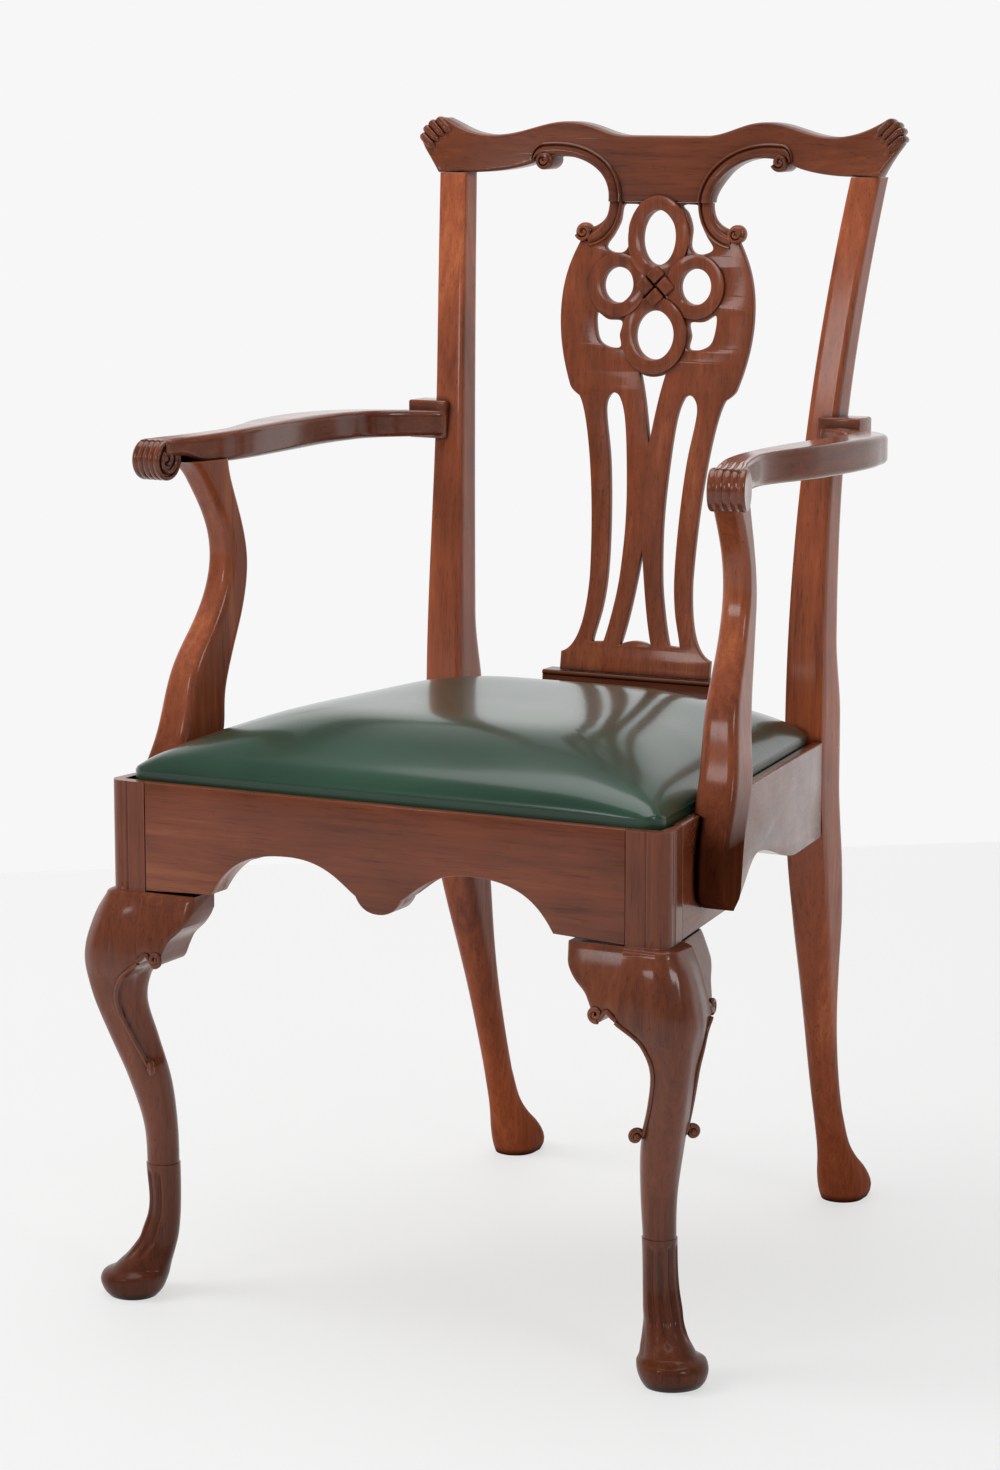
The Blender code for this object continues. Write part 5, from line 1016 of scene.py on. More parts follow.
def front_leg_shape():
    """Right cabriole leg with its carving."""
    rows = leg_key_rings()
    columns_x = [[(z, ring[i][0]) for z, ring in rows] for i in range(LEG_RING)]
    columns_y = [[(z, ring[i][1]) for z, ring in rows] for i in range(LEG_RING)]

    def place_at(number, z):
        return smooth(columns_x[number], z), smooth(columns_y[number], z)

    levels = [0.0, 0.0012, 0.003] + steps_between(0.005, PAD_TOP, 0.0009)
    levels += spread(PAD_TOP, SOCK_TOP - 0.001, 50) + [SOCK_TOP - GAP, SOCK_TOP + GAP]
    levels += spread(SOCK_TOP + 0.003, RAIL_BOTTOM - 0.0052, 120)
    rings = []
    for z in levels:
        rings.append([(*carve_leg(place_at(i, z), z, i), z) for i in range(LEG_RING)])
    for drop in (0.0044, 0.0034, 0.0024, 0.0015, 0.0008, 0.0003):
        z = RAIL_BOTTOM - drop
        share = shoulder(z)
        rings.append([(a[0] + (b[0] - a[0]) * share, a[1] + (b[1] - a[1]) * share, z)
                      for a, b in zip(stump_ring(z), rings[-1])])
    for z in [RAIL_BOTTOM + 0.0002] + steps_between(RAIL_BOTTOM, RAIL_TOP, 0.008):
        rings.append(stump_ring(z))
    rings += [stump_ring(RAIL_TOP - 0.001), stump_ring(RAIL_TOP - 0.0002)]
    shape = loft(rings)
    cut_seat_well(shape)
    for hand, column in SIDE_COLUMNS:
        add_shape(shape, leg_beads(place_at, hand, column))
    return shape


def cut_seat_well(shape):
    """Take the corner of the seat's recess out of the leg's stump."""
    mesh = bpy.data.meshes.new("stump")
    bmesh.ops.recalc_face_normals(shape, faces=shape.faces[:])
    shape.to_mesh(mesh)
    part = new_object("stump", mesh)
    well = bmesh.new()
    size = Matrix.Diagonal((2 * (side_x(LIP) - LIP), SEAT_LENGTH, 2 * REBATE, 1.0))
    middle = Matrix.Translation((0.0, LIP + SEAT_LENGTH / 2, RAIL_TOP))
    bmesh.ops.create_cube(well, size=1.0, matrix=middle @ size)
    well_mesh = bpy.data.meshes.new("well")
    well.to_mesh(well_mesh)
    well.free()
    cutter = new_object("well", well_mesh)
    step = part.modifiers.new("well", "BOOLEAN")
    step.operation = "DIFFERENCE"
    step.object = cutter
    step.solver = "EXACT"
    made = bpy.data.meshes.new_from_object(evaluated(part))
    bpy.data.objects.remove(part, do_unlink=True)
    bpy.data.objects.remove(cutter, do_unlink=True)
    shape.clear()
    shape.from_mesh(made)
    bpy.data.meshes.remove(made)


def bracket_shape(across, side):
    """Knee bracket with its scrolled lower edge; across maps (run, depth) to plan x and y."""
    top = RAIL_BOTTOM - GAP
    rings = []
    edge = []
    rounding = [RAIL_BOTTOM - drop for drop in (KNEE_ROUND, 0.0042, 0.0030, 0.0020, 0.0012, 0.0004)]
    for share in spread(0.0, 1.0, BRACKET_STEPS):
        run = BRACKET_REACH * share - 2 * GAP
        low = RAIL_BOTTOM - (BRACKET_HEIGHT - GAP) * smooth(BRACKET_EDGE, share)
        bulge = smooth(BRACKET_SWELL, share)
        levels = spread(low, rounding[0], 14)[:-1] + rounding
        front = []
        for k, z in enumerate(levels):
            ease_in = 0.0016 * (1 - min(k / 2.0, 1.0)) ** 2
            front.append((*across(run, -bulge * knee_bulge(z, side) * shoulder(z) + ease_in), z))
        edge.append(Vector((*across(run, -bulge * knee_bulge(low, side) - 0.0002), low + 0.0022)))
        rings.append(front + [(*across(run, BRACKET_THICK), z) for z in (top, low)])
    shape = loft(rings)
    start, stop = int(0.02 * BRACKET_STEPS), int(0.42 * BRACKET_STEPS)
    add_shape(shape, tube(edge[start:stop], BEAD_RADIUS, BEAD_SIDES))
    eye_run, eye_z = GAP + 0.36 * BRACKET_REACH, KNEE_END + 0.0068
    face = -knee_bulge(eye_z, side) - 0.0006
    eye = Vector((*across(eye_run, face), eye_z))
    along = (Vector((*across(eye_run + 0.01, face), eye_z)) - eye).normalized()
    curl = spiral(eye, along, UP, BRACKET_CURL, 1.5, 250.0)
    return add_shape(shape, tube(curl, tapered(len(curl), 0.0023, 0.0006), BEAD_SIDES))


def post_front(z):
    """Depth of the post's front face at a height."""
    if z >= RAIL_TOP:
        return SEAT_LENGTH + BACK_RAKE * ((z - RAIL_TOP) / (POST_TOP - RAIL_TOP)) ** 2
    fall = max(1 - z / RAIL_TOP - REAR_LEG_START, 0.0)
    return SEAT_LENGTH + REAR_LEG_REACH * fall ** REAR_LEG_CURVE * REAR_LEG_GAIN


def post_inner(z):
    """Inner face of the post above the seat."""
    return POST_IN + BACK_SPLAY * max((z - RAIL_TOP) / (POST_TOP - RAIL_TOP), 0.0) ** 2


def post_width(z):
    """Width of the post above the seat."""
    height = max((z - RAIL_TOP) / (POST_TOP - RAIL_TOP), 0.0)
    return POST_WIDTH + (POST_WIDTH_TOP - POST_WIDTH) * ease(0.0, 0.65, height)


def post_ring(z, count=48):
    """Plan ring of the rear post and leg."""
    height = max((z - RAIL_TOP) / (POST_TOP - RAIL_TOP), 0.0)
    front = post_front(z)
    edge = POST_EDGE
    outer_back = POST_BACK_ROUND
    inner_back = POST_EDGE + (POST_BACK_ROUND - POST_EDGE) * ease(RAIL_TOP, RAIL_TOP + SHOULDER, z)
    if z >= RAIL_BOTTOM:
        inner = post_inner(z)
        width = post_width(z)
        depth = POST_DEPTH_MID + (POST_DEPTH_TOP - POST_DEPTH_MID) * height
        foot = RAIL_TOP + SHOULDER_RISE
        depth += (POST_DEPTH - POST_DEPTH_MID) * (1 - ease(foot, foot + SHOULDER, z))
    else:
        run = 1 - z / RAIL_BOTTOM
        middle = POST_IN + POST_WIDTH / 2 - REAR_ANKLE_IN * ease(0.0, 0.75, run)
        slim = ease(0.0, 0.72, run)
        width = POST_WIDTH + (REAR_ANKLE - POST_WIDTH) * slim
        depth = POST_DEPTH + (REAR_ANKLE + 0.002 - POST_DEPTH) * slim
        pad = smooth([(rims * REAR_PAD_RIM, swell) for rims, swell in REAR_PAD], z)
        width += (REAR_PAD_WIDTH - REAR_ANKLE) * pad
        depth += (REAR_PAD_LENGTH - REAR_ANKLE) * pad
        inner = middle - width / 2
        edge = POST_EDGE + (min(width, depth) / 2 - POST_EDGE) * ease(0.05, 0.55, run)
        inner_back = edge
        outer_back = max(edge, POST_BACK_ROUND)
    ring = box_ring(inner, inner + width, front, front + depth, (edge, outer_back, inner_back, edge), count)
    return [(x, y, z) for x, y in ring]


def post_shape():
    """Right rear post from its pad foot to the crest."""
    levels = [0.0, 0.001, 0.0025] + spread(0.005, RAIL_BOTTOM - 0.002, 70)
    levels += spread(RAIL_BOTTOM, POST_TOP - GAP, 90)
    return loft([post_ring(z) for z in levels])


def crest_y(x, z):
    """Front face of the crest at a place on it."""
    reach = post_inner(POST_TOP) + POST_WIDTH_TOP / 2
    bow = CREST_BOW * max(1 - (x / reach) ** 2, -0.3)
    roll = EAR_ROLL * ease(reach - 0.020, reach + 0.012, abs(x)) * ease(POST_TOP, EAR_TOP, z)
    return post_front(POST_TOP) + CREST_LEAN * (z - POST_TOP) + bow + roll


def crest_half():
    """Right half of the crest's outline, from the foot of its centre up to the ear and back."""
    post_in = post_inner(POST_TOP)
    post_out = post_in + POST_WIDTH_TOP
    start = (CREST_NECK, CREST_FOOT)
    hook = (UPPER_EYE[0] - EYE_RADIUS, UPPER_EYE[1] + 0.35 * EYE_RADIUS)
    points = [start]
    points += bezier(start, (CREST_NECK, CREST_FOOT + CREST_DROP),
                     (0.65 * hook[0] + 0.02 * UPPER_EYE[0], hook[1] + 0.004), hook, 30)
    points += arc(UPPER_EYE, EYE_RADIUS, 165.0, 355.0, 20)
    wing = post_in - UPPER_EYE[0]
    rise = UPPER_EYE[1] - POST_TOP
    under = points[-1]
    points += bezier(under, (UPPER_EYE[0] + 0.20 * wing, POST_TOP + 0.55 * rise),
                     (UPPER_EYE[0] + 0.55 * wing, POST_TOP), (post_in, POST_TOP), 16)
    points += [(post_in + POST_WIDTH_TOP * k / 6, POST_TOP) for k in range(1, 7)]
    tip = (post_out + EAR_OUT, POST_TOP + EAR_TIP_RISE)
    peak = (post_out + 0.05 * EAR_OUT, EAR_TOP)
    points += bezier((post_out, POST_TOP), (post_out + 0.40 * EAR_OUT, POST_TOP + 0.45 * EAR_TIP_RISE),
                     (post_out + 0.85 * EAR_OUT, POST_TOP + 0.80 * EAR_TIP_RISE), tip, 12)
    points += bezier(tip, (post_out + 0.95 * EAR_OUT, EAR_TOP - 0.40 * (CREST_RISE - EAR_TIP_RISE)),
                     (post_out + 0.55 * EAR_OUT, EAR_TOP), peak, 14)
    dip = (post_in - 0.75 * POST_WIDTH_TOP, EAR_TOP - CREST_DIP)
    hump = (HUMP_X, EAR_TOP - HUMP_DROP)
    span = dip[0] - hump[0]
    points += bezier(peak, (post_out - 0.45 * POST_WIDTH_TOP, EAR_TOP - 0.5 * CREST_DIP), (post_in, dip[1]),
                     dip)
    points += bezier(dip, (dip[0] - 0.40 * span, dip[1]), (hump[0] + 0.34 * span, hump[1]), hump)
    points += bezier(hump, (0.74 * hump[0], hump[1]), (0.62 * hump[0], dip[1]), (0.38 * hump[0], dip[1]))
    return points


def splat_y(z):
    """Front face of the splat at a height."""
    low = SEAT_LENGTH + SPLAT_FOOT_BACK
    high = crest_y(0.0, CREST_FOOT) + SPLAT_SET_BACK
    t = (z - SHOE_TOP) / (CREST_FOOT - SHOE_TOP)
    return low + (high - low) * t + SPLAT_BOW * 4 * t * (1 - t)


def ribbon(path, width, front, rises, depth, profile, closed=False):
    """Raised strap along a path on the XZ plane; profile is its section as (across share, drop) points."""
    rings = []
    count = len(path)
    for i, (x, z) in enumerate(path):
        before, after = max(i - 1, 0), min(i + 1, count - 1)
        if closed:
            before, after = i - 1, (i + 1) % count
        along = Vector((path[after][0] - path[before][0], path[after][1] - path[before][1])).normalized()
        side = Vector((-along.y, along.x))
        half = (width if isinstance(width, float) else width[i]) / 2
        top = front(x, z) - rises[i]
        section = [(share * half, top + drop) for share, drop in profile]
        section += [(profile[-1][0] * half, top + depth), (profile[0][0] * half, top + depth)]
        rings.append([(x + side.x * across, y, z + side.y * across) for across, y in section])
    return loft(rings, closed)


def scroll_eye(centre, face, hand):
    """Ball and spiral in the eye of a scroll."""
    x, z = centre
    shape = bmesh.new()
    bmesh.ops.create_uvsphere(shape, u_segments=28, v_segments=18, radius=EYE_RADIUS * 0.96)
    bmesh.ops.scale(shape, verts=shape.verts[:], vec=(1.0, 0.62, 1.0))
    bmesh.ops.translate(shape, verts=shape.verts[:], vec=(x, face + 0.0026, z))
    turn = spiral((x, face - 0.0022, z), (hand, 0.0, 0.0), UP, EYE_RADIUS * 0.86, 1.6, 200.0)
    return add_shape(shape, tube(turn, tapered(len(turn), 0.0019, 0.0004), 8))


def scroll_paths():
    """Middle lines of the right-hand scroll on the crest and on the splat."""
    foot = (CREST_NECK - SCROLL_WIDTH / 2 - 0.0008, CREST_FOOT)
    upper = (UPPER_EYE[0] - 0.2 * EYE_RADIUS, UPPER_EYE[1] + EYE_RADIUS + 0.002)
    lower = (LOWER_EYE[0] - 0.6 * EYE_RADIUS, LOWER_EYE[1] - EYE_RADIUS + 0.001)
    on_crest = [foot] + bezier(foot, (foot[0], CREST_FOOT + 1.25 * CREST_DROP),
                               (0.68 * upper[0], upper[1] + 0.004), upper, 40)
    on_crest += arc(UPPER_EYE, EYE_RADIUS + 0.002, 100.0, 5.0, 22)[1:]
    on_splat = [foot] + bezier(foot, (foot[0], CREST_FOOT - 0.0168),
                               (0.75 * lower[0], lower[1] + 0.003), lower, 26)
    return on_crest, on_splat


def ear_reeds():
    """Reeds that wrap over the end of the right ear."""
    post_out = post_inner(POST_TOP) + POST_WIDTH_TOP
    shape = bmesh.new()
    tip = Vector((post_out + EAR_OUT - 0.001, POST_TOP + EAR_TIP_RISE))
    peak = Vector((post_out + 0.10 * EAR_OUT, EAR_TOP - 0.002))
    thick = CREST_THICK * (1 - EAR_THIN * 0.8)
    for number in range(EAR_REEDS):
        share = (number + 0.45) / (EAR_REEDS - 0.1)
        edge = tip.lerp(peak, share) + EAR_OUTWARD * 0.0052 * math.sin(math.pi * share)
        path, radii = [], []
        for t in spread(0.0, 1.0, 21):
            place = edge - EAR_OUTWARD * EAR_REED_LENGTH * (1 - t)
            path.append((place.x, crest_y(place.x, place.y) + 0.0020 - 0.0016 * ease(0.1, 0.6, t), place.y))
            radii.append(0.0006 + 0.0034 * ease(0.0, 0.45, t))
        for t in spread(0.0, 1.0, 12)[1:]:
            place = edge + EAR_OUTWARD * 0.0006 * math.sin(math.pi * t)
            path.append((place.x, crest_y(place.x, place.y) + 0.0004 + (thick - 0.002) * t, place.y))
            radii.append(0.0040 - 0.0010 * t)
        add_shape(shape, tube(path, radii, 12))
    return shape


def crest_shape():
    """Serpentine crest with its ears, scrolls and eyes."""
    half = crest_half()
    left = [(-x, z) for x, z in reversed(half)]
    shape = board([half + left], CREST_THICK, CREST_EDGE)
    slice_across(shape, (1.0, 0.0, 0.0), steps_between(-CREST_SLICED, CREST_SLICED, 0.007))
    slice_across(shape, UP, steps_between(CREST_FOOT, EAR_TOP, 0.006))
    reach = post_inner(POST_TOP) + POST_WIDTH_TOP / 2
    slim = 1 - CREST_NECK_THICK / CREST_THICK
    for vert in shape.verts:
        x, _, z = vert.co
        vert.co.y *= 1 - slim * (1 - ease(CREST_FOOT, POST_TOP, z))
        vert.co.y *= 1 - EAR_THIN * ease(reach, reach + POST_WIDTH_TOP / 2 + EAR_OUT, abs(x))
        vert.co.y += crest_y(x, z)
    path, _ = scroll_paths()
    count = len(path)
    widths = [SCROLL_WIDTH + (0.0035 - SCROLL_WIDTH) * ease(0.66, 1.0, i / count) for i in range(count)]
    rises = [0.0040 - 0.0016 * ease(0.0, 0.3, i / count) for i in range(count)]
    add_pair(shape, ribbon(path, widths, crest_y, rises, SCROLL_DEPTH, LINED_STRAP))
    add_pair(shape, scroll_eye(UPPER_EYE, crest_y(*UPPER_EYE), 1.0))
    return add_pair(shape, ear_reeds())


def splat_half():
    """Right half of the splat's outline, from its foot up."""
    foot = (SPLAT_FOOT_HALF, SHOE_TOP + GAP)
    ankle = (SPLAT_FOOT_HALF, SHOE_TOP + SPLAT_FOOT_RISE)
    neck = (NECK_HALF, SHOE_TOP + NECK_RISE)
    waist = (WAIST_HALF, CREST_FOOT - WAIST_DROP)
    corner = (WAIST_HALF + WAIST_STEP, waist[1] + 0.9 * WAIST_STEP)
    widest = (BOUT_HALF, CREST_FOOT - BOUT_DROP)
    top = (LOWER_EYE[0] + 0.4 * EYE_RADIUS, LOWER_EYE[1] - 0.9 * EYE_RADIUS)
    low, high = neck[1] - ankle[1], waist[1] - neck[1]
    points = [foot, ankle]
    points += bezier(ankle, (0.33 * NECK_HALF + 0.67 * SPLAT_FOOT_HALF - 0.008, ankle[1] + 0.06 * low),
                     (NECK_HALF + 0.001, neck[1] - 0.56 * low), neck)
    points += bezier(neck, (NECK_HALF + 0.001, neck[1] + 0.49 * high),
                     (WAIST_HALF - 0.0095, waist[1] - 0.08 * high), waist)
    points += bezier(waist, (WAIST_HALF + 0.35 * WAIST_STEP, waist[1] + 0.2 * WAIST_STEP),
                     (WAIST_HALF + 0.8 * WAIST_STEP, waist[1] + 0.5 * WAIST_STEP), corner, 8)
    rise, fall = widest[1] - corner[1], top[1] - widest[1]
    points += bezier(corner, (0.5 * (corner[0] + BOUT_HALF), corner[1] + 0.26 * rise),
                     (BOUT_HALF, widest[1] - 0.4 * rise), widest)
    points += bezier(widest, (BOUT_HALF, widest[1] + 0.48 * fall),
                     (0.5 * (top[0] + BOUT_HALF), top[1] - 0.25 * fall), top)
    points += arc(LOWER_EYE, EYE_RADIUS, -55.0, 150.0, 24)[1:]
    points += bezier(points[-1], (LOWER_EYE[0] - 2 * EYE_RADIUS, LOWER_EYE[1] + 0.007),
                     (CREST_NECK, CREST_FOOT - 0.0154), (CREST_NECK, CREST_FOOT - GAP))
    return points


def strap_loops():
    """Loops of the strapwork: centre, half width, half height, and degrees where each lies over and under."""
    return ((0.039, KNOT_Z, 0.0225, 0.0230, 130.0, 230.0),
            (0.0, KNOT_Z + 0.0435, 0.0240, 0.0315, 230.0, 310.0),
            (-0.039, KNOT_Z, 0.0225, 0.0230, 310.0, 50.0),
            (0.0, KNOT_Z - 0.0445, 0.0265, 0.0290, 50.0, 130.0))


def oval(loop, grow, count):
    """Points round a loop's middle line, moved outwards by an amount."""
    x, z, half, rise = loop[:4]
    turns = [2 * math.pi * i / count for i in range(count)]
    return [(x + (half + grow) * math.cos(turn), z + (rise + grow) * math.sin(turn)) for turn in turns]


def splat_holes():
    """Piercings of the splat."""
    low, high = SHOE_TOP + SLOT_FOOT, CREST_FOOT - SLOT_DROP
    top, foot = CREST_FOOT - 0.003, KNOT_Z - 0.056
    holes = []
    for side in (1.0, -1.0):
        body = [(side * SLOT_OUT * out, low + (high - low) * up) for out, up in SLOT]
        holes.append([point for point in rounded_outline(body) if point[1] > low + 0.0005])
        upper = [(side * UPPER_OUT * out, top - UPPER_HEIGHT * down) for out, down in UPPER_HOLE]
        lower = [(side * LOWER_OUT * out, foot + LOWER_HEIGHT * up) for out, up in LOWER_HOLE]
        holes += [rounded_outline(upper), rounded_outline(lower)]
    holes += [oval(loop, -STRAP / 2 - 0.0005, 64) for loop in strap_loops()]
    high = CREST_FOOT - DART_DROP
    low = high - DART_LENGTH
    left = bezier((0.0, low), (-0.0035, low + 0.020), (-0.0060, low + 0.040), (-DART_HALF, high), 14)
    crown = bezier((-DART_HALF, high), (-0.006, high - 0.0045), (0.006, high - 0.0045), (DART_HALF, high), 10)
    holes.append([(0.0, low)] + left + crown[:-1] + [(-x, z) for x, z in reversed(left)])
    low, high = SHOE_TOP + FOOT_HOLE_LOW, SHOE_TOP + FOOT_HOLE_HIGH
    half = FOOT_HOLE_HALF
    left = bezier((0.0, high), (-0.003, high - 0.022), (-0.0085, low + 0.022), (-half, low), 14)
    dome = bezier((-half, low), (-0.006, low + 0.0050), (0.006, low + 0.0050), (half, low), 10)
    holes.append([(0.0, high)] + left + dome[:-1] + [(-x, z) for x, z in reversed(left)])
    return holes


def lozenge(turn):
    """One raised pillow of the knot, by its quarter turn from the right."""
    angle = math.radians(90.0 * turn)
    x, z = LOZENGE_OUT * math.cos(angle), KNOT_Z + LOZENGE_OUT * math.sin(angle)
    shape = bmesh.new()
    bmesh.ops.create_cube(shape, size=1.0, matrix=Matrix.Diagonal((*LOZENGE_SIZE, 1.0)))
    tops = [edge for edge in shape.edges if any(vert.co.y < 0 for vert in edge.verts)]
    bmesh.ops.bevel(shape, geom=tops, offset=0.0022, segments=4, profile=0.5, affect="EDGES", material=-1)
    lean = math.radians(45.0 if turn % 2 == 0 else -45.0)
    place = Matrix.Translation((x, splat_y(z) - 0.0007, z)) @ Matrix.Rotation(lean, 4, "Y")
    bmesh.ops.transform(shape, matrix=place, verts=shape.verts[:])
    return shape


def strap_rises(loop, path):
    """Height of a loop's strap along its path, over one neighbour and under the other."""
    rises = []
    for i, (_, z) in enumerate(path):
        turn = 360.0 * i / len(path)
        over, under = ((turn - place + 180.0) % 360.0 - 180.0 for place in loop[4:])
        lift = STRAP_PROUD + 0.0024 * ease(CREST_FOOT - 0.020, CREST_FOOT - 0.004, z)
        rises.append(lift + WEAVE * (math.exp(-(over / 25.0) ** 2) - math.exp(-(under / 25.0) ** 2)))
    return rises


def splat_shape():
    """Pierced splat with interlaced loops, a knot and scrolls."""
    half = splat_half()
    left = [(-x, z) for x, z in reversed(half)]
    shape = board([half + left] + splat_holes(), SPLAT_THICK, SPLAT_EDGE)
    slice_across(shape, UP, steps_between(SHOE_TOP, CREST_FOOT, 0.012))
    for vert in shape.verts:
        vert.co.y += splat_y(vert.co.z)

    def face(x, z):
        return splat_y(z)

    for loop in strap_loops():
        path = oval(loop, 0.0, 96)
        add_shape(shape, ribbon(path, STRAP, face, strap_rises(loop, path), STRAP_DEPTH, FLAT_STRAP, True))
    for turn in range(4):
        add_shape(shape, lozenge(turn))
    _, path = scroll_paths()
    count = len(path)
    rises = [0.004 - 0.0018 * i / (count - 1) for i in range(count)]
    section = [(-share, drop) for share, drop in reversed(LINED_STRAP)]
    add_pair(shape, ribbon(path, SCROLL_WIDTH, face, rises, SCROLL_DEPTH, section))
    return add_pair(shape, scroll_eye(LOWER_EYE, splat_y(LOWER_EYE[1]), -1.0))


def block_middle():
    """Height of the middle of the arm's square end."""
    return ARM_TOP + ARM_BLOCK_RISE - ARM_BLOCK_HEIGHT / 2


def block_front():
    """Depth of the front of the arm's square end."""
    return post_front(block_middle() - ARM_BLOCK_HEIGHT / 2) - ARM_BLOCK_PROUD


def post_outer(z):
    """Outer face of the post above the seat."""
    return post_inner(z) + post_width(z)


def arm_middle(y):
    """Centre line of the right arm in plan and its width."""
    back = block_front()
    span = back - ARM_SCROLL_Y
    block = post_outer(block_middle()) + (ARM_BLOCK_OUT - ARM_BLOCK_LAP) / 2 - side_x(back)
    offsets = [(ARM_SCROLL_Y + share * span, ARM_SWEEP * sweep) for share, sweep in ARM_SWEEPS]
    offsets.append((back, block))
    widths = [(ARM_SCROLL_Y, ARM_SCROLL_WIDTH - 3 * GAP)]
    widths += [(ARM_SCROLL_Y + share * span, ARM_WIDTH * swell) for share, swell in ARM_SWELLS]
    widths.append((back, ARM_BLOCK_OUT + ARM_BLOCK_LAP - POST_EDGE))
    return side_x(y) + smooth(offsets, y), smooth(widths, y)


def reed_wave(share):
    """Rise of the reeds across the arm at a share of its width."""
    return abs(math.sin(math.pi * ARM_REEDS * share)) ** 0.6


def arm_scroll(toe, width):
    """Reeded roll at the front of the arm, spun about its own axis, with a spiral inner face."""
    shape = bmesh.new()
    half = width / 2
    sunk = half - 0.0022
    lip = ARM_SCROLL_RADIUS - 0.0026
    profile = [(0.0, sunk), (lip - 0.0016, sunk), (lip - 0.0010, half - 0.0005), (lip, half)]
    for share in spread(0.0, 1.0, 48):
        profile.append((ARM_SCROLL_RADIUS + REED_RISE * (reed_wave(share) - 1), half - width * share))
    profile += [(lip, -half), (ARM_SCROLL_RADIUS * 0.6, GAP - half), (0.0, GAP - half)]
    verts = [shape.verts.new((radius, 0.0, height)) for radius, height in profile]
    edges = [shape.edges.new(pair) for pair in zip(verts, verts[1:])]
    bmesh.ops.spin(shape, geom=verts + edges, cent=(0.0, 0.0, 0.0), axis=UP, dvec=(0.0, 0.0, 0.0),
                   angle=2 * math.pi, steps=72, use_merge=True, use_normal_flip=False, use_duplicate=False)
    bmesh.ops.remove_doubles(shape, verts=shape.verts[:], dist=TOUCH)
    eye = (0.0, 0.0, sunk + 0.0002)
    turn = spiral(eye, (1.0, 0.0, 0.0), (0.0, 1.0, 0.0), ARM_SCROLL_RADIUS * 0.70, 1.4, 160.0,
                  ARM_SPIRAL_STEPS)
    add_shape(shape, tube(turn, tapered(len(turn), 0.0026, 0.0004, ARM_SPIRAL_STEPS), 10))
    axis = -Vector((math.cos(toe), math.sin(toe), 0.0))
    x, _ = arm_middle(ARM_SCROLL_Y)
    place = Matrix.Translation((x, ARM_SCROLL_Y, ARM_TOP - ARM_SCROLL_RADIUS))
    place @= axis.to_track_quat("Z", "Y").to_matrix().to_4x4()
    bmesh.ops.transform(shape, matrix=place, verts=shape.verts[:])
    return shape


def arm_shape(toe, scroll_width):
    """Right serpentine arm with its reeded scroll, turned out by a toe angle, and the lap at the post."""
    front = ARM_SCROLL_Y - ARM_SCROLL_BITE
    back = block_front() + ARM_BLOCK_PROUD / 2
    rings = []
    for share in spread(0.0, 1.0, 130):
        y = front + (back - front) * share
        middle, width = arm_middle(max(y, ARM_SCROLL_Y))
        width += 0.0018 * (1 - ease(0.05, 0.10, share))
        top = ARM_TOP + ARM_SWELL * math.sin(math.pi * share)
        bottom = ARM_BOTTOM + ARM_COVE * (1 - ease(0.05, 0.125, share))
        reeds = REED_RISE * (1 - ease(0.03, 0.17, share))
        ring = []
        for x, z in box_ring(middle - width / 2, middle + width / 2, bottom, top, [ARM_EDGE] * 4, 80):
            if z > top - 0.0035:
                z += reeds * (reed_wave((x - middle + width / 2) / width) - 1)
            ring.append((x, y, z))
        rings.append(ring)
    shape = loft(rings)
    add_shape(shape, arm_scroll(toe, scroll_width))
    return add_shape(shape, arm_block())


def arm_block():
    """Square end of the right arm that laps round the post."""
    block = bmesh.new()
    size = Matrix.Diagonal((ARM_BLOCK_LAP + ARM_BLOCK_OUT, ARM_BLOCK_DEPTH, ARM_BLOCK_HEIGHT, 1.0))
    middle = (post_outer(block_middle()) + (ARM_BLOCK_OUT - ARM_BLOCK_LAP) / 2,
              block_front() + ARM_BLOCK_DEPTH / 2, block_middle())
    bmesh.ops.create_cube(block, size=1.0, matrix=Matrix.Translation(middle) @ size)
    bmesh.ops.bevel(block, geom=block.edges[:], offset=0.0022, segments=3, profile=0.5, affect="EDGES",
                    material=-1)
    return block


def support_shape():
    """Right scrolled arm support."""
    rise = ARM_BOTTOM - GAP - RAIL_TOP
    lines = [(RAIL_TOP + SUPPORT_DROP * share, near, far) for share, near, far in SUPPORT_FOOT]
    lines += [(RAIL_TOP + rise * share, near, far) for share, near, far in SUPPORT_STEM]
    front = [(z, SUPPORT_TOE + SUPPORT_SWING * near) for z, near, _ in lines]
    back = [(z, SUPPORT_TOE + SUPPORT_SWING * far) for z, _, far in lines]
    low, high = lines[0][0], lines[-1][0] + 0.0035

    def even(line, z):
        """Line softened over a short length."""
        return sum(smooth(line, z + 0.007 * k) for k in range(-2, 3)) / 5

    rings = []
    for share in [0.0, 0.002, 0.006, 0.012, 0.02] + spread(0.03, 1.0, 110):
        z = low + (high - low) * share
        taper = ease(RAIL_TOP, RAIL_TOP + 0.6 * (ARM_BOTTOM - RAIL_TOP), z)
        outer = SUPPORT_OUT + (SUPPORT_OUT_TOP - SUPPORT_OUT) * taper
        inner = -SUPPORT_IN if z > RAIL_TOP + GAP else GAP
        flare = max((z - high) / 0.020 + 1, 0.0) ** 2.5
        near, far = even(front, z), even(back, z)
        if z < RAIL_TOP:
            near, far = smooth(front, z), smooth(back, z)
        face = SUPPORT_EDGE + (SUPPORT_FACE_ROUND - SUPPORT_EDGE) * ease(low, low + 0.03, z)
        ring = box_ring(inner, outer, near - 0.011 * flare, far, [face, SUPPORT_EDGE, SUPPORT_EDGE, face], 64)
        rings.append([(side_x(y) + t, y, z) for t, y in ring])
    return loft(rings)


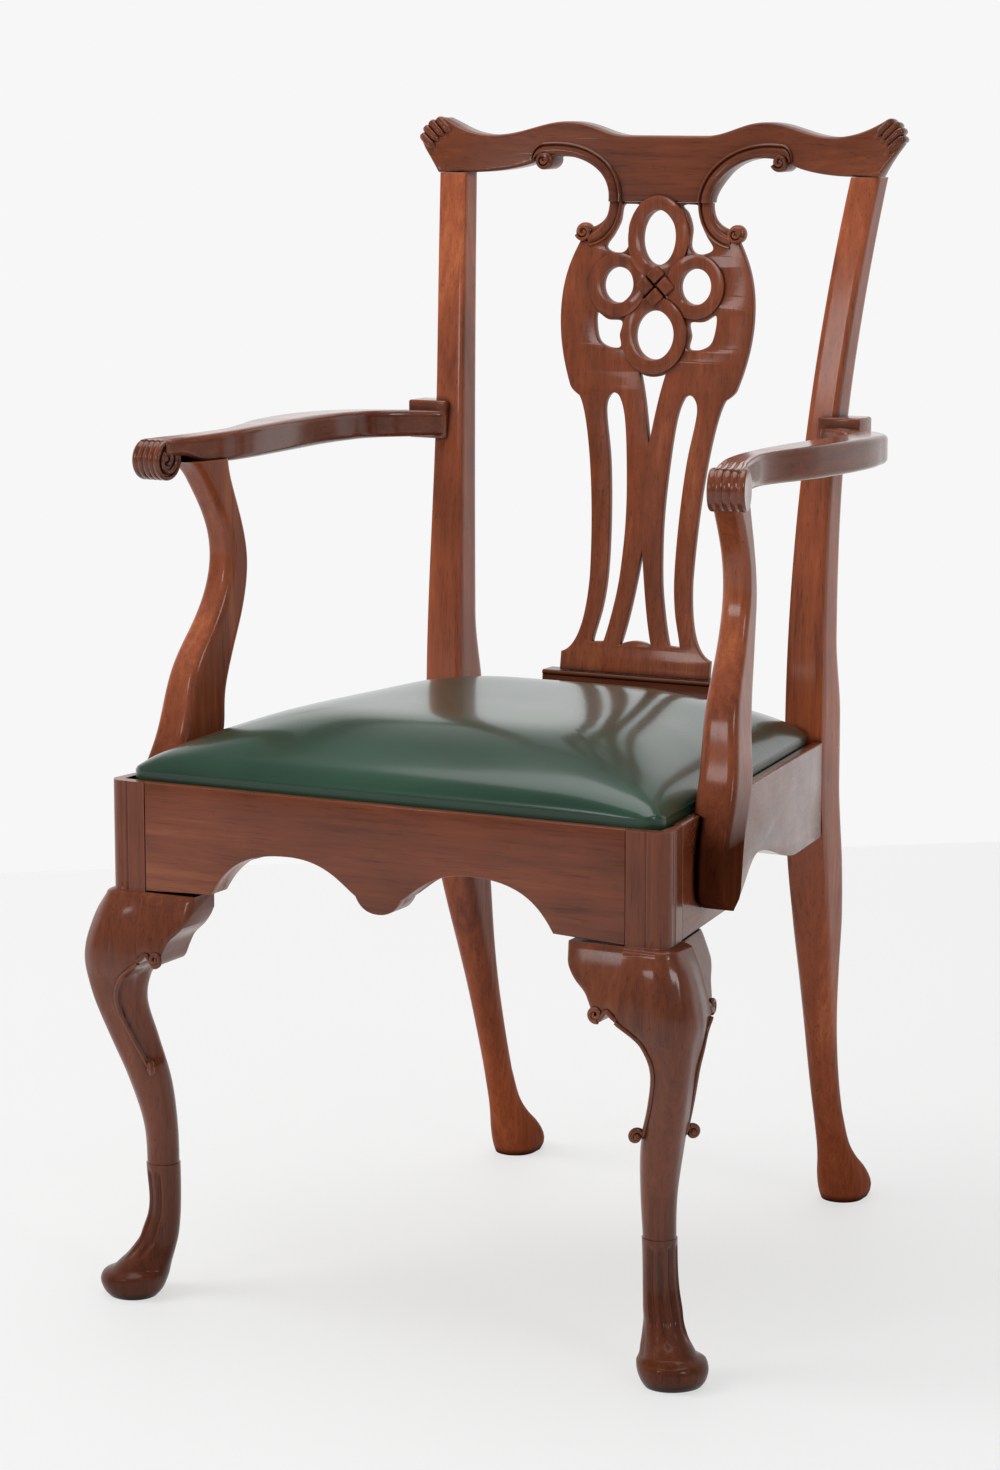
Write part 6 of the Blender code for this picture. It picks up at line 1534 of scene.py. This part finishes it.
def apron_half():
    """Lower edge of the right half of the front rail, from the leg to the centre."""
    end = STUMP_IN - APRON_FLAT
    crown = RAIL_BOTTOM + APRON_RISE
    drip = RAIL_BOTTOM + 0.002
    top = (end * 0.53, crown)
    cusp = (PENDANT_HALF, drip + PENDANT_DROP)
    corner = (end, RAIL_BOTTOM + 0.003)
    points = [(STUMP_IN - GAP, RAIL_BOTTOM), corner]
    points += bezier(corner, (end - 0.013, RAIL_BOTTOM + 0.6 * APRON_RISE), (end - 0.030, crown), top)
    points += bezier(top, (top[0] - 0.036, crown), (cusp[0] + 0.014, cusp[1] + 0.009), cusp)
    points += bezier(cusp, (cusp[0] - 0.004, cusp[1] - 0.009), (0.010, drip), (0.0, drip))
    return points


def rebated_board(outline, start, end):
    """Rail cut to its lower outline, with a lip beside the ledge that carries the seat."""
    shape = board([outline + [(end, LEDGE), (start, LEDGE)]], RAIL_THICK - LEDGE_SET_BACK, BOARD_EDGE)
    bmesh.ops.translate(shape, verts=shape.verts[:], vec=(0.0, LEDGE_SET_BACK, LEDGE_LIFT))
    return add_shape(shape, board([outline + [(end, RAIL_TOP), (start, RAIL_TOP)]], LIP, BOARD_EDGE))


def front_rail_shape():
    """Front rail with its shaped apron and the lip in front of the seat."""
    half = apron_half()
    left = [(-x, z) for x, z in reversed(half[:-1])]
    return rebated_board(half + left, STUMP_IN - GAP, GAP - STUMP_IN)


def side_rail_shape():
    """Right side rail, arched underneath, with the lip beside the seat."""
    start, end = STUMP + GAP, SEAT_LENGTH - GAP
    rise = RAIL_BOTTOM + SIDE_ARCH_RISE
    rear = RAIL_BOTTOM + SIDE_REAR_RISE
    crown = (0.56 * SEAT_LENGTH, rise)
    foot = (0.40 * SEAT_LENGTH, RAIL_BOTTOM)
    heel = (0.83 * SEAT_LENGTH, rear)
    outline = [(start, RAIL_BOTTOM), foot]
    outline += bezier(foot, (foot[0] + 0.030, RAIL_BOTTOM), (crown[0] - 0.028, rise), crown)
    outline += bezier(crown, (crown[0] + 0.036, rise), (heel[0] - 0.040, rear), heel)
    outline.append((end, rear))
    shape = rebated_board(outline, start, end)
    for vert in shape.verts:
        run, depth, z = vert.co
        vert.co = (side_x(run) - depth, run, z)
    return shape


def shoe_shape():
    """Moulded shoe under the splat with a bead and a hollow."""
    front = SEAT_LENGTH + SHOE_SET_BACK + GAP
    face = SEAT_LENGTH + SPLAT_FOOT_BACK - SHOE_LIP
    base = RAIL_TOP + GAP
    back = SEAT_LENGTH + POST_DEPTH - 0.002
    hollow = (face, SHOE_TOP - 0.0046)
    section = [(back, base), (back, SHOE_TOP), (face + 0.001, SHOE_TOP)]
    section += arc((face + 0.0015, SHOE_TOP - 0.0022), 0.0022, 90.0, 260.0, 8) + [hollow]
    section += bezier(hollow, (face, base + 0.021), (front + 0.010, base + 0.0165),
                      (front + 0.003, base + 0.0140), 14)
    section += arc((front + 0.0035, base + 0.0100), 0.0035, 100.0, 260.0, 10)
    section += [(front + 0.003, base + 0.0060), (front, base + 0.0054), (front, base)]
    shape = bmesh.new()
    end = shape.faces.new([shape.verts.new((-SHOE_HALF, y, z)) for y, z in section])
    grown = bmesh.ops.extrude_face_region(shape, geom=[end])["geom"]
    verts = [item for item in grown if isinstance(item, bmesh.types.BMVert)]
    bmesh.ops.translate(shape, verts=verts, vec=(2 * SHOE_HALF, 0.0, 0.0))
    return shape


def seat_corners(depth):
    """Corners of the seat's plan, set in from its edge by a depth, from the front left round."""
    front = LIP + SEAT_CLEAR + depth
    back = SEAT_LENGTH - SEAT_BACK_CLEAR - depth
    edge = LIP + (SEAT_CLEAR + depth) * math.hypot(1.0, SIDE_SLOPE)
    return [Vector((-side_x(front) + edge, front)), Vector((side_x(front) - edge, front)),
            Vector((side_x(back) - edge, back)), Vector((-side_x(back) + edge, back))]


def seat_ring(depth, radius, z, arc_steps=10, side_steps=26):
    """Ring round the seat with rounded corners, set in by a depth."""
    corners = seat_corners(depth)
    starts, ring = [], []
    for i in range(4):
        here, before, after = corners[i], corners[i - 1], corners[(i + 1) % 4]
        back, ahead = (before - here).normalized(), (after - here).normalized()
        half = back.angle(ahead) / 2
        reach = radius / math.tan(half)
        centre = here + (back + ahead).normalized() * (radius / math.sin(half))
        first, last = here + back * reach - centre, here + ahead * reach - centre
        sweep = first.angle_signed(last)
        turns = [Matrix.Rotation(-sweep * k / arc_steps, 2) for k in range(arc_steps + 1)]
        starts.append([centre + turn @ first for turn in turns])
    for i in range(4):
        ring += starts[i]
        begin, end = starts[i][-1], starts[(i + 1) % 4][0]
        ring += [begin.lerp(end, k / side_steps) for k in range(1, side_steps)]
    return [(point.x, point.y, z) for point in ring]


def seat_height(x, y, depth, crown):
    """Height of the stuffed top, low at the corners and full in the middle."""
    front, back = LIP + SEAT_CLEAR, SEAT_LENGTH - SEAT_BACK_CLEAR
    wide = min(abs(x) / (side_x(y) - LIP - SEAT_CLEAR), 1.0)
    long = min(abs(2 * (y - front) / (back - front) - 1), 1.0)
    dome = ((1 - wide ** DOME_POWER) * (1 - long ** DOME_POWER)) ** DOME_FULLNESS
    rim = (1 - max(1 - depth / DOME_REACH, 0.0) ** DOME_POWER) ** DOME_FULLNESS
    return RAIL_TOP + crown * (SEAT_EDGE_SHARE + (1 - SEAT_EDGE_SHARE) * min(dome, rim))


def seat_shape(crown):
    """Stuffed top of the seat before its cover is drawn tight."""
    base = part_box("seat_hessian")[1][2] + GAP
    rings = [seat_ring(0.030, 0.010, base), seat_ring(0.004, SEAT_CORNER, base),
             seat_ring(0.0008, SEAT_CORNER, base + 0.0006)]
    for depth in SEAT_RINGS:
        ring = seat_ring(depth, max(SEAT_CORNER - 0.5 * depth, 0.006), 0.0)
        rings.append([(x, y, seat_height(x, y, depth, crown)) for x, y, _ in ring])
    return loft(rings)


def seat_skirt():
    """Leather turned down round the loose frame."""
    low, high = LEDGE + GAP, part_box("seat_hessian")[1][2] + 0.003
    rows = ((0.0, low), (0.0, high), (LEATHER_THICK, high), (LEATHER_THICK, low))
    return loft([seat_ring(depth, SEAT_CORNER, z) for depth, z in rows], True)


def blow_up(work):
    """Mesh of a closed cover, tacked round its rim, after air has drawn it tight."""
    pins = work.vertex_groups.new(name="tacked")
    for vert in work.data.vertices:
        pins.add([vert.index], 1 - ease(RAIL_TOP + 0.005, RAIL_TOP + 0.026, vert.co.z), "REPLACE")
    cloth = work.modifiers.new("tight", "CLOTH")
    cloth.settings.quality = 6
    cloth.settings.mass = 0.4
    cloth.settings.tension_stiffness = 18.0
    cloth.settings.compression_stiffness = 18.0
    cloth.settings.bending_stiffness = 2.0
    cloth.settings.use_pressure = True
    cloth.settings.uniform_pressure_force = 4.0
    cloth.settings.vertex_group_mass = "tacked"
    cloth.settings.effector_weights.gravity = 0.0
    cloth.point_cache.frame_start = 1
    cloth.point_cache.frame_end = COVER_FRAMES
    scene = bpy.context.scene
    for number in range(1, COVER_FRAMES + 1):
        scene.frame_set(number)
    made = bpy.data.meshes.new_from_object(evaluated(work))
    scene.frame_set(1)
    work.modifiers.clear()
    return made


def evened(moves, mesh):
    """Movements of a mesh's points, each spread over its neighbours."""
    for _ in range(COVER_EVENING):
        sums = [move.copy() for move in moves]
        counts = [1] * len(moves)
        for edge in mesh.edges:
            a, b = edge.vertices
            sums[a] += moves[b]
            sums[b] += moves[a]
            counts[a] += 1
            counts[b] += 1
        moves = [total / count for total, count in zip(sums, counts)]
    return moves


def tightened(shape):
    """Draw the cover tight over the stuffing and return it with finer faces."""
    source = bpy.data.meshes.new("cover")
    bmesh.ops.recalc_face_normals(shape, faces=shape.faces[:])
    shape.to_mesh(source)
    work = new_object("cover", source)
    remesh = work.modifiers.new("even", "REMESH")
    remesh.mode = "VOXEL"
    remesh.voxel_size = COVER_VOXEL
    even = bpy.data.meshes.new_from_object(evaluated(work))
    work.modifiers.clear()
    work.data = even
    before = [vert.co.copy() for vert in even.vertices]
    made = blow_up(work)
    moves = [vert.co - start for vert, start in zip(made.vertices, before)]
    moves = [move if move.length < COVER_REACH else move.normalized() * COVER_REACH for move in moves]
    moves = evened(moves, made)
    tree = KDTree(len(before))
    for number, place in enumerate(before):
        tree.insert(place, number)
    tree.balance()
    for vert in shape.verts:
        near = [(number, 1 / (gap + 0.001)) for _, number, gap in tree.find_n(vert.co, COVER_NEAR)]
        whole = sum(weight for _, weight in near)
        move = sum((moves[number] * weight for number, weight in near), Vector()) / whole
        vert.co += move * ease(RAIL_TOP + 0.002, RAIL_TOP + 0.020, vert.co.z)
    shape.to_mesh(source)
    shape.free()
    work.data = source
    finer = work.modifiers.new("finer", "SUBSURF")
    finer.levels = 1
    finer.render_levels = 1
    result = bmesh.new()
    result.from_mesh(evaluated(work).to_mesh())
    bpy.data.objects.remove(work, do_unlink=True)
    return result


def studio_floor(settings):
    """Pale floor that ends at the wall behind the chair and keeps its white in the shadows."""
    shape = bmesh.new()
    across, long = FLOOR_HALF
    place = Matrix.Rotation(FLOOR_TURN, 4, "Z") @ Matrix.Translation((0.0, FLOOR_END - long, 0.0))
    bmesh.ops.create_grid(shape, x_segments=14, y_segments=12, size=1.0,
                          matrix=place @ Matrix.Diagonal((across, long, 1.0, 1.0)))
    mesh = bpy.data.meshes.new("studio_floor")
    shape.to_mesh(mesh)
    shape.free()
    nodes = Finish("studio_paper")
    floor = tuple(settings.floor)
    mottle = nodes.noise(nodes.place(), 1.4, 2.0)
    darker = tuple(0.985 * value for value in floor)
    nodes.feed("Base Color", nodes.ramp(mottle, ((0.3, darker), (0.7, floor))))
    nodes.shader.inputs["Roughness"].default_value = 0.55
    nodes.shader.inputs["Specular IOR Level"].default_value = 0.25
    glow = nodes.add("ShaderNodeEmission", {"Color": (1.0, 1.0, 0.995, 1.0), "Strength": settings.glow})
    rays = nodes.add("ShaderNodeLightPath").outputs
    seen = nodes.maths("MAXIMUM", rays["Is Camera Ray"], rays["Is Glossy Ray"])
    seen = nodes.maths("MAXIMUM", rays["Is Transmission Ray"], seen)
    nodes.join(nodes.maths("MULTIPLY", seen, FLOOR_GLOW), nodes.shader, glow, "Material Output")
    mesh.materials.append(nodes.material)
    ground = new_object("studio_floor", mesh)


def room_light(settings):
    """Even light of the room, and the bright wall that the camera and the polish see behind the chair."""
    world = bpy.data.worlds.new("room")
    world.use_nodes = True
    nodes = Nodes(world.node_tree)
    room = nodes.tree.nodes["Background"]
    room.inputs["Color"].default_value = WHITE
    room.inputs["Strength"].default_value = settings.world
    wall = nodes.add("ShaderNodeBackground", {"Color": WHITE, "Strength": settings.wall})
    rays = nodes.add("ShaderNodeLightPath").outputs
    look = nodes.add("ShaderNodeTexCoord").outputs["Generated"]
    away = TOWARDS_BACK @ Vector((0.0, 1.0, 0.0))
    behind = nodes.add("ShaderNodeVectorMath", {1: away}, {0: look}, operation="DOT_PRODUCT").outputs["Value"]
    height = nodes.add("ShaderNodeSeparateXYZ", links={"Vector": look}).outputs["Z"]
    seen = nodes.maths("MULTIPLY", rays["Is Glossy Ray"], nodes.fit(behind, 0.05, 0.35, 0.0, 1.0))
    seen = nodes.maths("MULTIPLY", seen, nodes.fit(height, 0.38, 0.72, 1.0, 0.0))
    for ray in ("Is Camera Ray", "Is Transmission Ray"):
        seen = nodes.maths("MAXIMUM", rays[ray], seen)
    nodes.join(seen, room, wall, "World Output")
    bpy.context.scene.world = world


def add_lamps(settings):
    """Soft lamps round the chair."""
    for name, spot, size, share, target, in_polish in LAMPS:
        lamp = bpy.data.lights.new(name, "AREA")
        lamp.shape = "ELLIPSE"
        lamp.size, lamp.size_y = size
        lamp.energy = share * settings.key
        holder = new_object(name, lamp)
        holder.location = spot
        holder.rotation_euler = (target - spot).to_track_quat("-Z", "Y").to_euler()
        holder.visible_camera = False
        holder.visible_glossy = in_polish


def add_camera():
    """Camera of the picture."""
    camera = bpy.data.cameras.new("camera")
    camera.sensor_fit = "VERTICAL"
    camera.sensor_height = SENSOR_HEIGHT
    camera.lens = PICTURE_FOCAL / PICTURE_HEIGHT * SENSOR_HEIGHT
    level = math.cos(CAMERA_TILT)
    away = Vector((math.sin(CAMERA_TURN) * level, -math.cos(CAMERA_TURN) * level, math.sin(CAMERA_TILT)))
    holder = new_object("camera", camera)
    holder.location = CAMERA_TARGET + CAMERA_DISTANCE * away
    holder.rotation_euler = (-away).to_track_quat("-Z", "Y").to_euler()
    bpy.context.scene.camera = holder


def refinish(name, material):
    """Give a solid of the frame another material."""
    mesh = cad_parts[name].data
    mesh.materials.clear()
    mesh.materials.append(material)


class ARMCHAIR_OT_front_legs(bpy.types.Operator):
    """Carve the cabriole front legs and their knee brackets"""

    bl_idname = "armchair.front_legs"
    bl_label = "Front Legs"

    def execute(self, context):
        make_both("carved_leg", front_leg_shape(), "leg", "front_leg")
        front = bracket_shape(lambda run, depth: (STUMP_IN - run, depth), -1.0)
        make_both("front_bracket", front, "front_bracket", "knee_bracket_front")
        side = bracket_shape(lambda run, depth: (side_x(STUMP + run) - depth, STUMP + run), 1.0)
        make_both("side_bracket", side, "side_bracket", "knee_bracket_side")
        return {"FINISHED"}


class ARMCHAIR_OT_rear_posts(bpy.types.Operator):
    """Shape the rear posts with their legs"""

    bl_idname = "armchair.rear_posts"
    bl_label = "Rear Posts"

    def execute(self, context):
        make_both("back_post", post_shape(), "post", "rear_post")
        return {"FINISHED"}


class ARMCHAIR_OT_back(bpy.types.Operator):
    """Carve the crest, the pierced splat and its shoe"""

    bl_idname = "armchair.back"
    bl_label = "Back"

    def execute(self, context):
        make_piece("carved_crest", crest_shape(), mahogany("crest"), ["crest_rail"])
        make_piece("pierced_splat", splat_shape(), mahogany("splat"), ["splat"])
        make_piece("moulded_shoe", shoe_shape(), mahogany("shoe"), ["shoe"])
        return {"FINISHED"}


class ARMCHAIR_OT_arms(bpy.types.Operator):
    """Shape the arms and their scrolled supports"""

    bl_idname = "armchair.arms"
    bl_label = "Arms"

    def execute(self, context):
        right = arm_shape(ARM_TOE_RIGHT, ARM_SCROLL_WIDTH + ARM_SCROLL_WIDER)
        left = arm_shape(ARM_TOE_LEFT, ARM_SCROLL_WIDTH)
        make_piece("scrolled_arm_right", right, mahogany("arm", "right"), ["arm_right"])
        make_piece("scrolled_arm_left", mirrored(left), mahogany("arm", "left"), ["arm_left"])
        left.free()
        make_both("arm_upright", support_shape(), "upright", "arm_support")
        return {"FINISHED"}


class ARMCHAIR_OT_rails(bpy.types.Operator):
    """Shape the seat rails"""

    bl_idname = "armchair.rails"
    bl_label = "Seat Rails"

    def execute(self, context):
        make_piece("apron_rail", front_rail_shape(), mahogany("apron"), ["front_rail"])
        make_both("seat_side_rail", side_rail_shape(), "side_rail", "side_rail")
        refinish("rear_rail", mahogany("rear_rail"))
        return {"FINISHED"}


class ARMCHAIR_OT_hidden(bpy.types.Operator):
    """Finish the hidden woodwork and the screws"""

    bl_idname = "armchair.hidden"
    bl_label = "Hidden Work"

    def execute(self, context):
        beech = plain_wood("beech", "X", (0.46, 0.31, 0.17), (0.30, 0.18, 0.09))
        steel = aged_steel("screw_steel")
        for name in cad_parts:
            if name.startswith(("corner_block", "seat_frame", "arm_dowel")):
                refinish(name, beech)
            if name.startswith("arm_screw"):
                refinish(name, steel)
        return {"FINISHED"}


class ARMCHAIR_OT_seat(bpy.types.Operator):
    """Upholster the drop-in seat in leather over webbing and hessian"""

    bl_idname = "armchair.seat"
    bl_label = "Seat"

    def execute(self, context):
        shape = seat_shape(context.scene.armchair_seat.crown)
        shape = tightened(shape)
        add_shape(shape, seat_skirt())
        leather = green_leather("green_leather")
        piece = make_piece("leather_seat", shape, leather, ["seat_leather", "seat_padding"], SEAT_BODY,
                           SEAT_SHARP_ANGLE)
        weave = jute_weave("hessian_weave", (0.46, 0.34, 0.20), (0.20, 0.13, 0.07), 0.0016)
        strap = jute_weave("webbing_weave", (0.50, 0.38, 0.22), (0.24, 0.16, 0.08), 0.0024)
        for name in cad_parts:
            if name == "seat_hessian" or name.startswith("seat_webbing"):
                self.cloth(name, weave if name == "seat_hessian" else strap)
        return {"FINISHED"}

    def cloth(self, name, material):
        """One stretched sheet in place of a flat strip of the frame."""
        low, high = (Vector(corner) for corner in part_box(name))
        shape = bmesh.new()
        middle = (low + high) / 2
        size = high - low
        place = Matrix.Translation(middle) @ Matrix.Diagonal((size.x, size.y, 1.0, 1.0))
        bmesh.ops.create_grid(shape, x_segments=40, y_segments=40, size=0.5, matrix=place)
        fit = SIDE_SLOPE if size.x > size.y or name == "seat_hessian" else 0.0
        for vert in shape.verts:
            share = (vert.co.y - low.y) / size.y
            vert.co.x *= 1 - fit * size.y * share / (size.x / 2)
        bmesh.ops.solidify(shape, geom=shape.faces[:], thickness=size.z * 0.9)
        top = max(vert.co.z for vert in shape.verts)
        bmesh.ops.translate(shape, verts=shape.verts[:], vec=(0.0, -FRONT_FACE, high.z - top))
        piece = make_piece(name.replace("seat_", "woven_"), shape, material, [name], SEAT_BODY)


class ARMCHAIR_OT_stage(bpy.types.Operator):
    """Set the floor, the backdrop, the light and the camera"""

    bl_idname = "armchair.stage"
    bl_label = "Stage"

    def execute(self, context):
        settings = context.scene.armchair_stage
        studio_floor(settings)
        room_light(settings)
        add_lamps(settings)
        add_camera()
        context.scene.view_settings.view_transform = "Standard"
        return {"FINISHED"}


class ARMCHAIR_PT_panel(bpy.types.Panel):
    """Sidebar list of the armchair's pieces"""

    bl_idname = "ARMCHAIR_PT_panel"
    bl_label = "Armchair"
    bl_space_type = "VIEW_3D"
    bl_region_type = "UI"
    bl_category = "Armchair"

    def draw(self, context):
        layout = self.layout
        scene = context.scene
        for group, names in ((scene.armchair_wood, ("dark", "middle", "light", "roughness")),
                             (scene.armchair_seat, ("crown", "leather")),
                             (scene.armchair_stage, ("floor", "glow", "key", "world", "wall"))):
            box = layout.box()
            for name in names:
                box.prop(group, name)
        for operator in OPERATORS:
            layout.operator(operator.bl_idname)


OPERATORS = (ARMCHAIR_OT_front_legs, ARMCHAIR_OT_rear_posts, ARMCHAIR_OT_back, ARMCHAIR_OT_arms,
             ARMCHAIR_OT_rails, ARMCHAIR_OT_hidden, ARMCHAIR_OT_seat, ARMCHAIR_OT_stage)
SETTINGS = (("armchair_wood", WoodSettings), ("armchair_seat", SeatSettings),
            ("armchair_stage", StageSettings))


def register():
    """Add the settings, operators and panel to Blender."""
    for name, group in SETTINGS:
        bpy.utils.register_class(group)
        setattr(bpy.types.Scene, name, bpy.props.PointerProperty(type=group))
    for operator in OPERATORS:
        bpy.utils.register_class(operator)
    bpy.utils.register_class(ARMCHAIR_PT_panel)


def unregister():
    """Take them away again."""
    bpy.utils.unregister_class(ARMCHAIR_PT_panel)
    for operator in reversed(OPERATORS):
        bpy.utils.unregister_class(operator)
    for name, group in reversed(SETTINGS):
        delattr(bpy.types.Scene, name)
        bpy.utils.unregister_class(group)


def main():
    """Build the armchair from its operators."""
    register()
    bpy.ops.armchair.stage()
    bpy.ops.armchair.front_legs()
    bpy.ops.armchair.rear_posts()
    bpy.ops.armchair.back()
    bpy.ops.armchair.arms()
    bpy.ops.armchair.rails()
    bpy.ops.armchair.hidden()
    bpy.ops.armchair.seat()


if __name__ == "__main__":
    main()
